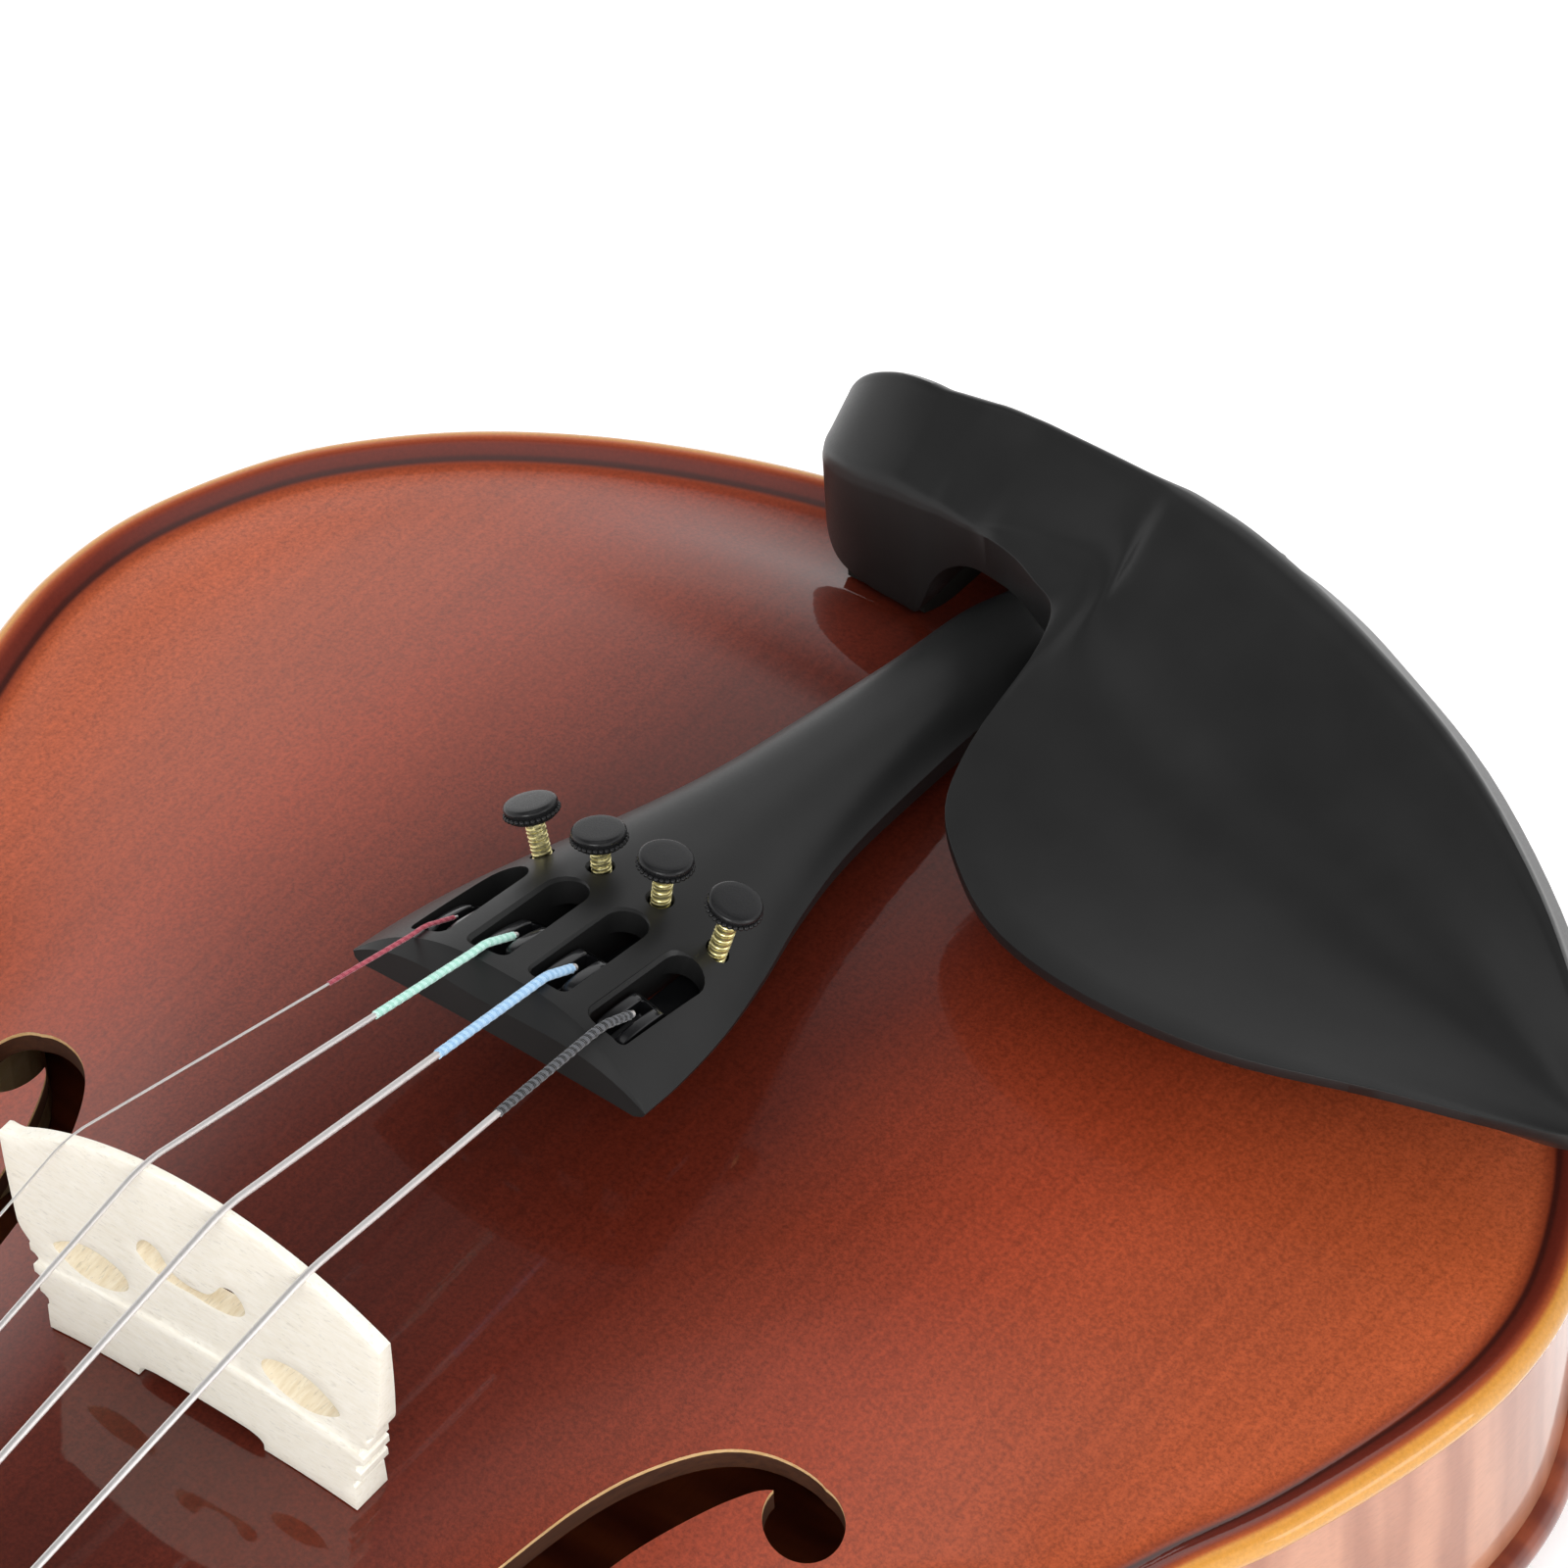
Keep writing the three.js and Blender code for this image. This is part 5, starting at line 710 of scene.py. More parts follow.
# Each finish: how it is made and its values. A colour's name stands for the one in the settings.
FINISHES = {
    # Varnish over wood: deep gloss, so the room is mirrored on a coloured ground
    "varnished_spruce": (varnished_spruce, "belly_middle", "belly_border"),
    "back_maple": (flamed_maple, "back", 0x6B2A18, (26, 5, 26)),
    # The ribs' pale pinkish tan, lighter than the belly's border, is partly painted light falling on them, over the
    # maple's own colour
    "rib_maple": (flamed_maple, "ribs", 0x9F6449, (5.5, 5.5, 40), 0.8),
    "neck_maple": (flamed_maple, "neck", 0x8A4628, (22, 6, 22)),
    # Knife-cut edge of a sound hole, and below it the wall, painted dark as the shade inside the hole
    "hole_rim_spruce": (plain_wood, 0xE0BC8C, 0xC69A62, (0.8, 9, 0.5), 0.6),
    "hole_wall_spruce": (plain_wood, 0x4A2A18, 0x341B10, (0.8, 9, 0.5), 0.6),
    # Bare wood: matt, pale, with flecks
    "bare_spruce": (plain_wood, 0xDCC398, 0xC9A874, (1.1, 40, 3), 0.72),
    "bare_maple": (plain_wood, "bridge", 0xE8E2D2, (2.2, 0.8, 0.5), 0.5, 0.84, 0.25),
    # The walls of the bridge's holes: end grain a little darker than the faces, and partly painted shade inside the
    # holes
    "sawn_maple": (plain_wood, 0xEDE3CC, 0xDCCCAC, (0.5, 2.5, 0.5), 0.7),
    # Oiled ebony: nearly black, satin, grain along the board and across a turned peg
    "ebony": (plain_wood, "ebony", 0x151312, (0.7, 26, 0.7), 0.36, 0.7, 0.3),
    "peg_ebony": (plain_wood, "ebony", 0x131211, (18, 0.6, 0.6), 0.3, 0.7, 0.4),
    # Moulded parts: satin black, the caps a little glossier
    "black_plastic": (moulded_plastic, "plastic", 0.37),
    "cap_plastic": (moulded_plastic, 0x181819, 0.27),
    "nylon": (moulded_plastic, 0x1D1D1E, 0.42),
    # The chin rest's pads: cork, dark all over
    "blackened_cork": (moulded_plastic, 0x1B1815, 0.9),
    # Metals: polished plate, flat-wound string, pale brass and black lacquer
    "plated_steel": (metal, 0xC9C9C6, 0.16, (0.6, 0.6, 9)),
    "string_metal": (metal, 0xF2EEEC, 0.58, (0.5, 0.2, 0.5)),
    "brass": (metal, "brass", 0.34, (0.4, 0.4, 0.4)),
    "blackened_metal": (metal, 0x202022, 0.3, (0.8, 0.8, 0.8), 0.5, 0.6),
    # Silk: soft thread, two shades of one colour
    "silk_red": (wound_thread, "silk_red", 0xB4505F),
    "silk_mint": (wound_thread, "silk_mint", 0xC4ECE1),
    "silk_blue": (wound_thread, "silk_blue", 0xB2D4F0),
    "silk_black": (wound_thread, "silk_black", 0x55575C),
    "cork": (ground_cork,),
}
MADE = {}


def chosen_colour(name):
    red, green, blue = (round(c * 255) for c in getattr(bpy.context.scene.violin_colours, name))
    return red << 16 | green << 8 | blue


def chosen_size(name):
    """A size of the settings in millimetres, free of the rounding of its storage."""
    return round(getattr(bpy.context.scene.violin_fittings, name) / MM, 4)


def material(name):
    """The finish of that name, made when it is first asked for."""
    if name not in MADE:
        maker, *values = FINISHES[name]
        MADE[name] = maker(name, *(chosen_colour(v) if isinstance(v, str) else v for v in values))
    return MADE[name]


# Geometry Nodes: each tree is built once, and its result is kept as a plain mesh


def new_tree(name, sockets):
    """An empty tree with a geometry input, the named inputs and a geometry output."""
    tree = bpy.data.node_groups.new(name, "GeometryNodeTree")
    tree.interface.new_socket("Geometry", in_out="INPUT", socket_type="NodeSocketGeometry")
    for label, kind in sockets:
        tree.interface.new_socket(label, in_out="INPUT", socket_type=kind)
    tree.interface.new_socket("Geometry", in_out="OUTPUT", socket_type="NodeSocketGeometry")
    return tree, add(tree, "NodeGroupInput").outputs


def end_tree(tree, geometry, coat):
    real = add(tree, "GeometryNodeRealizeInstances", {"Geometry": geometry}).outputs[0]
    painted = add(tree, "GeometryNodeSetMaterial", {"Geometry": real, "Material": coat}).outputs[0]
    add(tree, "NodeGroupOutput", {"Geometry": painted})
    return tree


def tube_tree():
    """Sweeps a round section along a path, thinner or thicker by the path's own radius."""
    tree, given = new_tree("tube_along_path", [
        ("Radius", "NodeSocketFloat"), ("Sides", "NodeSocketInt"), ("Material", "NodeSocketMaterial"),
    ])
    section = add(tree, "GeometryNodeCurvePrimitiveCircle", {"Resolution": given["Sides"], "Radius": given["Radius"]})
    swept = add(tree, "GeometryNodeCurveToMesh", {
        "Curve": given["Geometry"], "Profile Curve": section.outputs[0], "Fill Caps": True,
    }).outputs[0]
    smooth = add(tree, "GeometryNodeSetShadeSmooth", {"Geometry": swept}).outputs[0]
    return end_tree(tree, smooth, given["Material"])


def beads_tree():
    """Sets round beads in a ring, as the grip of a small knob."""
    tree, given = new_tree("ring_of_beads", [
        ("Ring Radius", "NodeSocketFloat"), ("Count", "NodeSocketInt"), ("Bead Radius", "NodeSocketFloat"),
        ("Material", "NodeSocketMaterial"),
    ])
    ring = add(tree, "GeometryNodeMeshCircle", {"Vertices": given["Count"], "Radius": given["Ring Radius"]})
    bead = add(tree, "GeometryNodeMeshIcoSphere", {"Radius": given["Bead Radius"], "Subdivisions": 2})
    beads = add(tree, "GeometryNodeInstanceOnPoints", {"Points": ring.outputs[0], "Instance": bead.outputs[0]})
    smooth = add(tree, "GeometryNodeSetShadeSmooth", {"Geometry": beads.outputs[0]}).outputs[0]
    return end_tree(tree, smooth, given["Material"])


TREES = {}


def from_tree(name, maker, source, **inputs):
    """The mesh that a tree makes from a source object, which is used up."""
    tree = TREES.get(maker.__name__) or maker()
    TREES[maker.__name__] = tree
    modifier = source.modifiers.new("nodes", "NODES")
    modifier.node_group = tree
    for item in tree.interface.items_tree:
        label = item.name.lower().replace(" ", "_")
        if item.in_out == "INPUT" and label in inputs:
            modifier[item.identifier] = inputs[label]
    source.update_tag()
    evaluated = source.evaluated_get(bpy.context.evaluated_depsgraph_get())
    mesh = bpy.data.meshes.new_from_object(evaluated)
    mesh.name = name
    source.modifiers.clear()
    bpy.data.objects.remove(source)
    made = bpy.data.objects.new(name, mesh)
    bpy.context.scene.collection.objects.link(made)
    return made


def tube(name, paths, radius, sides, coat):
    """Round wire or thread along one path or more, in millimetres."""
    curve = bpy.data.curves.new(name, "CURVE")
    curve.dimensions = "3D"
    for path in paths:
        line = curve.splines.new("POLY")
        line.points.add(len(path) - 1)
        line.points.foreach_set("co", np.c_[array(path) * MM, np.ones(len(path))].ravel())
    source = bpy.data.objects.new(name, curve)
    bpy.context.scene.collection.objects.link(source)
    return from_tree(name, tube_tree, source, radius=radius * MM, sides=sides, material=coat)


def merged(name, *pieces):
    """Several objects as one piece."""
    points, faces, slots, materials = [], [], [], []
    start = 0
    for piece in pieces:
        mesh = piece.data
        co = np.empty(len(mesh.vertices) * 3)
        mesh.vertices.foreach_get("co", co)
        points.append(co.reshape(-1, 3) / MM)
        base = len(materials)
        materials.extend(mesh.materials)
        for face in mesh.polygons:
            faces.append([start + v for v in face.vertices])
            slots.append(base + face.material_index)
        start += len(mesh.vertices)
    for piece in pieces:
        bpy.data.objects.remove(piece)
    return new_object(name, np.vstack(points), faces, materials, slots)


def along_path(path):
    """Two directions across a path at each of its points, turned as little as can be."""
    path = array(path)
    ahead = np.gradient(path, axis=0)
    ahead /= np.linalg.norm(ahead, axis=1)[:, None]
    side = np.cross(ahead[0], (0, 0, 1.0))
    side /= np.linalg.norm(side)
    sides = [side]
    for direction in ahead[1:]:
        side = side - direction * (side @ direction)
        side /= np.linalg.norm(side)
        sides.append(side)
    sides = np.array(sides)
    return sides, np.cross(ahead, sides)


def strands(path, radius, pitch, count, step):
    """Paths of threads laid round a path, each a helix of that radius and pitch."""
    length = np.linalg.norm(np.diff(array(path), axis=0), axis=1).sum()
    fine = even(array(path), max(int(length / step), 8))
    side, up = along_path(fine)
    turns = np.linspace(0, length / pitch, len(fine)) * 2 * np.pi
    made = []
    for i in range(count):
        angle = turns + i * 2 * np.pi / count
        made.append(fine + radius * (np.cos(angle)[:, None] * side + np.sin(angle)[:, None] * up))
    return made


# Plates


def triangulated(outer, holes, extra):
    """Points and triangles inside the outer line and outside the holes, which may overlap each other."""
    points = [*outer]
    edges = [(i, (i + 1) % len(outer)) for i in range(len(outer))]
    for hole in holes:
        start = len(points)
        points.extend(hole)
        edges.extend((start + i, start + (i + 1) % len(hole)) for i in range(len(hole)))
    points.extend(extra)
    made = delaunay_2d_cdt([Vector(p) for p in np.array(points).tolist()], edges, [], 0, 1e-5)
    flat = np.array([tuple(p) for p in made[0]])
    faces = np.array([tuple(f) for f in made[2]])
    middle = flat[faces].mean(1)
    keep = inside(middle, np.array(outer))
    for hole in holes:
        keep &= ~inside(middle, np.array(hole))
    return flat, faces[keep]


def circle(x, y, radius, sides):
    angles = np.linspace(0, 2 * np.pi, sides, endpoint=False)
    return np.stack([x + radius * np.cos(angles), y + radius * np.sin(angles)], 1)


def sound_holes(side):
    """Stem and eyes of one sound hole."""
    (ux, uy, ur), (lx, ly, lr) = UPPER_EYE, LOWER_EYE
    stem = array([(side * lerp(ux, lx, a), lerp(uy, ly, b), w * STEM_HALF) for a, b, w in STEM_SHARES])
    fine = stem[:6], stem[5:8], stem[7:]
    line = np.vstack([spline(fine[0], 6)[:-1], fine[1][:-1], spline(fine[2], 6)])
    ahead = np.gradient(line[:, :2], axis=0)
    ahead /= np.linalg.norm(ahead, axis=1)[:, None]
    out = np.stack([ahead[:, 1], -ahead[:, 0]], 1) * line[:, 2:]
    ribbon = np.vstack([line[:, :2] + out, (line[:, :2] - out)[::-1]])
    return [ribbon, circle(side * ux, uy, ur, 40), circle(side * lx, ly, lr, 48)]


def rectangle(x0, x1, y0, y1):
    return array([(x0, y0), (x1, y0), (x1, y1), (x0, y1)])


RING_DEPTHS = (0.12, 0.4, 0.9, 1.5, 2.2, 3.0, 4.0, 5.0, 6.0, 7.0, 8.2, 9.6, 11.2)


def plate_grid(holes, outer=OUTLINE):
    """Points and triangles of a plate seen from above, with each point's distance from the edge."""
    extra = []
    for depth in RING_DEPTHS:
        ring = mirrored(np.vstack(inset_curves(depth)))
        extra.append(ring[distances(ring) > depth * 0.96])
    step = 2.6
    xs = np.arange(-105, 105, step)
    ys = np.arange(LOWER_END, UPPER_END, step * math.sqrt(3) / 2)
    gx, gy = np.meshgrid(xs, ys)
    gx = gx + (np.arange(len(ys)) % 2)[:, None] * step / 2
    middle = np.stack([gx.ravel(), gy.ravel()], 1)
    middle = middle[inside(middle, OUTLINE)]
    extra.append(middle[distances(middle) > 12.4])
    flat, faces = triangulated(outer, holes, np.vstack(extra))
    return flat, faces, distances(flat)


def border(faces):
    """The edges that only one of the triangles has, each in its triangle's order."""
    once = {}
    for a, b, c in faces:
        for edge in ((a, b), (b, c), (c, a)):
            if (edge[1], edge[0]) in once:
                del once[(edge[1], edge[0])]
            else:
                once[edge] = True
    return list(once)


def plate_mesh(name, grid, up, down, materials, sharp=38.0):
    """A plate with its two faces and the walls between them; a wall away from the edge gets the second finish."""
    flat, faces, depth = grid
    count = len(flat)
    points = np.vstack([np.c_[flat, up], np.c_[flat, down]])
    made = [tuple(f) for f in faces] + [tuple(count + i for i in f[::-1]) for f in faces]
    slots = [0] * len(made)
    once = border(faces)
    rims = {}
    for a, b in once:
        if depth[a] < 0.5 and depth[b] < 0.5:
            made.append((b, a, count + a, count + b))
            slots.append(0)
            continue
        for end in (a, b):
            if end not in rims:
                rims[end] = len(points) + len(rims)
        made.append((b, a, rims[a], rims[b]))
        made.append((rims[b], rims[a], count + a, count + b))
        slots += [1, 2]
    if rims:
        lower = points[list(rims)] - (0, 0, 0.5)
        points = np.vstack([points, lower])
    used = np.unique(np.concatenate([np.ravel(list(f)) for f in made]))
    place = np.full(len(points), -1)
    place[used] = np.arange(len(used))
    made = [tuple(place[list(f)]) for f in made]
    both = np.concatenate([depth, depth, depth[list(rims)]])[used]
    return outwards(new_object(name, points[used], made, materials, slots, {"depth": both}, sharp))


def under_side(depth, upper, thickness):
    """The glue face inside the edge, then the hollow inside of the plate."""
    roll = 1.9 * (1 - np.sqrt(1 - np.clip(1 - depth / 2, 0, 1) ** 2))
    return np.where(depth < 8, roll, np.maximum((upper - thickness) * smoothstep(8, 15, depth), 0))


def make_belly():
    """The belly: arched, with its sound holes, cut out for the neck's root and the saddle."""
    mortise = rectangle(-16.6, 16.6, UPPER_END - 6.2, UPPER_END + 20)
    saddle = rectangle(-18.2, 18.2, LOWER_END - 20, LOWER_END + 5.8)
    grid = plate_grid([*sound_holes(1), *sound_holes(-1), mortise, saddle])
    flat, _, depth = grid
    height = plate_height(flat[:, 0], flat[:, 1], depth, BELLY_ARCH, BELLY_ARCH)
    low = under_side(depth, height, PLATE)
    # The walls of the cut-outs under their pale cut edge get painted shade, dark as inside the holes
    made = plate_mesh(
        "belly", grid, BELLY_JOINT + height, BELLY_JOINT + low,
        [material("varnished_spruce"), material("hole_rim_spruce"), material("hole_wall_spruce")],
    )
    settle(made, BODY, "varnished_spruce", "top_plate")


def make_back():
    """The back: arched, with the button that the neck's root stands on."""
    half_button, reach = 11.0, 13.0
    arc = np.linspace(0, np.pi, 33)
    tongue = np.stack([half_button * np.cos(arc), UPPER_END + reach * np.sin(arc) - 0.6], 1)
    right = OUTLINE[(OUTLINE[:, 0] > half_button) | ((OUTLINE[:, 0] >= 0) & (OUTLINE[:, 1] < MIDDLE))]
    left = OUTLINE[(OUTLINE[:, 0] < -half_button) | ((OUTLINE[:, 0] < 0) & (OUTLINE[:, 1] < MIDDLE))]
    grid = plate_grid([], np.vstack([tongue[::-1], right, left]))
    flat, faces, depth = grid
    on_button = ~inside(flat, OUTLINE) & (flat[:, 1] > UPPER_END - 4) & (np.abs(flat[:, 0]) < half_button + 1)
    depth = np.where(on_button, 3.2, depth)
    height = plate_height(flat[:, 0], flat[:, 1], depth, BACK_ARCH + 0.4, BACK_ARCH)
    low = under_side(depth, height, PLATE)
    made = plate_mesh(
        "back", (flat, faces, depth), BACK_JOINT - height, BACK_JOINT - low,
        [material("back_maple")] * 3,
    )
    settle(made, BODY, "varnished_maple", "back_plate")


def make_ribs():
    """Five bent strips of maple, each closed at its ends."""
    outer, inner = inset_curves(OVERHANG), inset_curves(OVERHANG + RIB)
    mirror = array((-1, 1))
    rows = []
    for side, label in ((1, "treble"), (-1, "bass")):
        flip = array((side, 1))
        upper = outer[0][outer[0][:, 0] > 10.5], inner[0][inner[0][:, 0] > 10.5]
        rows.append(("rib_upper_" + label, upper[0] * flip, upper[1] * flip))
        rows.append(("rib_centre_" + label, outer[1] * flip, inner[1] * flip))
    around = [np.vstack([line[2], (line[2] * mirror)[-2::-1]]) for line in (outer, inner)]
    rows.append(("rib_lower", around[0], around[1]))
    for name, outside, within in rows:
        loop = np.vstack([outside, within[::-1]])
        loop = loop[np.linalg.norm(loop - np.roll(loop, -1, axis=0), axis=1) > 0.01]
        strip = prism(loop, BACK_JOINT, BACK_JOINT + 0.2, BELLY_JOINT - 0.2, BELLY_JOINT)
        settle(solid(name + "_strip", strip, material("rib_maple")), BODY, "varnished_maple", name)


# Fingerboard, neck and strings: heights along the board

BOARD_END = NUT_Y - BOARD
BOARD_RADIUS = 42.0
BRIDGE_HEIGHT = 34.5
CROWN_RADIUS = 44.0


def crown_drop(x, radius):
    return radius - np.sqrt(radius * radius - np.square(x))


def board_half(y):
    return lerp(24.0, 42.0, (NUT_Y - y) / BOARD) / 2


def board_top(y):
    at_heel = BELLY_EDGE + 7 + 4.5 + crown_drop(board_half(UPPER_END), BOARD_RADIUS)
    return lerp(BELLY_CREST + 26, at_heel, y / UPPER_END)


def board_under(y):
    at_nut = board_top(NUT_Y) - 4.5 - crown_drop(board_half(NUT_Y), BOARD_RADIUS)
    return lerp(BELLY_EDGE + 7, at_nut, (y - UPPER_END) / NECK)


PEGBOX = array([
    (0, 1, 0.46), (0.1, 1, 0.56), (0.25, 0.86, 0.68), (0.45, 0.35, 0.78), (0.65, -0.5, 0.87), (0.85, -1.5, 0.95),
    (1, -2.3, 1),
])


def pegbox_at(share):
    y = NUT_Y + share * PEGBOX_LENGTH
    top = board_under(y) + 4.6 * np.interp(share, PEGBOX[:, 0], PEGBOX[:, 1])
    bottom = board_under(y) - 30 * np.interp(share, PEGBOX[:, 0], PEGBOX[:, 2])
    return y, lerp(13.3, 10.4, share), top, bottom


def bridge_crown(x):
    return BRIDGE_HEIGHT - crown_drop(x, CROWN_RADIUS) - 0.022 * x


# Tailpiece and tuners: s runs from the ridge to the tail along the surface, h stands out of it

RIDGE_Y, RIDGE_Z = -50.5, 82.6
TAIL_FALL = RIDGE_Z - BELLY_EDGE - 5 - 6
TAIL_RUN = RIDGE_Y - LOWER_END - 15.9
TAIL_SLOPE = math.atan2(TAIL_FALL, TAIL_RUN)
TAIL_LENGTH = math.hypot(TAIL_FALL, TAIL_RUN)
TAIL_HALF = 20.3
TAIL_CROWN = 8.0
TAIL_DEPTH = 9.2
TAIL_SHARES = array([
    (0, 1, 1, 1), (0.06, 0.985, 0.98, 0.99), (0.16, 0.92, 0.93, 0.97), (0.27, 0.79, 0.86, 0.96),
    (0.38, 0.63, 0.78, 0.92), (0.5, 0.5, 0.7, 0.88), (0.65, 0.42, 0.62, 0.86), (0.82, 0.36, 0.56, 0.85),
    (0.94, 0.35, 0.54, 0.84), (1, 0.27, 0.5, 0.76),
])


def tail_points(x, s, h):
    x, s, h = np.broadcast_arrays(*[np.asarray(v, float) for v in (x, s, h)])
    c, d = math.cos(TAIL_SLOPE), math.sin(TAIL_SLOPE)
    return np.stack([x, RIDGE_Y - s * c - h * d, RIDGE_Z - s * d + h * c], -1)


def tail_drop(x, half, crown):
    return crown * np.minimum(np.abs(x) / half, 1) ** 2.8


def tail_frame(x, h, lean):
    """Where a fitting stands on the tailpiece: X across, Y to the tail, Z out of the surface."""
    along = Vector((0, -math.cos(TAIL_SLOPE), -math.sin(TAIL_SLOPE)))
    upright = Vector((0, -math.sin(TAIL_SLOPE), math.cos(TAIL_SLOPE)))
    out = upright * math.cos(lean) + Vector((math.sin(lean), 0, 0))
    turn = Matrix((along.cross(out), along, out)).transposed().to_4x4()
    return Matrix.Translation(Vector(tail_points(x, 0, h).tolist())) @ turn


def tuner_frame(order):
    x = order * RIDGE_SPACING
    return tail_frame(x, -float(tail_drop(x, TAIL_HALF, TAIL_CROWN)), x / 42 + 0.075)


def rounded_slot(low, high, half, grow=0.0, steps=10):
    arc = np.linspace(0, np.pi, steps + 1)
    top = np.stack([(half + grow) * np.cos(arc), high - half + (half + grow) * np.sin(arc)], 1)
    corner = 1.0 + grow
    turn = np.linspace(0, np.pi / 2, 5)
    left = np.stack([-half + 1.0 - corner * np.cos(turn), low + 1.0 - corner * np.sin(turn)], 1)
    return np.vstack([top, left, (left * (-1, 1))[::-1]])


def flared(outline_at, levels):
    """A cutter that widens towards the surface, so that the rim of its hole comes out bevelled."""
    lines = [(z, outline_at(grow)) for z, grow in levels]
    return loft([np.c_[line, np.full(len(line), z)] for z, line in lines])


def string_slot(grow):
    return rounded_slot(2.2, 18.6, 2.6, grow)


def screw_hole(grow):
    return circle(0, SCREW_AT, 1.45 + grow, 24)


def make_tailpiece():
    """The tailpiece: crowned, hollow below its front, with a slot, a screw hole and a pocket for each string."""
    across = np.linspace(1, -1, 45)
    under = np.array([-0.985, -0.94, -0.8, -0.6, -0.4, -0.2, 0, 0.2, 0.4, 0.6, 0.8, 0.94, 0.985])

    def ring(s, half, crown, depth, lean=0, drop=0, soften=0):
        bulge = 1 - across ** 2
        height = -tail_drop(across * half, half, crown) - bulge * drop - soften
        top = tail_points(across * half, s - bulge * lean, height)
        hollow = 2.6 * max(1 - 2 * s / TAIL_LENGTH, 0)
        low = 1 - under ** 2
        side = 0.5 * (np.abs(under) > 0.97)
        bottom = tail_points(under * half, s - low * lean, hollow * low - depth + side)
        return np.vstack([top, bottom])

    rings = []
    front = TAIL_HALF * 0.995
    for share in (1, 0.66, 0.33, 0.1):
        rings.append(ring(-0.02, front, TAIL_CROWN, TAIL_DEPTH, 2.2 * share, 3.0 * share, 0.12 * (1 - share)))
    rings.append(ring(0.12, TAIL_HALF, TAIL_CROWN, TAIL_DEPTH, soften=0.03))
    for place, wide, crown, deep in spline(TAIL_SHARES, 5)[1:]:
        rings.append(ring(place * TAIL_LENGTH, wide * TAIL_HALF, crown * TAIL_CROWN, deep * TAIL_DEPTH))
    piece = solid("tailpiece_shell", loft(rings), material("black_plastic"))
    for _, order, *_ in STRINGS:
        matrix = tuner_frame(order)
        slot = flared(string_slot, [(SLOT_FLOOR, 0), (-0.3, 0), (0.15, 0.42), (4, 0.42)])
        hole = flared(screw_hole, [(SLOT_FLOOR, 0), (-0.3, 0), (0.15, 0.4), (4, 0.4)])
        pocket = prism(rectangle(-2.55, 2.55, 3.4, 26.5), SLOT_FLOOR, -3.2)
        for shape in (slot, hole, pocket):
            cut(piece, moved(shape, matrix))
    end = TAIL_LENGTH - 3
    box = prism(rectangle(-5.2, 5.2, end - 9, end), -16, -2.4)
    cut(piece, moved(box, tail_frame(0, 0, 0)))
    for side in (-1, 1):
        bore = turned([(1.25, end - 2), (1.25, TAIL_LENGTH + 3)], 16, "y", (side * GUT_SPREAD, 0, -GUT_DEPTH))
        cut(piece, moved(bore, tail_frame(0, 0, 0)))
    resharpen(piece, 28)
    settle(piece, BODY, "black_plastic", "tailpiece")


def screw_paths(radius, low, high, pitch):
    turns = int((high - low) / pitch)
    angle = np.linspace(0, turns * 2 * np.pi, turns * 16 + 1)
    return [np.stack([radius * np.cos(angle), radius * np.sin(angle), np.linspace(low, high, len(angle))], 1)]


def make_tuners():
    """Each tuner: a beaded cap, a threaded brass screw and a forked lever that the screw presses down."""
    fittings = bpy.context.scene.violin_fittings
    for label, order, _, exposure, _ in STRINGS:
        matrix = tuner_frame(order)
        standing = matrix @ Matrix.Translation((0, SCREW_AT, exposure))
        core = turned([
            (0.01, -9.5), (0.75, -9.5), (0.95, -8.9), (1.05, -8.8), (1.05, -0.25), (0.01, -0.25),
        ], 24)
        shank = new_object("shank", carried(core[0], standing), core[1], [material("brass")])
        path = [carried(line, standing) for line in screw_paths(1.05, -8.7, -0.4, chosen_size("screw_pitch"))]
        thread = tube("thread", path, 0.13, 6, material("brass"))
        screw = merged("tuner_screw_" + label + "_threaded", shank, thread)
        settle(screw, "tuner_screw_" + label, "brass", "tuner_screw_" + label)

        tall = 2.1
        profile = [(0.01, 0.02), (2.3, 0.02), (2.65, 0.15), (2.9, 0.5), (2.95, 1.2)]
        profile += [(2.6 + 0.5 * math.cos(a), 1.55 + 0.5 * math.sin(a)) for a in np.linspace(-0.3, 1.45, 10)]
        profile += [(2.0, tall - 0.03), (0.01, tall)]
        body = turned(profile, 48)
        cap = new_object("cap", carried(body[0], standing), body[1], [material("cap_plastic")], sharp=30)
        source = new_object("ring", [(0, 0, 0)], [], [])
        beads = from_tree(
            "beads", beads_tree, source, ring_radius=2.98 * MM, count=fittings.cap_beads,
            bead_radius=chosen_size("bead_radius") * MM, material=material("cap_plastic"),
        )
        beads.data.transform(in_metres(standing) @ Matrix.Translation((0, 0, 0.8 * MM)))
        knob = merged("tuner_cap_" + label + "_beaded", cap, beads)
        settle(knob, "tuner_cap_" + label, "black_plastic", "tuner_cap_" + label)

        make_lever(label, matrix, exposure)


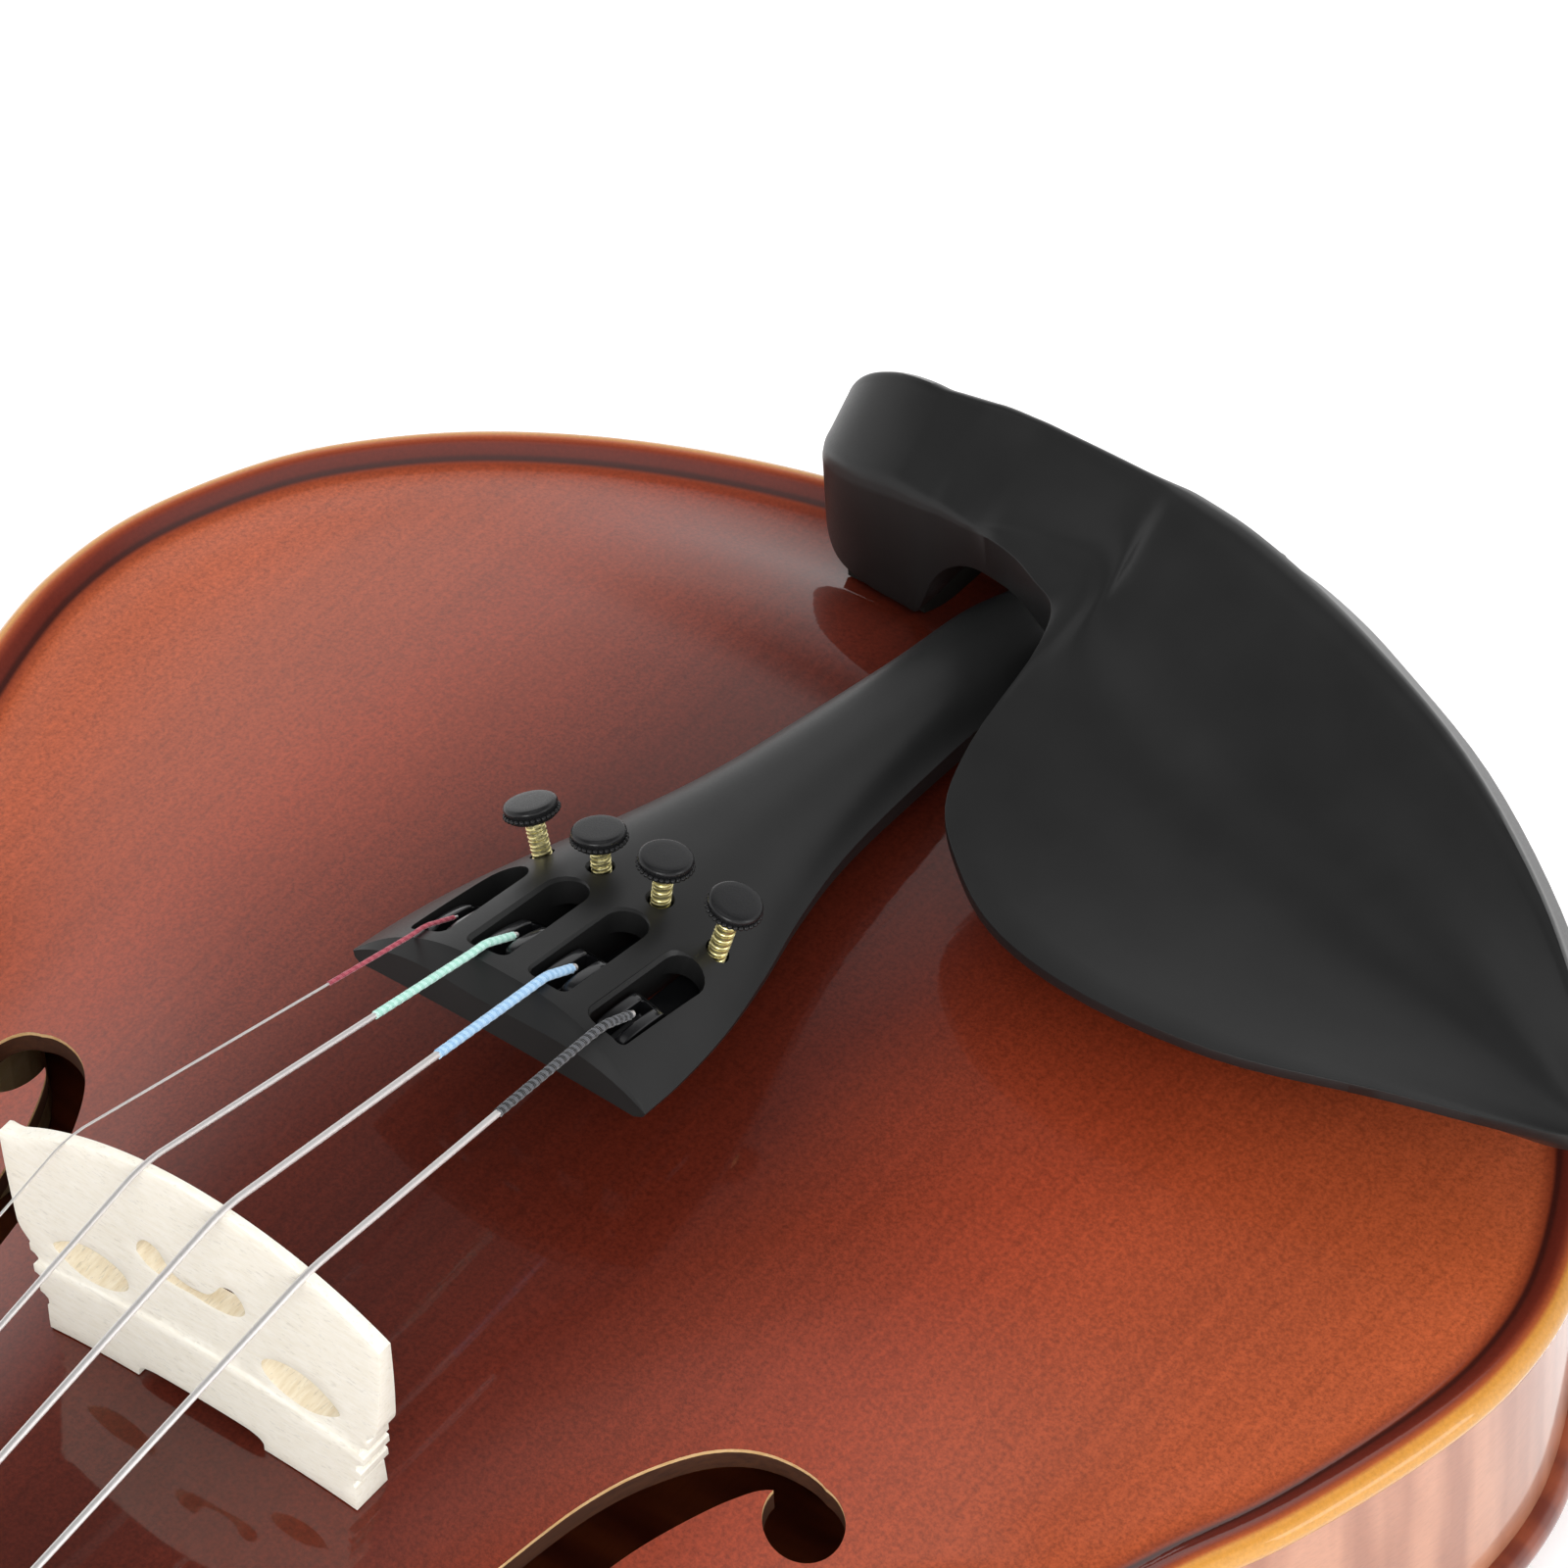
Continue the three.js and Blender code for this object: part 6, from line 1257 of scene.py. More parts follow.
def make_lever(label, matrix, exposure):
    """A tuner's lever: a forked head that holds the string's end, and an arm under the screw."""
    reach, arm_top, thick = 5.1, 6.4 - 5.8, 2.0
    end = SCREW_AT + 2.6 - LEVER_AT
    head = spline([
        (-0.8, 0.1), (-0.92, 0.6), (-0.9, 0.93), (-0.78, 1.02), (0.1, 1.03), (0.48, 0.94), (0.64, 0.72), (0.6, 0.34),
    ], 5) * reach
    line = np.vstack([
        head, [(reach * 0.7, arm_top + 0.35), (reach * 0.95, arm_top)],
        [(end - 0.5, arm_top), (end, arm_top - 0.5), (end, arm_top - thick + 0.4), (end - 0.4, arm_top - thick)],
        [(reach * 0.4, arm_top - thick * 1.4), (-reach * 0.4, arm_top - thick * 1.2)],
    ])
    tilt = math.atan((9.5 - exposure + 0.4 - 5.8) / (SCREW_AT - LEVER_AT))
    standing = matrix @ Matrix.Translation((0, LEVER_AT, -6.4)) @ Matrix.Rotation(-tilt, 4, "X")
    rings = [np.c_[np.full(len(line), x), line] for x in (-2.1, 2.1)]
    lever = solid("tuner_lever_" + label + "_fork", loft(rings), material("blackened_metal"))
    cut(lever, prism(rectangle(-0.75, 0.75, -reach - 2, reach * 0.4), reach - 2.4, reach + 2))
    eased(lever, 0.25, 3, 50)
    lever.data.transform(in_metres(standing))
    resharpen(lever, 35)
    settle(lever, "tuner_lever_" + label, "blackened_metal", "tuner_lever_" + label)


# Strings


def peg_radius(along, half):
    """The peg's taper, at a distance from the middle of a pegbox of that half width."""
    return lerp(PEG_TIP, PEG_ROOT, (along + half) / (2 * half))


def peg_frame(order, place):
    """Where a peg stands, with its head towards X of this frame, and half the pegbox's width there."""
    y, z, half, side = peg_axis(order, place)
    return Matrix.Translation((0, y, z)) @ Matrix.Rotation(0 if side > 0 else np.pi, 4, "Z"), half


def peg_axis(order, place):
    y, half, top, bottom = pegbox_at(place)
    return y, (top + bottom) / 2, half, 1 if order > 0 else -1


def nut_top(x):
    return board_top(NUT_Y) + 0.7 - crown_drop(x, BOARD_RADIUS)


def string_at_nut(order, gauge):
    x = order / 3 * NUT_SPAN
    return array((x, NUT_Y + NUT_LENGTH * 0.2, nut_top(x) + gauge / 2 + 0.12))


def winding(order, gauge, place):
    """The string's turns on its peg, and the place where it comes onto the peg."""
    y, z, half, side = peg_axis(order, place)
    radius = gauge / 2 + 0.1
    reel = PEG_ROOT + radius + 0.15
    start = string_at_nut(order, gauge)
    touch = array((y, z + reel))
    for _ in range(4):
        direction = touch - array((start[1] + NUT_LENGTH, start[2] - 0.7))
        direction /= np.linalg.norm(direction)
        touch = array((y - direction[1] * reel, z + direction[0] * reel))
    pitch = 2 * radius + 0.5
    start_x = side * (half - 4.6 - radius - 0.5 - pitch * 3)
    turn = np.linspace(0, 3, 3 * 36 + 1)
    angle = turn * 2 * np.pi
    out = array((-direction[1], direction[0]))
    ys = y + reel * (out[0] * np.cos(angle) + direction[0] * np.sin(angle))
    zs = z + reel * (out[1] * np.cos(angle) + direction[1] * np.sin(angle))
    turns = np.stack([start_x + side * pitch * turn, ys, zs], 1)
    finish = array((start_x, touch[0] - direction[0] * 0.2, touch[1] - direction[1] * 0.2))
    return turns, finish


def bent(corners, reach=2.4, steps=6):
    """Straight stretches with a round bend at each corner."""
    corners = array(corners)
    made = [corners[0]]
    for before, here, after in zip(corners, corners[1:], corners[2:]):
        back, on = before - here, after - here
        room = min(np.linalg.norm(back), np.linalg.norm(on)) / 3
        a = here + back / np.linalg.norm(back) * min(reach, room)
        c = here + on / np.linalg.norm(on) * min(reach, room)
        for t in np.linspace(0, 1, steps + 1):
            made.append((1 - t) ** 2 * a + 2 * t * (1 - t) * (0.75 * here + 0.125 * (a + c)) + t * t * c)
    made.append(corners[-1])
    return array(made)


def string_corners(order, gauge, place):
    radius = gauge / 2
    x = order * RIDGE_SPACING
    anchor = carried([(0, 7.4, -1.1)], tuner_frame(order))[0]
    landing = radius + 0.24 - float(tail_drop(x, TAIL_HALF, TAIL_CROWN))
    ridge, land = tail_points(x, 0, landing), tail_points(x, 2.2, landing)
    across = order * BRIDGE_SPACING
    top = BELLY_CREST + float(bridge_crown(across)) + radius + 0.12
    at_nut = string_at_nut(order, gauge)
    beyond = array((at_nut[0], NUT_Y + NUT_LENGTH, at_nut[2] - 0.7))
    return [anchor, land, ridge, (across, 0, top), at_nut, beyond, winding(order, gauge, place)[1]]


SILK = {"g": ("silk_black", 17.9), "d": ("silk_blue", 16.8), "a": ("silk_mint", 16.1), "e": ("silk_red", 12.9)}


def stretch(path, start, end):
    """The part of a path between two distances along it."""
    along = reached(path)
    end = min(end, along[-1])
    return resampled(path, np.unique(np.concatenate([[start, end], along[(along > start) & (along < end)]])))


def silk_wrap(name, paths, gauge, coat):
    """Four threads laid side by side round each path, two light and two dark, as the silk on a string's end."""
    thread, count, sides = 0.13, 4, 6
    lines = []
    for path in paths:
        lines.extend(strands(path, gauge / 2 + 0.02, thread * 2 * count * 0.92, count, 0.13))
    made = tube(name, lines, thread, sides, coat)
    shade = np.zeros(len(made.data.vertices), np.float32)
    start = 0
    for i, line in enumerate(lines):
        shade[start:start + len(line) * sides] = i // 2 % 2
        start += len(line) * sides
    made.data.attributes.new("strand", "FLOAT", "POINT").data.foreach_set("value", shade)
    return made


def make_strings():
    """Steel strings with a wound cover, silk at both ends, and their turns on the pegs."""
    for label, order, gauge, _, place in STRINGS:
        coat, reach = SILK[label]
        corners = string_corners(order, gauge, place)
        path = bent(corners)
        wire = tube("string_" + label + "_wound", [path], gauge / 2, 12, material("string_metal"))
        settle(wire, BODY, "string_metal", "string_" + label)
        total = np.linalg.norm(np.diff(path, axis=0), axis=1).sum()
        to_ridge = np.linalg.norm(path[0] - corners[2])
        low = stretch(path, 0.6, to_ridge + reach)
        high = stretch(path, total - 16, total)
        silk = silk_wrap("silk_" + label, [low, high], gauge, material(coat))
        settle(silk, BODY, coat)
        wound = silk_wrap("turns_" + label, [winding(order, gauge, place)[0]], gauge, material(coat))
        settle(wound, "peg_" + label, coat, "winding_" + label)


# Bridge


def foot_height(x):
    """Height of the bridge's sole over the crest of the belly."""
    return belly_at(x, 0.0)[0] - BELLY_CREST + SEAT_GAP


def make_bridge():
    """A cut and pierced maple bridge: heart, kidneys, stepped legs and thin crown."""
    foot_out, foot_in, foot_high = 21.3, 8.7, 3.0
    side = [(foot_out, 0.6), (foot_out, foot_high - 0.3), (foot_out - 0.3, foot_high)]
    for i in range(3):
        z, x = foot_high + i * 2.75, foot_out + 0.5 + i * 0.55
        side += [(x - 0.75, z + 0.02), (x - 0.7, z + 0.78), (x - 0.2, z + 1.2), (x + 0.36, z + 1.34)]
        side += [(x + 0.42, z + 2.4), (x + 0.3, z + 2.58)]
    side += [tuple(p) for p in spline([(23.2, 11.3), (24.5, 13.0), (25.0, 16.0), (25.5, 21.0), (25.9, 26.6)], 6)]
    crown = [(x, max(float(bridge_crown(x)), 26.9)) for x in np.linspace(25.3, -25.3, 61)]
    arch = spline([
        (-foot_in, 0.9), (-foot_in + 0.5, 1.45), (-foot_in + 1.8, 1.85), (-4.5, 2.0), (0, 2.05), (4.5, 2.0),
        (foot_in - 1.8, 1.85), (foot_in - 0.5, 1.45), (foot_in, 0.9),
    ], 5)
    soles = []
    for start, end in ((-foot_out, -foot_in), (foot_in, foot_out)):
        soles.append([(x, foot_height(x)) for x in np.linspace(start, end, 9)])
    outline = np.array(side + crown + [(-x, z) for x, z in side[::-1]] + soles[0] + [tuple(p) for p in arch] + soles[1])
    steps = np.linalg.norm(outline - np.roll(outline, -1, axis=0), axis=1)
    outline = outline[steps > 0.03]
    holes = [heart_outline(), *(kidney_outline(s) for s in (1, -1))]
    gx, gy = np.meshgrid(np.arange(-25.5, 26, 1.6), np.arange(-5, 35, 1.6))
    grid = np.stack([gx.ravel(), gy.ravel()], 1)
    near = np.minimum.reduce([distances(grid, line) for line in (outline, *holes)])
    extra = grid[inside(grid, outline) & (near > 0.8)]
    for shift in (-0.25, 0, 0.25):
        xs = np.arange(-22.5, 22.6, 0.75)
        row = np.stack([xs, 10.6 - 0.004 * xs ** 2 + shift], 1)
        clear = np.minimum.reduce([distances(row, line) for line in (outline, *holes)])
        extra = np.vstack([extra, row[inside(row, outline) & (clear > 0.4)]])
    flat, faces = triangulated(outline, holes, extra)
    half = lerp(4.4, 1.1, np.maximum(flat[:, 1], 0) / BRIDGE_HEIGHT) / 2
    # The legs stand a little proud of the thinned upper part, with a ledge from kidney to side
    ledge = 10.6 - 0.004 * flat[:, 0] ** 2
    half = half + 0.3 * (1 - smoothstep(ledge - 0.15, ledge + 0.15, flat[:, 1]))
    count = len(flat)
    front = np.stack([flat[:, 0], half, BELLY_CREST + flat[:, 1]], 1)
    back = front * (1, -1, 1)
    points = np.vstack([front, back])
    made = [tuple(f[::-1]) for f in faces] + [tuple(count + i for i in f) for f in faces]
    slots = [0] * len(made)
    hole_line = np.vstack(holes)
    # Walls round the holes get the sawn finish: darker end grain, and partly painted shade inside the holes
    for a, b in border(faces):
        made.append((a, b, count + b, count + a))
        slots.append(int(np.abs(hole_line - flat[a]).sum(1).min() < 0.01))
    coats = [material("bare_maple"), material("sawn_maple")]
    bridge = outwards(new_object("bridge_carved", points, made, coats, slots))
    eased(bridge, 0.28, 2, 60)
    resharpen(bridge, 32)
    settle(bridge, BODY, "bare_maple", "bridge")


def heart_outline():
    shares = [
        (1, 0.42), (0.96, 0.75), (0.8, 0.97), (0.6, 0.9), (0.46, 0.6), (0.3, 0.34), (0, 0.26), (-0.3, 0.34),
        (-0.46, 0.6), (-0.6, 0.9), (-0.8, 0.97), (-0.96, 0.75), (-1, 0.42), (-0.78, 0.12), (-0.34, 0), (0, 0.03),
        (0.34, 0), (0.78, 0.12), (1, 0.42),
    ]
    return spline(shares, 5)[:-1] * (7.4, 4.6) + (0, 18.3)


def kidney_outline(side):
    """A teardrop, round towards the middle and pointed towards the side."""
    angle = np.linspace(0, 2 * np.pi, 40, endpoint=False)
    x = 5.3 * np.cos(angle)
    z = 2.7 * np.sin(angle) * (1 - 0.45 * np.maximum(np.cos(angle), 0) ** 2)
    return np.stack([side * (14.4 + x), 13.3 + z - 0.06 * x], 1)


# Chin rest

CHIN_DEPTH, CHIN_HEIGHT = 70.0, 28.0
CHIN_SHARES = array([
    (-0.967, 0.714, 0.571, 0.093, 0.564, 0.68, 0.579, 0.66, 0.464),
    (-0.928, 0.751, 0.589, 0.107, 0.536, 0.643, 0.621, 0.609, 0.443),
    (-0.861, 0.791, 0.607, 0.114, 0.514, 0.549, 0.693, 0.494, 0.429),
    (-0.753, 0.851, 0.643, 0.114, 0.507, 0.417, 0.771, 0.357, 0.414),
    (-0.583, 0.943, 0.679, 0.118, 0.529, 0.266, 0.864, 0.186, 0.393),
    (-0.411, 0.971, 0.707, 0.121, 0.564, 0.169, 0.936, 0.057, 0.357),
    (-0.297, 0.94, 0.721, 0.125, 0.625, 0.123, 0.971, -0.054, 0.2),
    (-0.22, 0.871, 0.74, 0.129, 0.69, 0.1, 0.993, -0.1, 0.164),
    (-0.167, 0.794, 0.76, 0.136, 0.745, 0.091, 1, -0.106, 0.164),
    (-0.138, 0.671, 0.785, 0.143, 0.785, 0.087, 1, -0.1, 0.179),
    (-0.117, 0.443, 0.825, 0.164, 0.83, 0.087, 1, -0.057, 0.357),
    (-0.096, 0.363, 0.845, 0.214, 0.86, 0.087, 1, 0.009, 0.607),
    (-0.029, 0.317, 0.86, 0.243, 0.9, 0.087, 1, 0.014, 0.629),
    (0.048, 0.294, 0.85, 0.243, 0.91, 0.089, 1, 0.014, 0.629),
    (0.096, 0.286, 0.864, 0.3, 0.929, 0.097, 1.007, 0, 0.586),
    (0.115, 0.286, 0.857, 0.586, 0.921, 0.106, 1.011, -0.086, 0.214),
    (0.191, 0.283, 0.85, 0.586, 0.914, 0.129, 1.007, -0.1, 0.171),
    (0.249, 0.269, 0.836, 0.55, 0.886, 0.143, 0.964, -0.069, 0.193),
    (0.281, 0.229, 0.75, 0.429, 0.8, 0.143, 0.85, 0.014, 0.286),
    (0.293, 0.191, 0.643, 0.25, 0.664, 0.143, 0.693, 0.071, 0.379),
])
CLAMP_X = LOWER_BOUT / 2 * 0.1914
CLAMP_Y = LOWER_END - 3.8
FEET_BOTTOM = BELLY_EDGE + 2.6
STUD_TOP = BELLY_EDGE + 4 - 12 + 20
PADS_FROM = LOWER_END + 5.6 + 0.6


def chin_section(row):
    at, front, top, wall, dish, ridge, crest, rear, under = row
    x = at * LOWER_BOUT / 2
    front, ridge, rear = (LOWER_END + v * CHIN_DEPTH for v in (front, ridge, rear))
    top, dish, crest, under = (BELLY_EDGE + v * CHIN_HEIGHT for v in (top, dish, crest, under))
    wall = wall * CHIN_HEIGHT
    inner = min(dish - wall, top - wall + (dish - top) / 2)
    lip = max(wall - 1.7, 1.36)

    def behind(share):
        y = lerp(ridge, rear, share)
        return (y, max(crest - 1.42 * (ridge - y), under + 1.7 * (2 - share)))

    def over(share):
        return lerp(front, ridge, share)

    upper = [
        (front, top), (over(0.3), lerp(top, dish, 0.75)), (over(0.6), dish), (over(0.86), lerp(dish, crest, 0.72)),
        (ridge, crest), behind(0.4), behind(0.8), behind(1),
    ]
    lower = [
        (rear, under), (lerp(rear, ridge, 0.75), under), (over(0.8), max(under, inner - wall * 0.4)),
        (over(0.55), inner), (over(0.25), inner), (front, top - lip),
    ]
    return np.array([(x, *p) for p in upper + lower])


def treble_section(x, under):
    """The arm past the tailpiece: a straight front and sole, whose height is the arch's over the tailpiece."""
    table = CHIN_SHARES.T
    at = x / (LOWER_BOUT / 2)
    row = [at] + [float(np.interp(at, table[0], column)) for column in table[1:]]
    section = chin_section(row)
    soft = max(lerp(0.6, 3.4, (x - 2) / 17.5), 0.6)
    section[0, 2] -= max(min((x - 2) / 6, 1), 0) * 1.0
    front, top = section[0, 1:]
    share = min(max((x + 11) / 16, 0), 1)
    section[0, 1:] = (front, top - soft)
    section[1, 1:] = lerp(section[1, 1:], array((front - 0.3 * soft, top - 0.28 * soft)), share)
    section[2, 1:] = lerp(section[2, 1:], array((front - soft, top + 0.12 * soft)), share)
    section[8:, 2] = [under + 1.2, under, under, under, under, under + 0.3]
    return section


def rounded_end(section, start, end, steps):
    """Sections past the last full one: a half round from above, whose top and sole turn over at its very end."""
    low, high = section[:, 2].min(), section[:, 2].max()
    middle = (section[:, 1].min() + section[:, 1].max()) / 2
    hip = low + 0.4 * (high - low)
    front, crest = section[:, 1].max(), section[section[:, 2].argmax(), 1]
    forward = np.clip((section[:, 1] - crest) / (front - crest), 0, 1)

    def left(t, since, power=2.0):
        return max((1 - (max(t - since, 0) / (1 - since)) ** power) ** (1 / power), 0.03)

    made = []
    for t in np.sin(np.linspace(0, np.pi / 2, steps + 1))[1:]:
        ring = section.copy()
        ring[:, 0] = lerp(start, end, t)
        ring[:, 1] = middle + (section[:, 1] - middle) * left(t, 0, 2.4)
        above = section[:, 2] > hip
        rise = section[:, 2] - hip - np.where(above, 3.4 * t * forward, 0)
        ring[:, 2] = hip + rise * np.where(above, left(t, 0.0, 2.1), left(t, 0.55))
        made.append(ring)
    return made


def make_chin_rest():
    """A moulded plate with a dished top, a raised ridge behind it and an arm over the tailpiece."""
    sections = [chin_section(row) for row in CHIN_SHARES if row[0] < -0.1]
    sole = FEET_BOTTOM + 0.2
    arch = (
        (-9.6, 66.2), (-6, 66.6), (-2, 66.9), (2, 66.7), (5, 66.0), (7, 65.0), (9, 63.3), (10.6, 61.3), (12, 58.7),
        (13.2, 55.2), (14.4, sole), (16, sole), (17.5, sole),
    )
    sections += [treble_section(*place) for place in arch]
    sections += rounded_end(sections[-1], 17.5, 33.6, 16)
    columns = [spline(column, 5) for column in np.array(sections).transpose(1, 0, 2)]
    rings = []
    for row in np.stack(columns, 1):
        rings.append(np.vstack([spline(row[:8], 4), spline(row[8:], 3)]))
    coat = material("black_plastic")
    plate = eased(solid("chin_rest_moulded", loft(rings), coat), 0.5, 3, 52)
    corners = rectangle(-CLAMP_X - 7, -CLAMP_X + 7, PADS_FROM, PADS_FROM + 13.5)
    foot = eased(solid("foot", prism(corners, sole, STUD_TOP - 3), coat), 0.8, 3)
    whole = merged("chin_rest_and_feet", plate, foot)
    for side in (-1, 1):
        bore = turned([(1.85, BELLY_EDGE - 5), (1.85, STUD_TOP + 0.2)], 24, "z", (side * CLAMP_X, CLAMP_Y, 0))
        cut(whole, bore)
    resharpen(whole, 40)
    settle(whole, BODY, "black_plastic", "chin_rest")

    for side, label in ((-1, "bass"), (1, "treble")):
        x = side * CLAMP_X
        xs, ys = np.meshgrid(np.linspace(x - 5.6, x + 5.6, 9), np.linspace(PADS_FROM, PADS_FROM + 12, 9))
        low = belly_at(xs.ravel(), ys.ravel()) + SEAT_GAP
        flat = np.stack([xs.ravel(), ys.ravel()], 1)
        points = np.vstack([np.c_[flat, low], np.c_[flat, np.full(81, FEET_BOTTOM)]])
        faces = []
        for r in range(8):
            for c in range(8):
                a = r * 9 + c
                faces += [(a, a + 9, a + 10, a + 1), (81 + a, 81 + a + 1, 81 + a + 10, 81 + a + 9)]
        rim = [*range(0, 9), *range(17, 81, 9), *range(79, 71, -1), *range(63, 0, -9)]
        faces += [(a, b, 81 + b, 81 + a) for a, b in zip(rim, rim[1:] + rim[:1])]
        pad = outwards(new_object("chin_rest_pad_" + label, points, faces, [material("blackened_cork")]))
        settle(pad, BODY, "cork", "chin_rest_cork_" + label)


def make_clamp():
    """The chin rest's clamp: a slotted barrel on each side, with a threaded stud above and the foot's post below."""
    steel = material("plated_steel")
    high, low = BELLY_EDGE + 4, BELLY_EDGE + 4 - 30
    for side, label in ((-1, "bass"), (1, "treble")):
        at = (side * CLAMP_X, CLAMP_Y, 0)
        rod = turned([(0.01, high - 12), (1.3, high - 12), (1.3, STUD_TOP), (0.01, STUD_TOP)], 16, "z", at)
        stud = new_object("stud", *rod, [steel])
        path = [line + array(at) for line in screw_paths(1.32, high - 11.8, STUD_TOP - 3.2, 0.7)]
        thread = tube("thread", path, 0.24, 6, steel)
        settle(merged("clamp_stud_" + label, stud, thread), BODY, "plated_steel", "chin_rest_stud_" + label)
        wall = [
            (1.86, low), (2.9, low), (3.2, low + 0.3), (3.2, low + 3), (2.9, low + 3.3), (2.9, low + 3.9),
            (3.2, low + 4.2), (3.2, high - 4.2), (2.9, high - 3.9), (2.9, high - 3.3), (3.2, high - 3),
            (3.2, high - 0.3), (2.9, high), (1.86, high), (1.86, low),
        ]
        points, faces = turned(wall, 40, "z", at)
        barrel = outwards(new_object("clamp_barrel_" + label + "_turned", points, faces[:-2], [steel]))
        for height in (high - 9, low + 9):
            for turn in (0, np.pi / 2):
                hole = turned([(0.75, -4.5), (0.75, 4.5)], 16, "x")
                spun = Matrix.Translation((at[0], at[1], height)) @ Matrix.Rotation(turn, 4, "Z")
                cut(barrel, moved(hole, spun))
        resharpen(barrel, 35)
        settle(barrel, "clamp_barrel_" + label, "plated_steel", "clamp_barrel_" + label)
    top = 11.0 - 1.2 - 4.1
    corners = rectangle(-CLAMP_X - 4, CLAMP_X + 4, CLAMP_Y - 4, CLAMP_Y + 18)
    parts = [eased(solid("base", prism(corners, top - 2.2, top), steel), 0.7, 3)]
    for side in (-1, 1):
        at = (side * CLAMP_X, CLAMP_Y, 0)
        post = turned([(0.01, top - 1), (1.3, top - 1), (1.3, low + 12), (0.01, low + 12)], 16, "z", at)
        parts.append(new_object("post", *post, [steel]))
        path = [line + array(at) for line in screw_paths(1.32, top + 1, low + 11.8, 0.7)]
        parts.append(tube("thread", path, 0.24, 6, steel))
    settle(merged("clamp_foot_plate", *parts), "clamp_foot", "plated_steel", "clamp_foot")


# End fittings


def make_end_fittings():
    """Saddle, tail gut with its nuts, and end button."""
    top = BELLY_EDGE + 5
    shares = [(1, 0.02), (0.97, 0.22), (0.86, 0.55), (0.7, 0.8), (0.52, 0.95), (0.4, 1), (0, 1.0)]
    half = spline(shares, 5) * (18.0, 5.0) + (0, BELLY_EDGE)
    line = np.vstack([half, (half * (-1, 1))[-2::-1], [(-18, BELLY_JOINT + 0.2), (18, BELLY_JOINT + 0.2)]])
    rings = [np.c_[line[:, 0], np.full(len(line), y), line[:, 1]] for y in (LOWER_END, LOWER_END + 5.6)]
    saddle = solid("saddle_carved", loft(rings), material("ebony"))
    eased(saddle, 0.9, 4, 60)
    settle(resharpen(saddle, 40), BODY, "ebony", "saddle")

    reach = 15.0
    profile = [(0.01, 15), (3.42, 15), (3.8, -0.2), (7.0, -0.2), (7.2, -0.5), (7.2, -2.6), (6.9, -3.0), (5.6, -3.6)]
    profile += [(5.1, -4.2), (5.0, -5.2), (5.0, -7.4), (5.3, -8.4), (6.3, -9.4), (7.0, -10.4), (7.05, -12.4)]
    profile += [(6.9, -13.4), (6.4, -14.3), (5.4, -14.8), (4.0, -15.0), (0.01, -reach)]
    shape = turned(profile, 56, "y", (0, LOWER_END + OVERHANG, BUTTON_Z))
    settle(solid("end_button_turned", shape, material("ebony")), BODY, "ebony", "end_button")

    radius = 1.1
    clear = radius + 0.12
    frame_at = tail_frame(0, 0, 0)
    end = TAIL_LENGTH - 3
    nut_at = end - 0.2 - 1.5

    def on_line(x, s):
        return carried([(x, s, -GUT_DEPTH)], frame_at)[0]

    def round_saddle(back, up):
        return array((4.5, LOWER_END - back * clear, top + up * clear))

    loop = 5.0 + radius + 0.1
    gut_y = LOWER_END + OVERHANG - reach * 0.4
    half = [
        on_line(GUT_SPREAD, nut_at - 3), on_line(GUT_SPREAD, TAIL_LENGTH + radius), round_saddle(-5.6 / clear - 1, 1.1),
        round_saddle(-1, 1.05), round_saddle(0, 1.1), round_saddle(0.8, 0.8),
        round_saddle(1.1, 0), round_saddle(1.05, -1),
        array((4.5, lerp(LOWER_END - clear, gut_y, 0.6), BELLY_JOINT)),
        array((lerp(4.5, loop, 0.7), gut_y, lerp(BELLY_JOINT, BUTTON_Z, 0.6))),
    ]
    arc = [array((loop * math.cos(a), gut_y, BUTTON_Z - loop * math.sin(a))) for a in np.linspace(0, np.pi, 9)]
    other = [p * (-1, 1, 1) for p in half[::-1]]
    gut = tube("tail_gut_cord", [spline(half + arc + other, 5)], radius, 16, material("nylon"))
    settle(gut, BODY, "nylon", "tail_gut")
    for side, label in ((-1, "bass"), (1, "treble")):
        place = Matrix.Translation(Vector(on_line(side * GUT_SPREAD, nut_at).tolist())) @ frame_at.to_3x3().to_4x4()
        wall = [(1.2, -1.5), (1.45, -1.5), (1.6, -1.35), (1.6, 1.35), (1.45, 1.5), (1.2, 1.5), (1.2, -1.5)]
        ring = turned(wall, 32, "y")
        nut = new_object("gut_nut_" + label, carried(ring[0], place), ring[1][:-2], [material("plated_steel")])
        settle(outwards(nut), BODY, "plated_steel", "tail_gut_nut_" + label)


# Neck, scroll, fingerboard and pegs


def neck_section(y, top_half, bottom_half, depth, count=24):
    top = board_under(y) - SEAT_GAP
    angle = np.linspace(0, np.pi, count + 1)
    across = np.sign(np.cos(angle)) * np.abs(np.cos(angle)) ** 0.62
    down = np.abs(np.sin(angle)) ** 0.8
    return np.stack([across * lerp(top_half, bottom_half, down), np.full(count + 1, y), top - depth * down], 1)


def scroll_line(quarter):
    """A point of the spiral, and the half width of the scroll there."""
    shares = [1, 0.965, 0.92, 0.84, 0.66, 0.54, 0.45, 0.385, 0.33, 0.29, 0.26, 0.235]
    smooth = spline([(float(i), v, 0.0) for i, v in enumerate(shares)], 8)
    radius = 20.2 * np.interp(quarter, smooth[:, 0], smooth[:, 1])
    angle = quarter * np.pi / 2
    y = NUT_Y + 107 - 20.2 * 0.965
    z = board_under(y) - 13.8
    return np.stack([y + np.sin(angle) * radius, z - np.cos(angle) * radius], -1), (y, z)


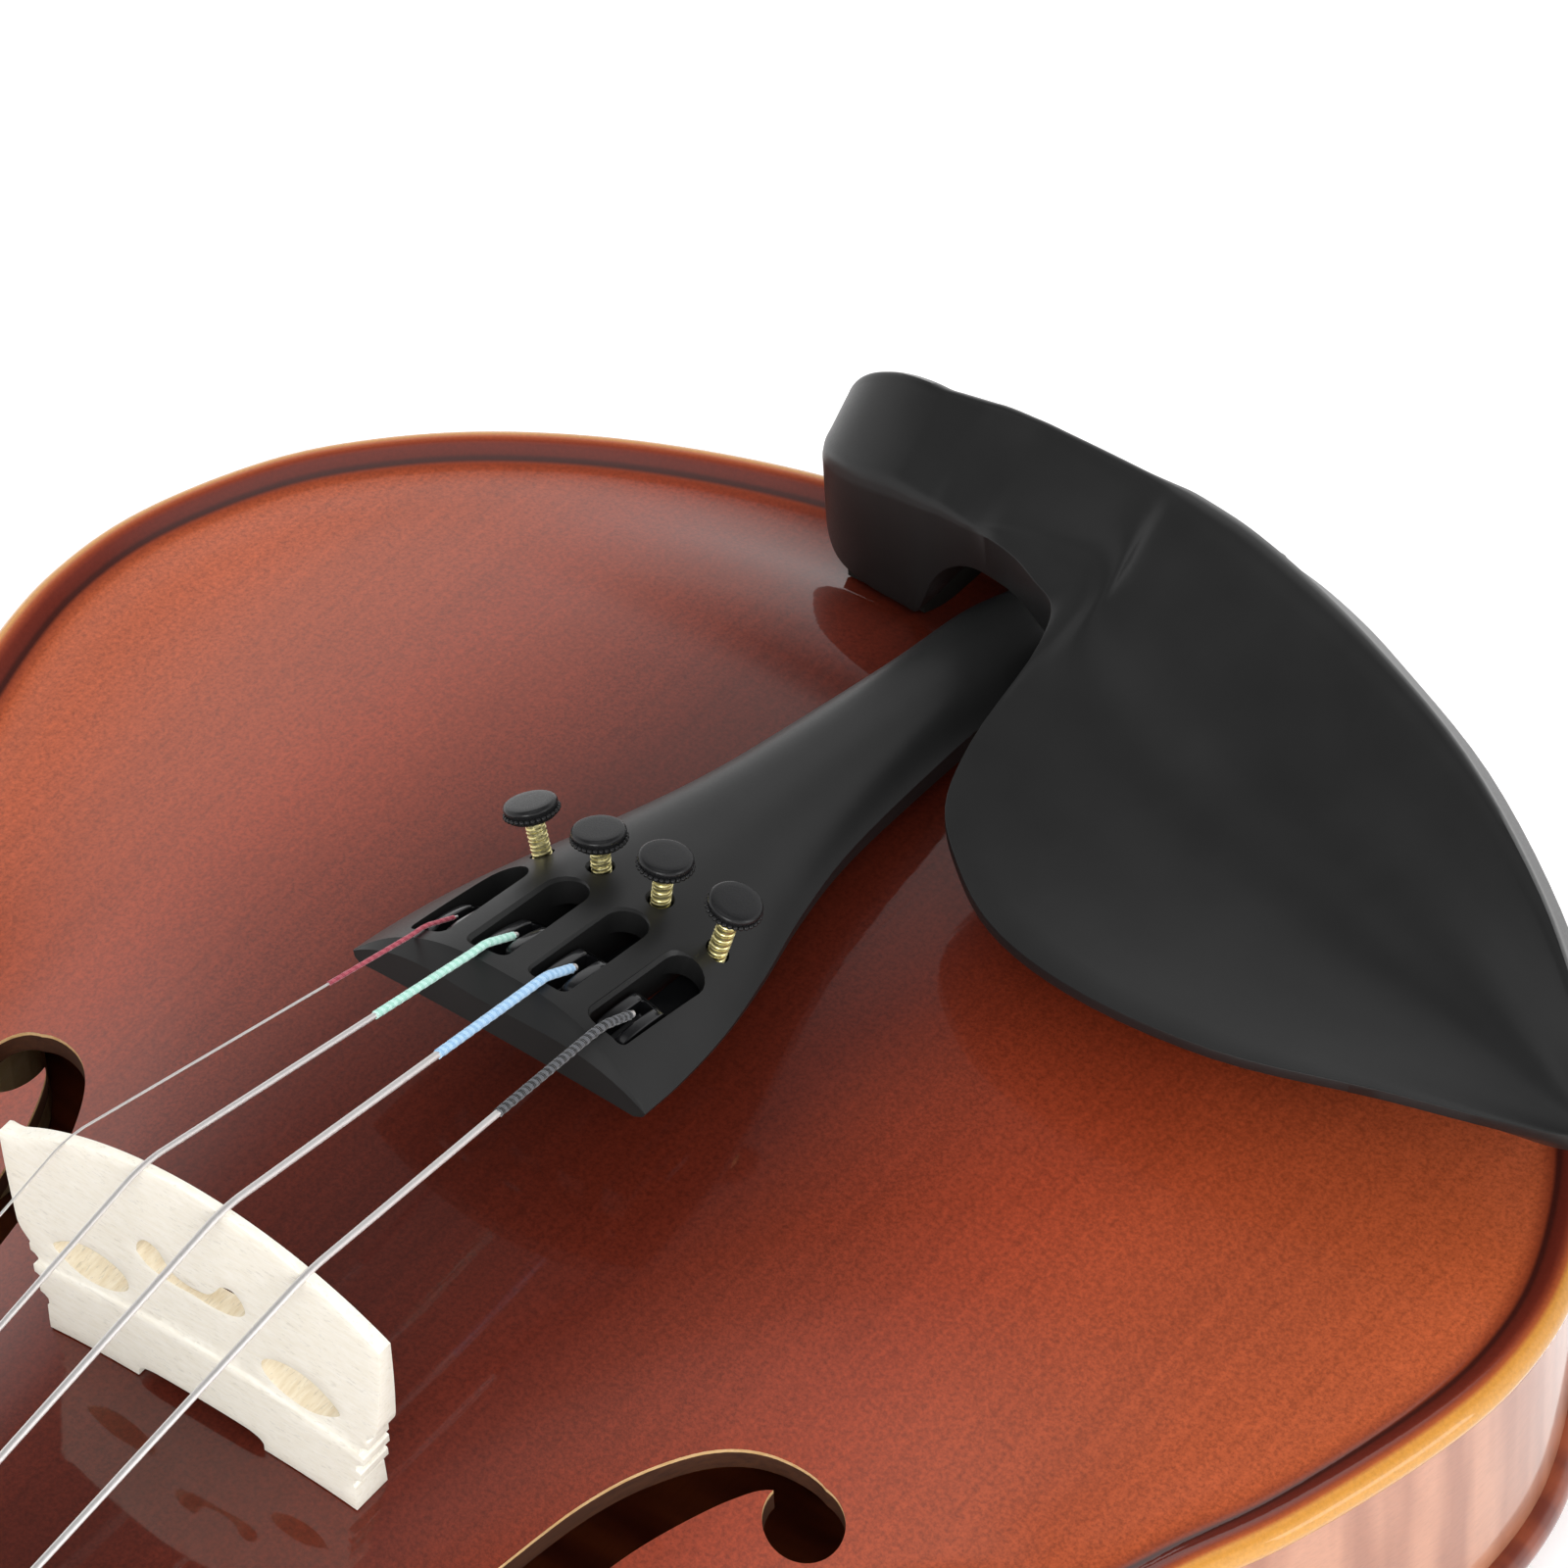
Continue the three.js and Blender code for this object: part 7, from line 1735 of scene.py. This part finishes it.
def make_neck():
    """Neck, open pegbox and scroll, carved from one piece of maple."""
    coat = material("neck_maple")
    root_depth = BELLY_EDGE + 7 - BACK_JOINT + 2
    stations = [
        (-0.046, 1), (0, 1), (0.035, 0.86), (0.08, 0.62), (0.13, 0.4), (0.2, 0.16), (0.3, 0.07), (0.6, 0.02),
        (0.9, 0), (1, 0),
    ]
    rings = []
    for along, heel in spline(stations, 5):
        y = UPPER_END + along * NECK
        heel = min(max(heel, 0), 1)
        half = board_half(max(y, UPPER_END))
        rings.append(neck_section(y, half, lerp(half, 11.0, heel), lerp(12.8, root_depth, heel)))
    points, faces = loft(rings)
    points[:, 2] = np.where(points[:, 1] < UPPER_END + 30, np.maximum(points[:, 2], BACK_JOINT + 0.2), points[:, 2])
    shaft = outwards(new_object("shaft", points, faces, [coat]))

    rings = []
    for share in np.linspace(0, 1, 25):
        y, half, top, bottom = pegbox_at(share)
        profile = [(half - 0.5, top), (half, top - 0.5), (half, bottom + 6)]
        arc = np.linspace(0, np.pi / 2, 7)[1:]
        profile += [(half - 5 + 5 * math.cos(a), bottom + 5.5 - 5 * math.sin(a)) for a in arc]
        profile += [(0, bottom)]
        line = profile + [(-x, z) for x, z in profile[-2::-1]]
        rings.append(array([(x, y, z) for x, z in line]))
    box = solid("pegbox", loft(rings), coat)
    rings = []
    for share in np.linspace(NUT_LENGTH / PEGBOX_LENGTH + 0.02, 0.93, 12):
        y, half, top, bottom = pegbox_at(share)
        side, floor = half - 4.6, min(bottom + 5, top - 5)
        rings.append(array([(-side, y, top + 7), (side, y, top + 7), (side, y, floor), (-side, y, floor)]))
    cut(box, loft(rings))
    for _, order, _, _, place in STRINGS:
        turn, half = peg_frame(order, place)
        ends = [(peg_radius(along, half) + 0.1, along) for along in (-half - 2, half + 2)]
        cut(box, moved(turned(ends, 32, "x"), turn))
    seat = rectangle(-16, 16, NUT_Y - 0.2, NUT_Y + 5.7)
    cut(box, prism(seat, board_under(NUT_Y) - 0.9, board_top(NUT_Y) + 5))

    turns = make_scroll(coat)
    whole = merged("neck_and_scroll", shaft, box, *turns)
    resharpen(whole, 32)
    settle(whole, BODY, "varnished_maple", "neck")


def make_scroll(coat):
    """The volute widens turn by turn towards its eye, with a flute cut round each turn."""
    quarters = np.linspace(0, 11, 133)
    place, (cy, cz) = scroll_line(quarters)
    middle = array((cy, cz))
    half = np.interp(quarters, [0, 1, 2.5, 4.5, 7, 9, 11], [7.4, 8.4, 10.2, 13.6, 16.8, 18.8, 20.2])
    rings = []
    inward = (middle - place) / np.linalg.norm(middle - place, axis=1)[:, None]
    gaps = []
    for i, q in enumerate(quarters):
        if q + 4 <= 11:
            gaps.append(np.linalg.norm(scroll_line(q + 4)[0] - place[i]) * 0.98)
        else:
            gaps.append(np.linalg.norm(middle - place[i]) * 0.96)
    for (y, z), direction, wide, gap in zip(place, inward, half, gaps):
        # Back face with its two flutes, chamfered edges, then the hollowed side face down to the next turn
        section = [
            (0.0, 0.35), (0.25, 0.2), (0.45, 0.75), (0.62, 0.85), (0.78, 0.4), (0.9, 0.12), (0.965, 0.1), (1.0, 0.45),
            (0.985, 0.9), (0.93, 1.25), (0.9, 1.9), (0.9, 2.6),
        ]
        right = [(across * wide, depth) for across, depth in section]
        right.append((wide * 0.93, max(gap * 0.8, 3.0)))
        right.append((wide * 0.97, max(gap, 3.4)))
        ring = right + [(-x, depth) for x, depth in right[:0:-1]]
        rings.append(array([(x, y + direction[0] * d, z + direction[1] * d) for x, d in ring]))
    scroll = solid("volute", loft(rings), coat)
    half_eye = [(4.4, 19.4), (4.2, 20.1), (3.4, 20.5), (0.01, 20.5)]
    profile = [(radius, -x) for radius, x in half_eye[::-1]] + half_eye
    eye = new_object("eye", *turned(profile, 40, "x", (0, cy, cz)), [coat])
    # The throat, from the pegbox's end up to the first turn
    near_y, _, near_top, near_bottom = pegbox_at(0.8)
    end_y, _, end_top, end_bottom = pegbox_at(1.0)
    shape = [(near_y, near_top - 4.6), (near_y, near_bottom + 4.6), (end_y, end_bottom + 0.2)]
    shape += [tuple(p) for p in scroll_line(np.array([0, 0.5, 1.0]))[0] + (0, 0.8)]
    shape += [(cy, cz), (end_y + 1, end_top)]
    rings = [array([(x, y, z) for y, z in shape]) for x in (-7.3, 7.3)]
    return scroll, eye, solid("throat", loft(rings), coat)


def make_board():
    """Fingerboard and nut, planed from ebony."""
    coat = material("ebony")
    rings = []
    for y in (NUT_Y - 0.2, NUT_Y - 0.7, BOARD_END + 0.8, BOARD_END + 0.2, BOARD_END):
        half = board_half(y)
        ease = 0.5 if y == BOARD_END else 0
        xs = np.linspace(half, -half, 41)
        over = np.stack([xs, np.full(41, y), board_top(y) - crown_drop(xs, BOARD_RADIUS) - ease], 1)
        low = board_under(y)
        under = [(-half, y, low + 0.4), (-half + 0.4, y, low), (half - 0.4, y, low), (half, y, low + 0.4)]
        rings.append(np.vstack([over, under]))
    board = solid("fingerboard_planed", loft(rings), coat)
    eased(board, 0.35, 2, 55)
    settle(resharpen(board, 35), BODY, "ebony", "fingerboard")

    floor = board_under(NUT_Y) - 0.7
    rings = []
    for share, lift in ((0, -0.2), (0.08, 0.0), (0.3, 0.02), (0.6, -0.25), (0.85, -0.7), (1, -1.2)):
        y = NUT_Y + share * NUT_LENGTH
        xs = np.linspace(12, -12, 49)
        over = nut_top(xs) + lift
        for _, order, gauge, *_ in STRINGS:
            over -= 0.1 * np.exp(-((xs - order / 3 * NUT_SPAN) / (gauge * 0.8)) ** 2)
        rings.append(np.vstack([np.stack([xs, np.full(49, y), over], 1), [(-12, y, floor), (12, y, floor)]]))
    nut = solid("nut_carved", loft(rings), coat)
    settle(nut, BODY, "ebony", "nut")


# The turned rings between a peg's collar and its head: radius, and distance from the collar
PEG_TURNINGS = (
    (4.2, 0.5), (4.85, 1.1), (4.9, 1.9), (4.4, 2.4), (3.7, 2.7), (3.9, 3.1), (3.6, 3.5), (3.0, 4.4), (2.7, 6.5),
)


def make_pegs():
    """Four turned pegs with dished heart-shaped heads."""
    for label, order, _, _, place in STRINGS:
        turn, half = peg_frame(order, place)
        tip, collar = -half - 1, half + 3
        stem, root = collar + 9, peg_radius(tip, half)
        profile = [(0.01, tip), (root - 0.5, tip), (root, tip + 0.5), (peg_radius(collar, half), collar)]
        profile += [(radius, collar + up) for radius, up in PEG_TURNINGS] + [(2.9, stem), (0.01, stem)]
        body = turned(profile, 40, "x")
        rings = []
        for u in np.linspace(0, 1, 25):
            x = stem - 2.6 + 19.6 * u
            grow = math.sqrt(max(1 - (1 - min(u / 0.52, 1)) ** 2, 0))
            fall = math.sqrt(max(1 - (max(u - 0.52, 0) / 0.48) ** 2.6, 0))
            wide = max(11.4 * (0.2 + 0.8 * grow) * fall, 0.15)
            thick = max(3.2 * (1 - 0.35 * u) * fall, 0.12)
            angle = np.linspace(0, 2 * np.pi, 40, endpoint=False)
            rings.append(np.stack([
                np.full(40, x), thick * np.sin(angle) * (0.72 + 0.28 * np.abs(np.cos(angle)) * min(2 * u, 1)),
                wide * np.cos(angle),
            ], 1))
        thumb = loft(rings)
        peg = solid("peg_" + label + "_turned", moved(joined(body, thumb), turn), material("peg_ebony"))
        settle(peg, "peg_" + label, "ebony", "peg_" + label)


INSIDE = (
    "top_block", "end_block", "corner_block_upper_bass", "corner_block_upper_treble", "corner_block_lower_bass",
    "corner_block_lower_treble", "lining_top", "lining_back", "bass_bar", "sound_post",
)


def paint_inside():
    """Blocks, linings, bass bar and sound post keep their shape and get bare spruce."""
    for name in INSIDE:
        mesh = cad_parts[name].data
        mesh.materials.clear()
        mesh.materials.append(material("bare_spruce"))
    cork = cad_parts["clamp_foot_cork"].data
    cork.materials.clear()
    cork.materials.append(material("cork"))


# Stage


def seen_rays(tree, *kinds):
    """One for the camera's rays and those of the kinds, nought for all others."""
    paths = add(tree, "ShaderNodeLightPath").outputs
    either = paths["Is Camera Ray"]
    for kind in kinds:
        either = add(tree, "ShaderNodeMath", {0: either, 1: paths[kind]}, operation="MAXIMUM").outputs[0]
    return either


def make_stage():
    """A pale floor, soft lamps round the violin, and the camera at the photograph's angle."""
    settings = bpy.context.scene.violin_stage
    scene = bpy.context.scene
    scene.view_settings.view_transform = "Standard"
    floor_z = CAD_BOX[0][2] / MM - 0.05
    points = [(-1500, -1500, floor_z), (1500, -1500, floor_z), (1500, 1500, floor_z), (-1500, 1500, floor_z)]
    made, tree, shader = shaded("matt_paper", Roughness=0.9)
    paper = layer(tree, None, (0.2, 0xF7F7F7), (0.8, 0xFAFAFA), period=(40, 40, 40), detail=2, rough=0.4)[0]
    tree.links.new(paper, shader.inputs["Base Color"])
    either = seen_rays(tree, "Is Glossy Ray")
    glow = add(tree, "ShaderNodeMath", {0: either, 1: settings.floor_glow}, operation="MULTIPLY").outputs[0]
    tree.links.new(glow, shader.inputs["Emission Strength"])
    shader.inputs["Emission Color"].default_value = (1, 1, 1, 1)
    floor = new_object("floor", points, [(0, 1, 2, 3)], [made])

    world = bpy.data.worlds.new("white_room")
    scene.world = world
    world.use_nodes = True
    tree = world.node_tree
    tree.nodes.clear()
    either = seen_rays(tree, "Is Glossy Ray", "Is Transmission Ray")
    # White walls, a dark band above them and a lit ceiling: what the varnish mirrors from the far rim to the near one
    place = add(tree, "ShaderNodeTexCoord").outputs["Generated"]
    height = add(tree, "ShaderNodeSeparateXYZ", {"Vector": place}).outputs["Z"]
    wall = add(tree, "ShaderNodeValToRGB", {"Fac": height}, stops=[
        (0.46, 1.0), (0.62, 0.6), (0.71, 0.14), (0.84, 0.05), (0.9, 0.2), (0.98, 0.8),
    ]).outputs[0]
    level = add(tree, "ShaderNodeMix", {0: either, 2: settings.room_light, 3: wall}).outputs[0]
    light = add(tree, "ShaderNodeBackground", {"Color": (1, 1, 1, 1), "Strength": level}).outputs[0]
    add(tree, "ShaderNodeOutputWorld", {"Surface": light})

    # The two overhead lamps aren't mirrored, so that the varnish shows the room alone
    for name, place, size, watts, mirrored in (
        ("key_softbox", (-0.75, 0.65, 1.05), 0.9, settings.key_power, False),
        ("fill_softbox", (0.7, -0.6, 1.0), 0.9, settings.fill_power, False),
        ("front_softbox", (-0.35, 1.15, 0.5), 0.6, settings.front_power, True),
        ("side_softbox", (-1.15, -0.2, 0.26), 0.45, settings.side_power, True),
    ):
        lamp = bpy.data.lights.new(name, "AREA")
        lamp.size = size
        lamp.energy = watts
        held = bpy.data.objects.new(name, lamp)
        held.location = place
        held.rotation_euler = (Vector((0, -0.05, 0.05)) - Vector(place)).to_track_quat("-Z", "Y").to_euler()
        held.visible_glossy = mirrored
        scene.collection.objects.link(held)

    camera = bpy.data.cameras.new("camera")
    camera.sensor_width = 36
    camera.lens = 36 * 8500 / 1600
    camera.clip_end = 10
    right, down = Vector((-0.79062, -0.61050, -0.04705)), Vector((-0.42154, 0.59841, -0.68133))
    ahead = Vector((0.44411, -0.51884, -0.73046))
    turn = Matrix((right, -down, -ahead)).transposed().to_4x4()
    held = bpy.data.objects.new("camera", camera)
    held.matrix_world = Matrix.Translation(Vector((-410.873, 381.228, 745.628)) * MM) @ turn
    scene.collection.objects.link(held)
    scene.camera = held


# The add-on's settings, operators and panel


def colour_setting(name, words, value):
    """A colour that can be set, whose default is written as 0xRRGGBB."""
    parts = [(value >> shift & 255) / 255 for shift in (16, 8, 0)]
    return FloatVectorProperty(
        name=name, description=words, subtype="COLOR_GAMMA", size=3, min=0, max=1, default=parts,
    )


class ColourSettings(bpy.types.PropertyGroup):
    # The middle's dark colour is partly painted shade of the tailpiece and chin rest
    belly_middle: colour_setting("Belly, middle", "Varnish colour along the middle of the belly", 0x4A1A10)
    belly_border: colour_setting("Belly, border", "Varnish colour near the belly's border", 0xB0542E)
    back: colour_setting("Back", "Pale bands of the back's flame", 0x9A4A28)
    # The pale tan is partly painted light falling on the ribs
    ribs: colour_setting("Ribs", "Pale bands of the ribs' flame", 0xC08567)
    neck: colour_setting("Neck", "Pale bands of the neck's flame", 0xB4683C)
    bridge: colour_setting("Bridge", "Bare maple of the bridge", 0xF0ECE1)
    ebony: colour_setting("Ebony", "Fingerboard, nut, saddle, end button and pegs", 0x24211F)
    plastic: colour_setting("Plastic", "Tailpiece and chin rest", 0x191919)
    brass: colour_setting("Brass", "Screws of the fine tuners", 0xF0E6AE)
    silk_black: colour_setting("Silk, G string", "Main shade of the silk on the G string", 0x1E1F22)
    silk_blue: colour_setting("Silk, D string", "Main shade of the silk on the D string", 0x98C0E3)
    silk_mint: colour_setting("Silk, A string", "Main shade of the silk on the A string", 0xA9DCCD)
    silk_red: colour_setting("Silk, E string", "Main shade of the silk on the E string", 0x9E3347)


class FittingsSettings(bpy.types.PropertyGroup):
    cap_beads: IntProperty(
        name="Beads round a cap", description="Number of beads in the grip of a tuner's cap", default=30,
        min=12, max=60,
    )
    bead_radius: FloatProperty(
        name="Bead radius", description="Radius of a bead of a tuner's cap", subtype="DISTANCE", unit="LENGTH",
        default=0.32 * MM, min=0.1 * MM, max=0.6 * MM, precision=5,
    )
    screw_pitch: FloatProperty(
        name="Screw pitch", description="Pitch of the tuners' screw threads", subtype="DISTANCE", unit="LENGTH",
        default=0.5 * MM, min=0.3 * MM, max=1 * MM, precision=5,
    )


def lamp_setting(name, words, watts):
    return FloatProperty(name=name, description=words, subtype="POWER", unit="POWER", default=watts, min=0)


class StageSettings(bpy.types.PropertyGroup):
    room_light: FloatProperty(
        name="Room light", description="Strength of the white room on matt surfaces", default=0.74, min=0, max=2,
    )
    floor_glow: FloatProperty(
        name="Floor glow", description="How much the floor is lifted towards white for the camera",
        default=0.25, min=0, max=1,
    )
    key_power: lamp_setting("Key lamp", "Power of the larger lamp", 9)
    fill_power: lamp_setting("Fill lamp", "Power of the lamp on the other side", 5)
    front_power: lamp_setting("Front lamp", "Power of the lamp in front of the bridge", 6.5)
    side_power: lamp_setting("Side lamp", "Power of the low lamp at the bass side", 2)


def operator(key, label, words, builder):
    """An operator class that builds one piece or group of pieces."""

    def execute(self, context):
        builder()
        return {"FINISHED"}

    return type("VIOLIN_OT_" + key, (bpy.types.Operator,), {
        "__doc__": words, "bl_idname": "violin." + key, "bl_label": label, "bl_options": {"REGISTER", "UNDO"},
        "execute": execute,
    })


PIECES = (
    ("stage", "Stage", "Makes the floor, the lamps and the camera", make_stage),
    ("belly", "Belly", "Makes the arched belly with its sound holes", make_belly),
    ("back", "Back", "Makes the arched back with its button", make_back),
    ("ribs", "Ribs", "Makes the five ribs", make_ribs),
    ("inside", "Inside", "Paints the blocks, linings, bass bar and sound post", paint_inside),
    ("bridge", "Bridge", "Makes the carved bridge", make_bridge),
    ("tailpiece", "Tailpiece", "Makes the tailpiece with its slots", make_tailpiece),
    ("tuners", "Fine tuners", "Makes the caps, screws and levers of the fine tuners", make_tuners),
    ("strings", "Strings", "Makes the strings, their silk and their turns on the pegs", make_strings),
    ("chin_rest", "Chin rest", "Makes the chin rest and its pads", make_chin_rest),
    ("clamp", "Clamp", "Makes the chin rest's clamp", make_clamp),
    ("end_fittings", "End fittings", "Makes the saddle, the tail gut and the end button", make_end_fittings),
    ("neck", "Neck", "Makes the neck, the pegbox and the scroll", make_neck),
    ("board", "Fingerboard", "Makes the fingerboard and the nut", make_board),
    ("pegs", "Pegs", "Makes the four pegs", make_pegs),
)
OPERATORS = [operator(*piece) for piece in PIECES]


class VIOLIN_PT_sidebar(bpy.types.Panel):
    """Lists the violin's pieces and their settings"""

    bl_label = "Violin"
    bl_space_type = "VIEW_3D"
    bl_region_type = "UI"
    bl_category = "Violin"

    def draw(self, context):
        layout = self.layout
        for key, label, *rest in PIECES:
            layout.operator("violin." + key)
        for group, _ in GROUPS:
            column = layout.column()
            settings = getattr(context.scene, group)
            for name in settings.bl_rna.properties.keys():
                if name not in ("rna_type", "name"):
                    column.prop(settings, name)


GROUPS = (
    ("violin_colours", ColourSettings), ("violin_fittings", FittingsSettings), ("violin_stage", StageSettings),
)


def register():
    for name, group in GROUPS:
        bpy.utils.register_class(group)
        setattr(bpy.types.Scene, name, PointerProperty(type=group))
    for made in (*OPERATORS, VIOLIN_PT_sidebar):
        bpy.utils.register_class(made)


def unregister():
    for made in (VIOLIN_PT_sidebar, *reversed(OPERATORS)):
        bpy.utils.unregister_class(made)
    for name, group in reversed(GROUPS):
        delattr(bpy.types.Scene, name)
        bpy.utils.unregister_class(group)


def main():
    register()
    for key, *rest in PIECES:
        if getattr(bpy.ops.violin, key)() != {"FINISHED"}:
            raise RuntimeError(key + " was not made")


if __name__ == "__main__":
    main()
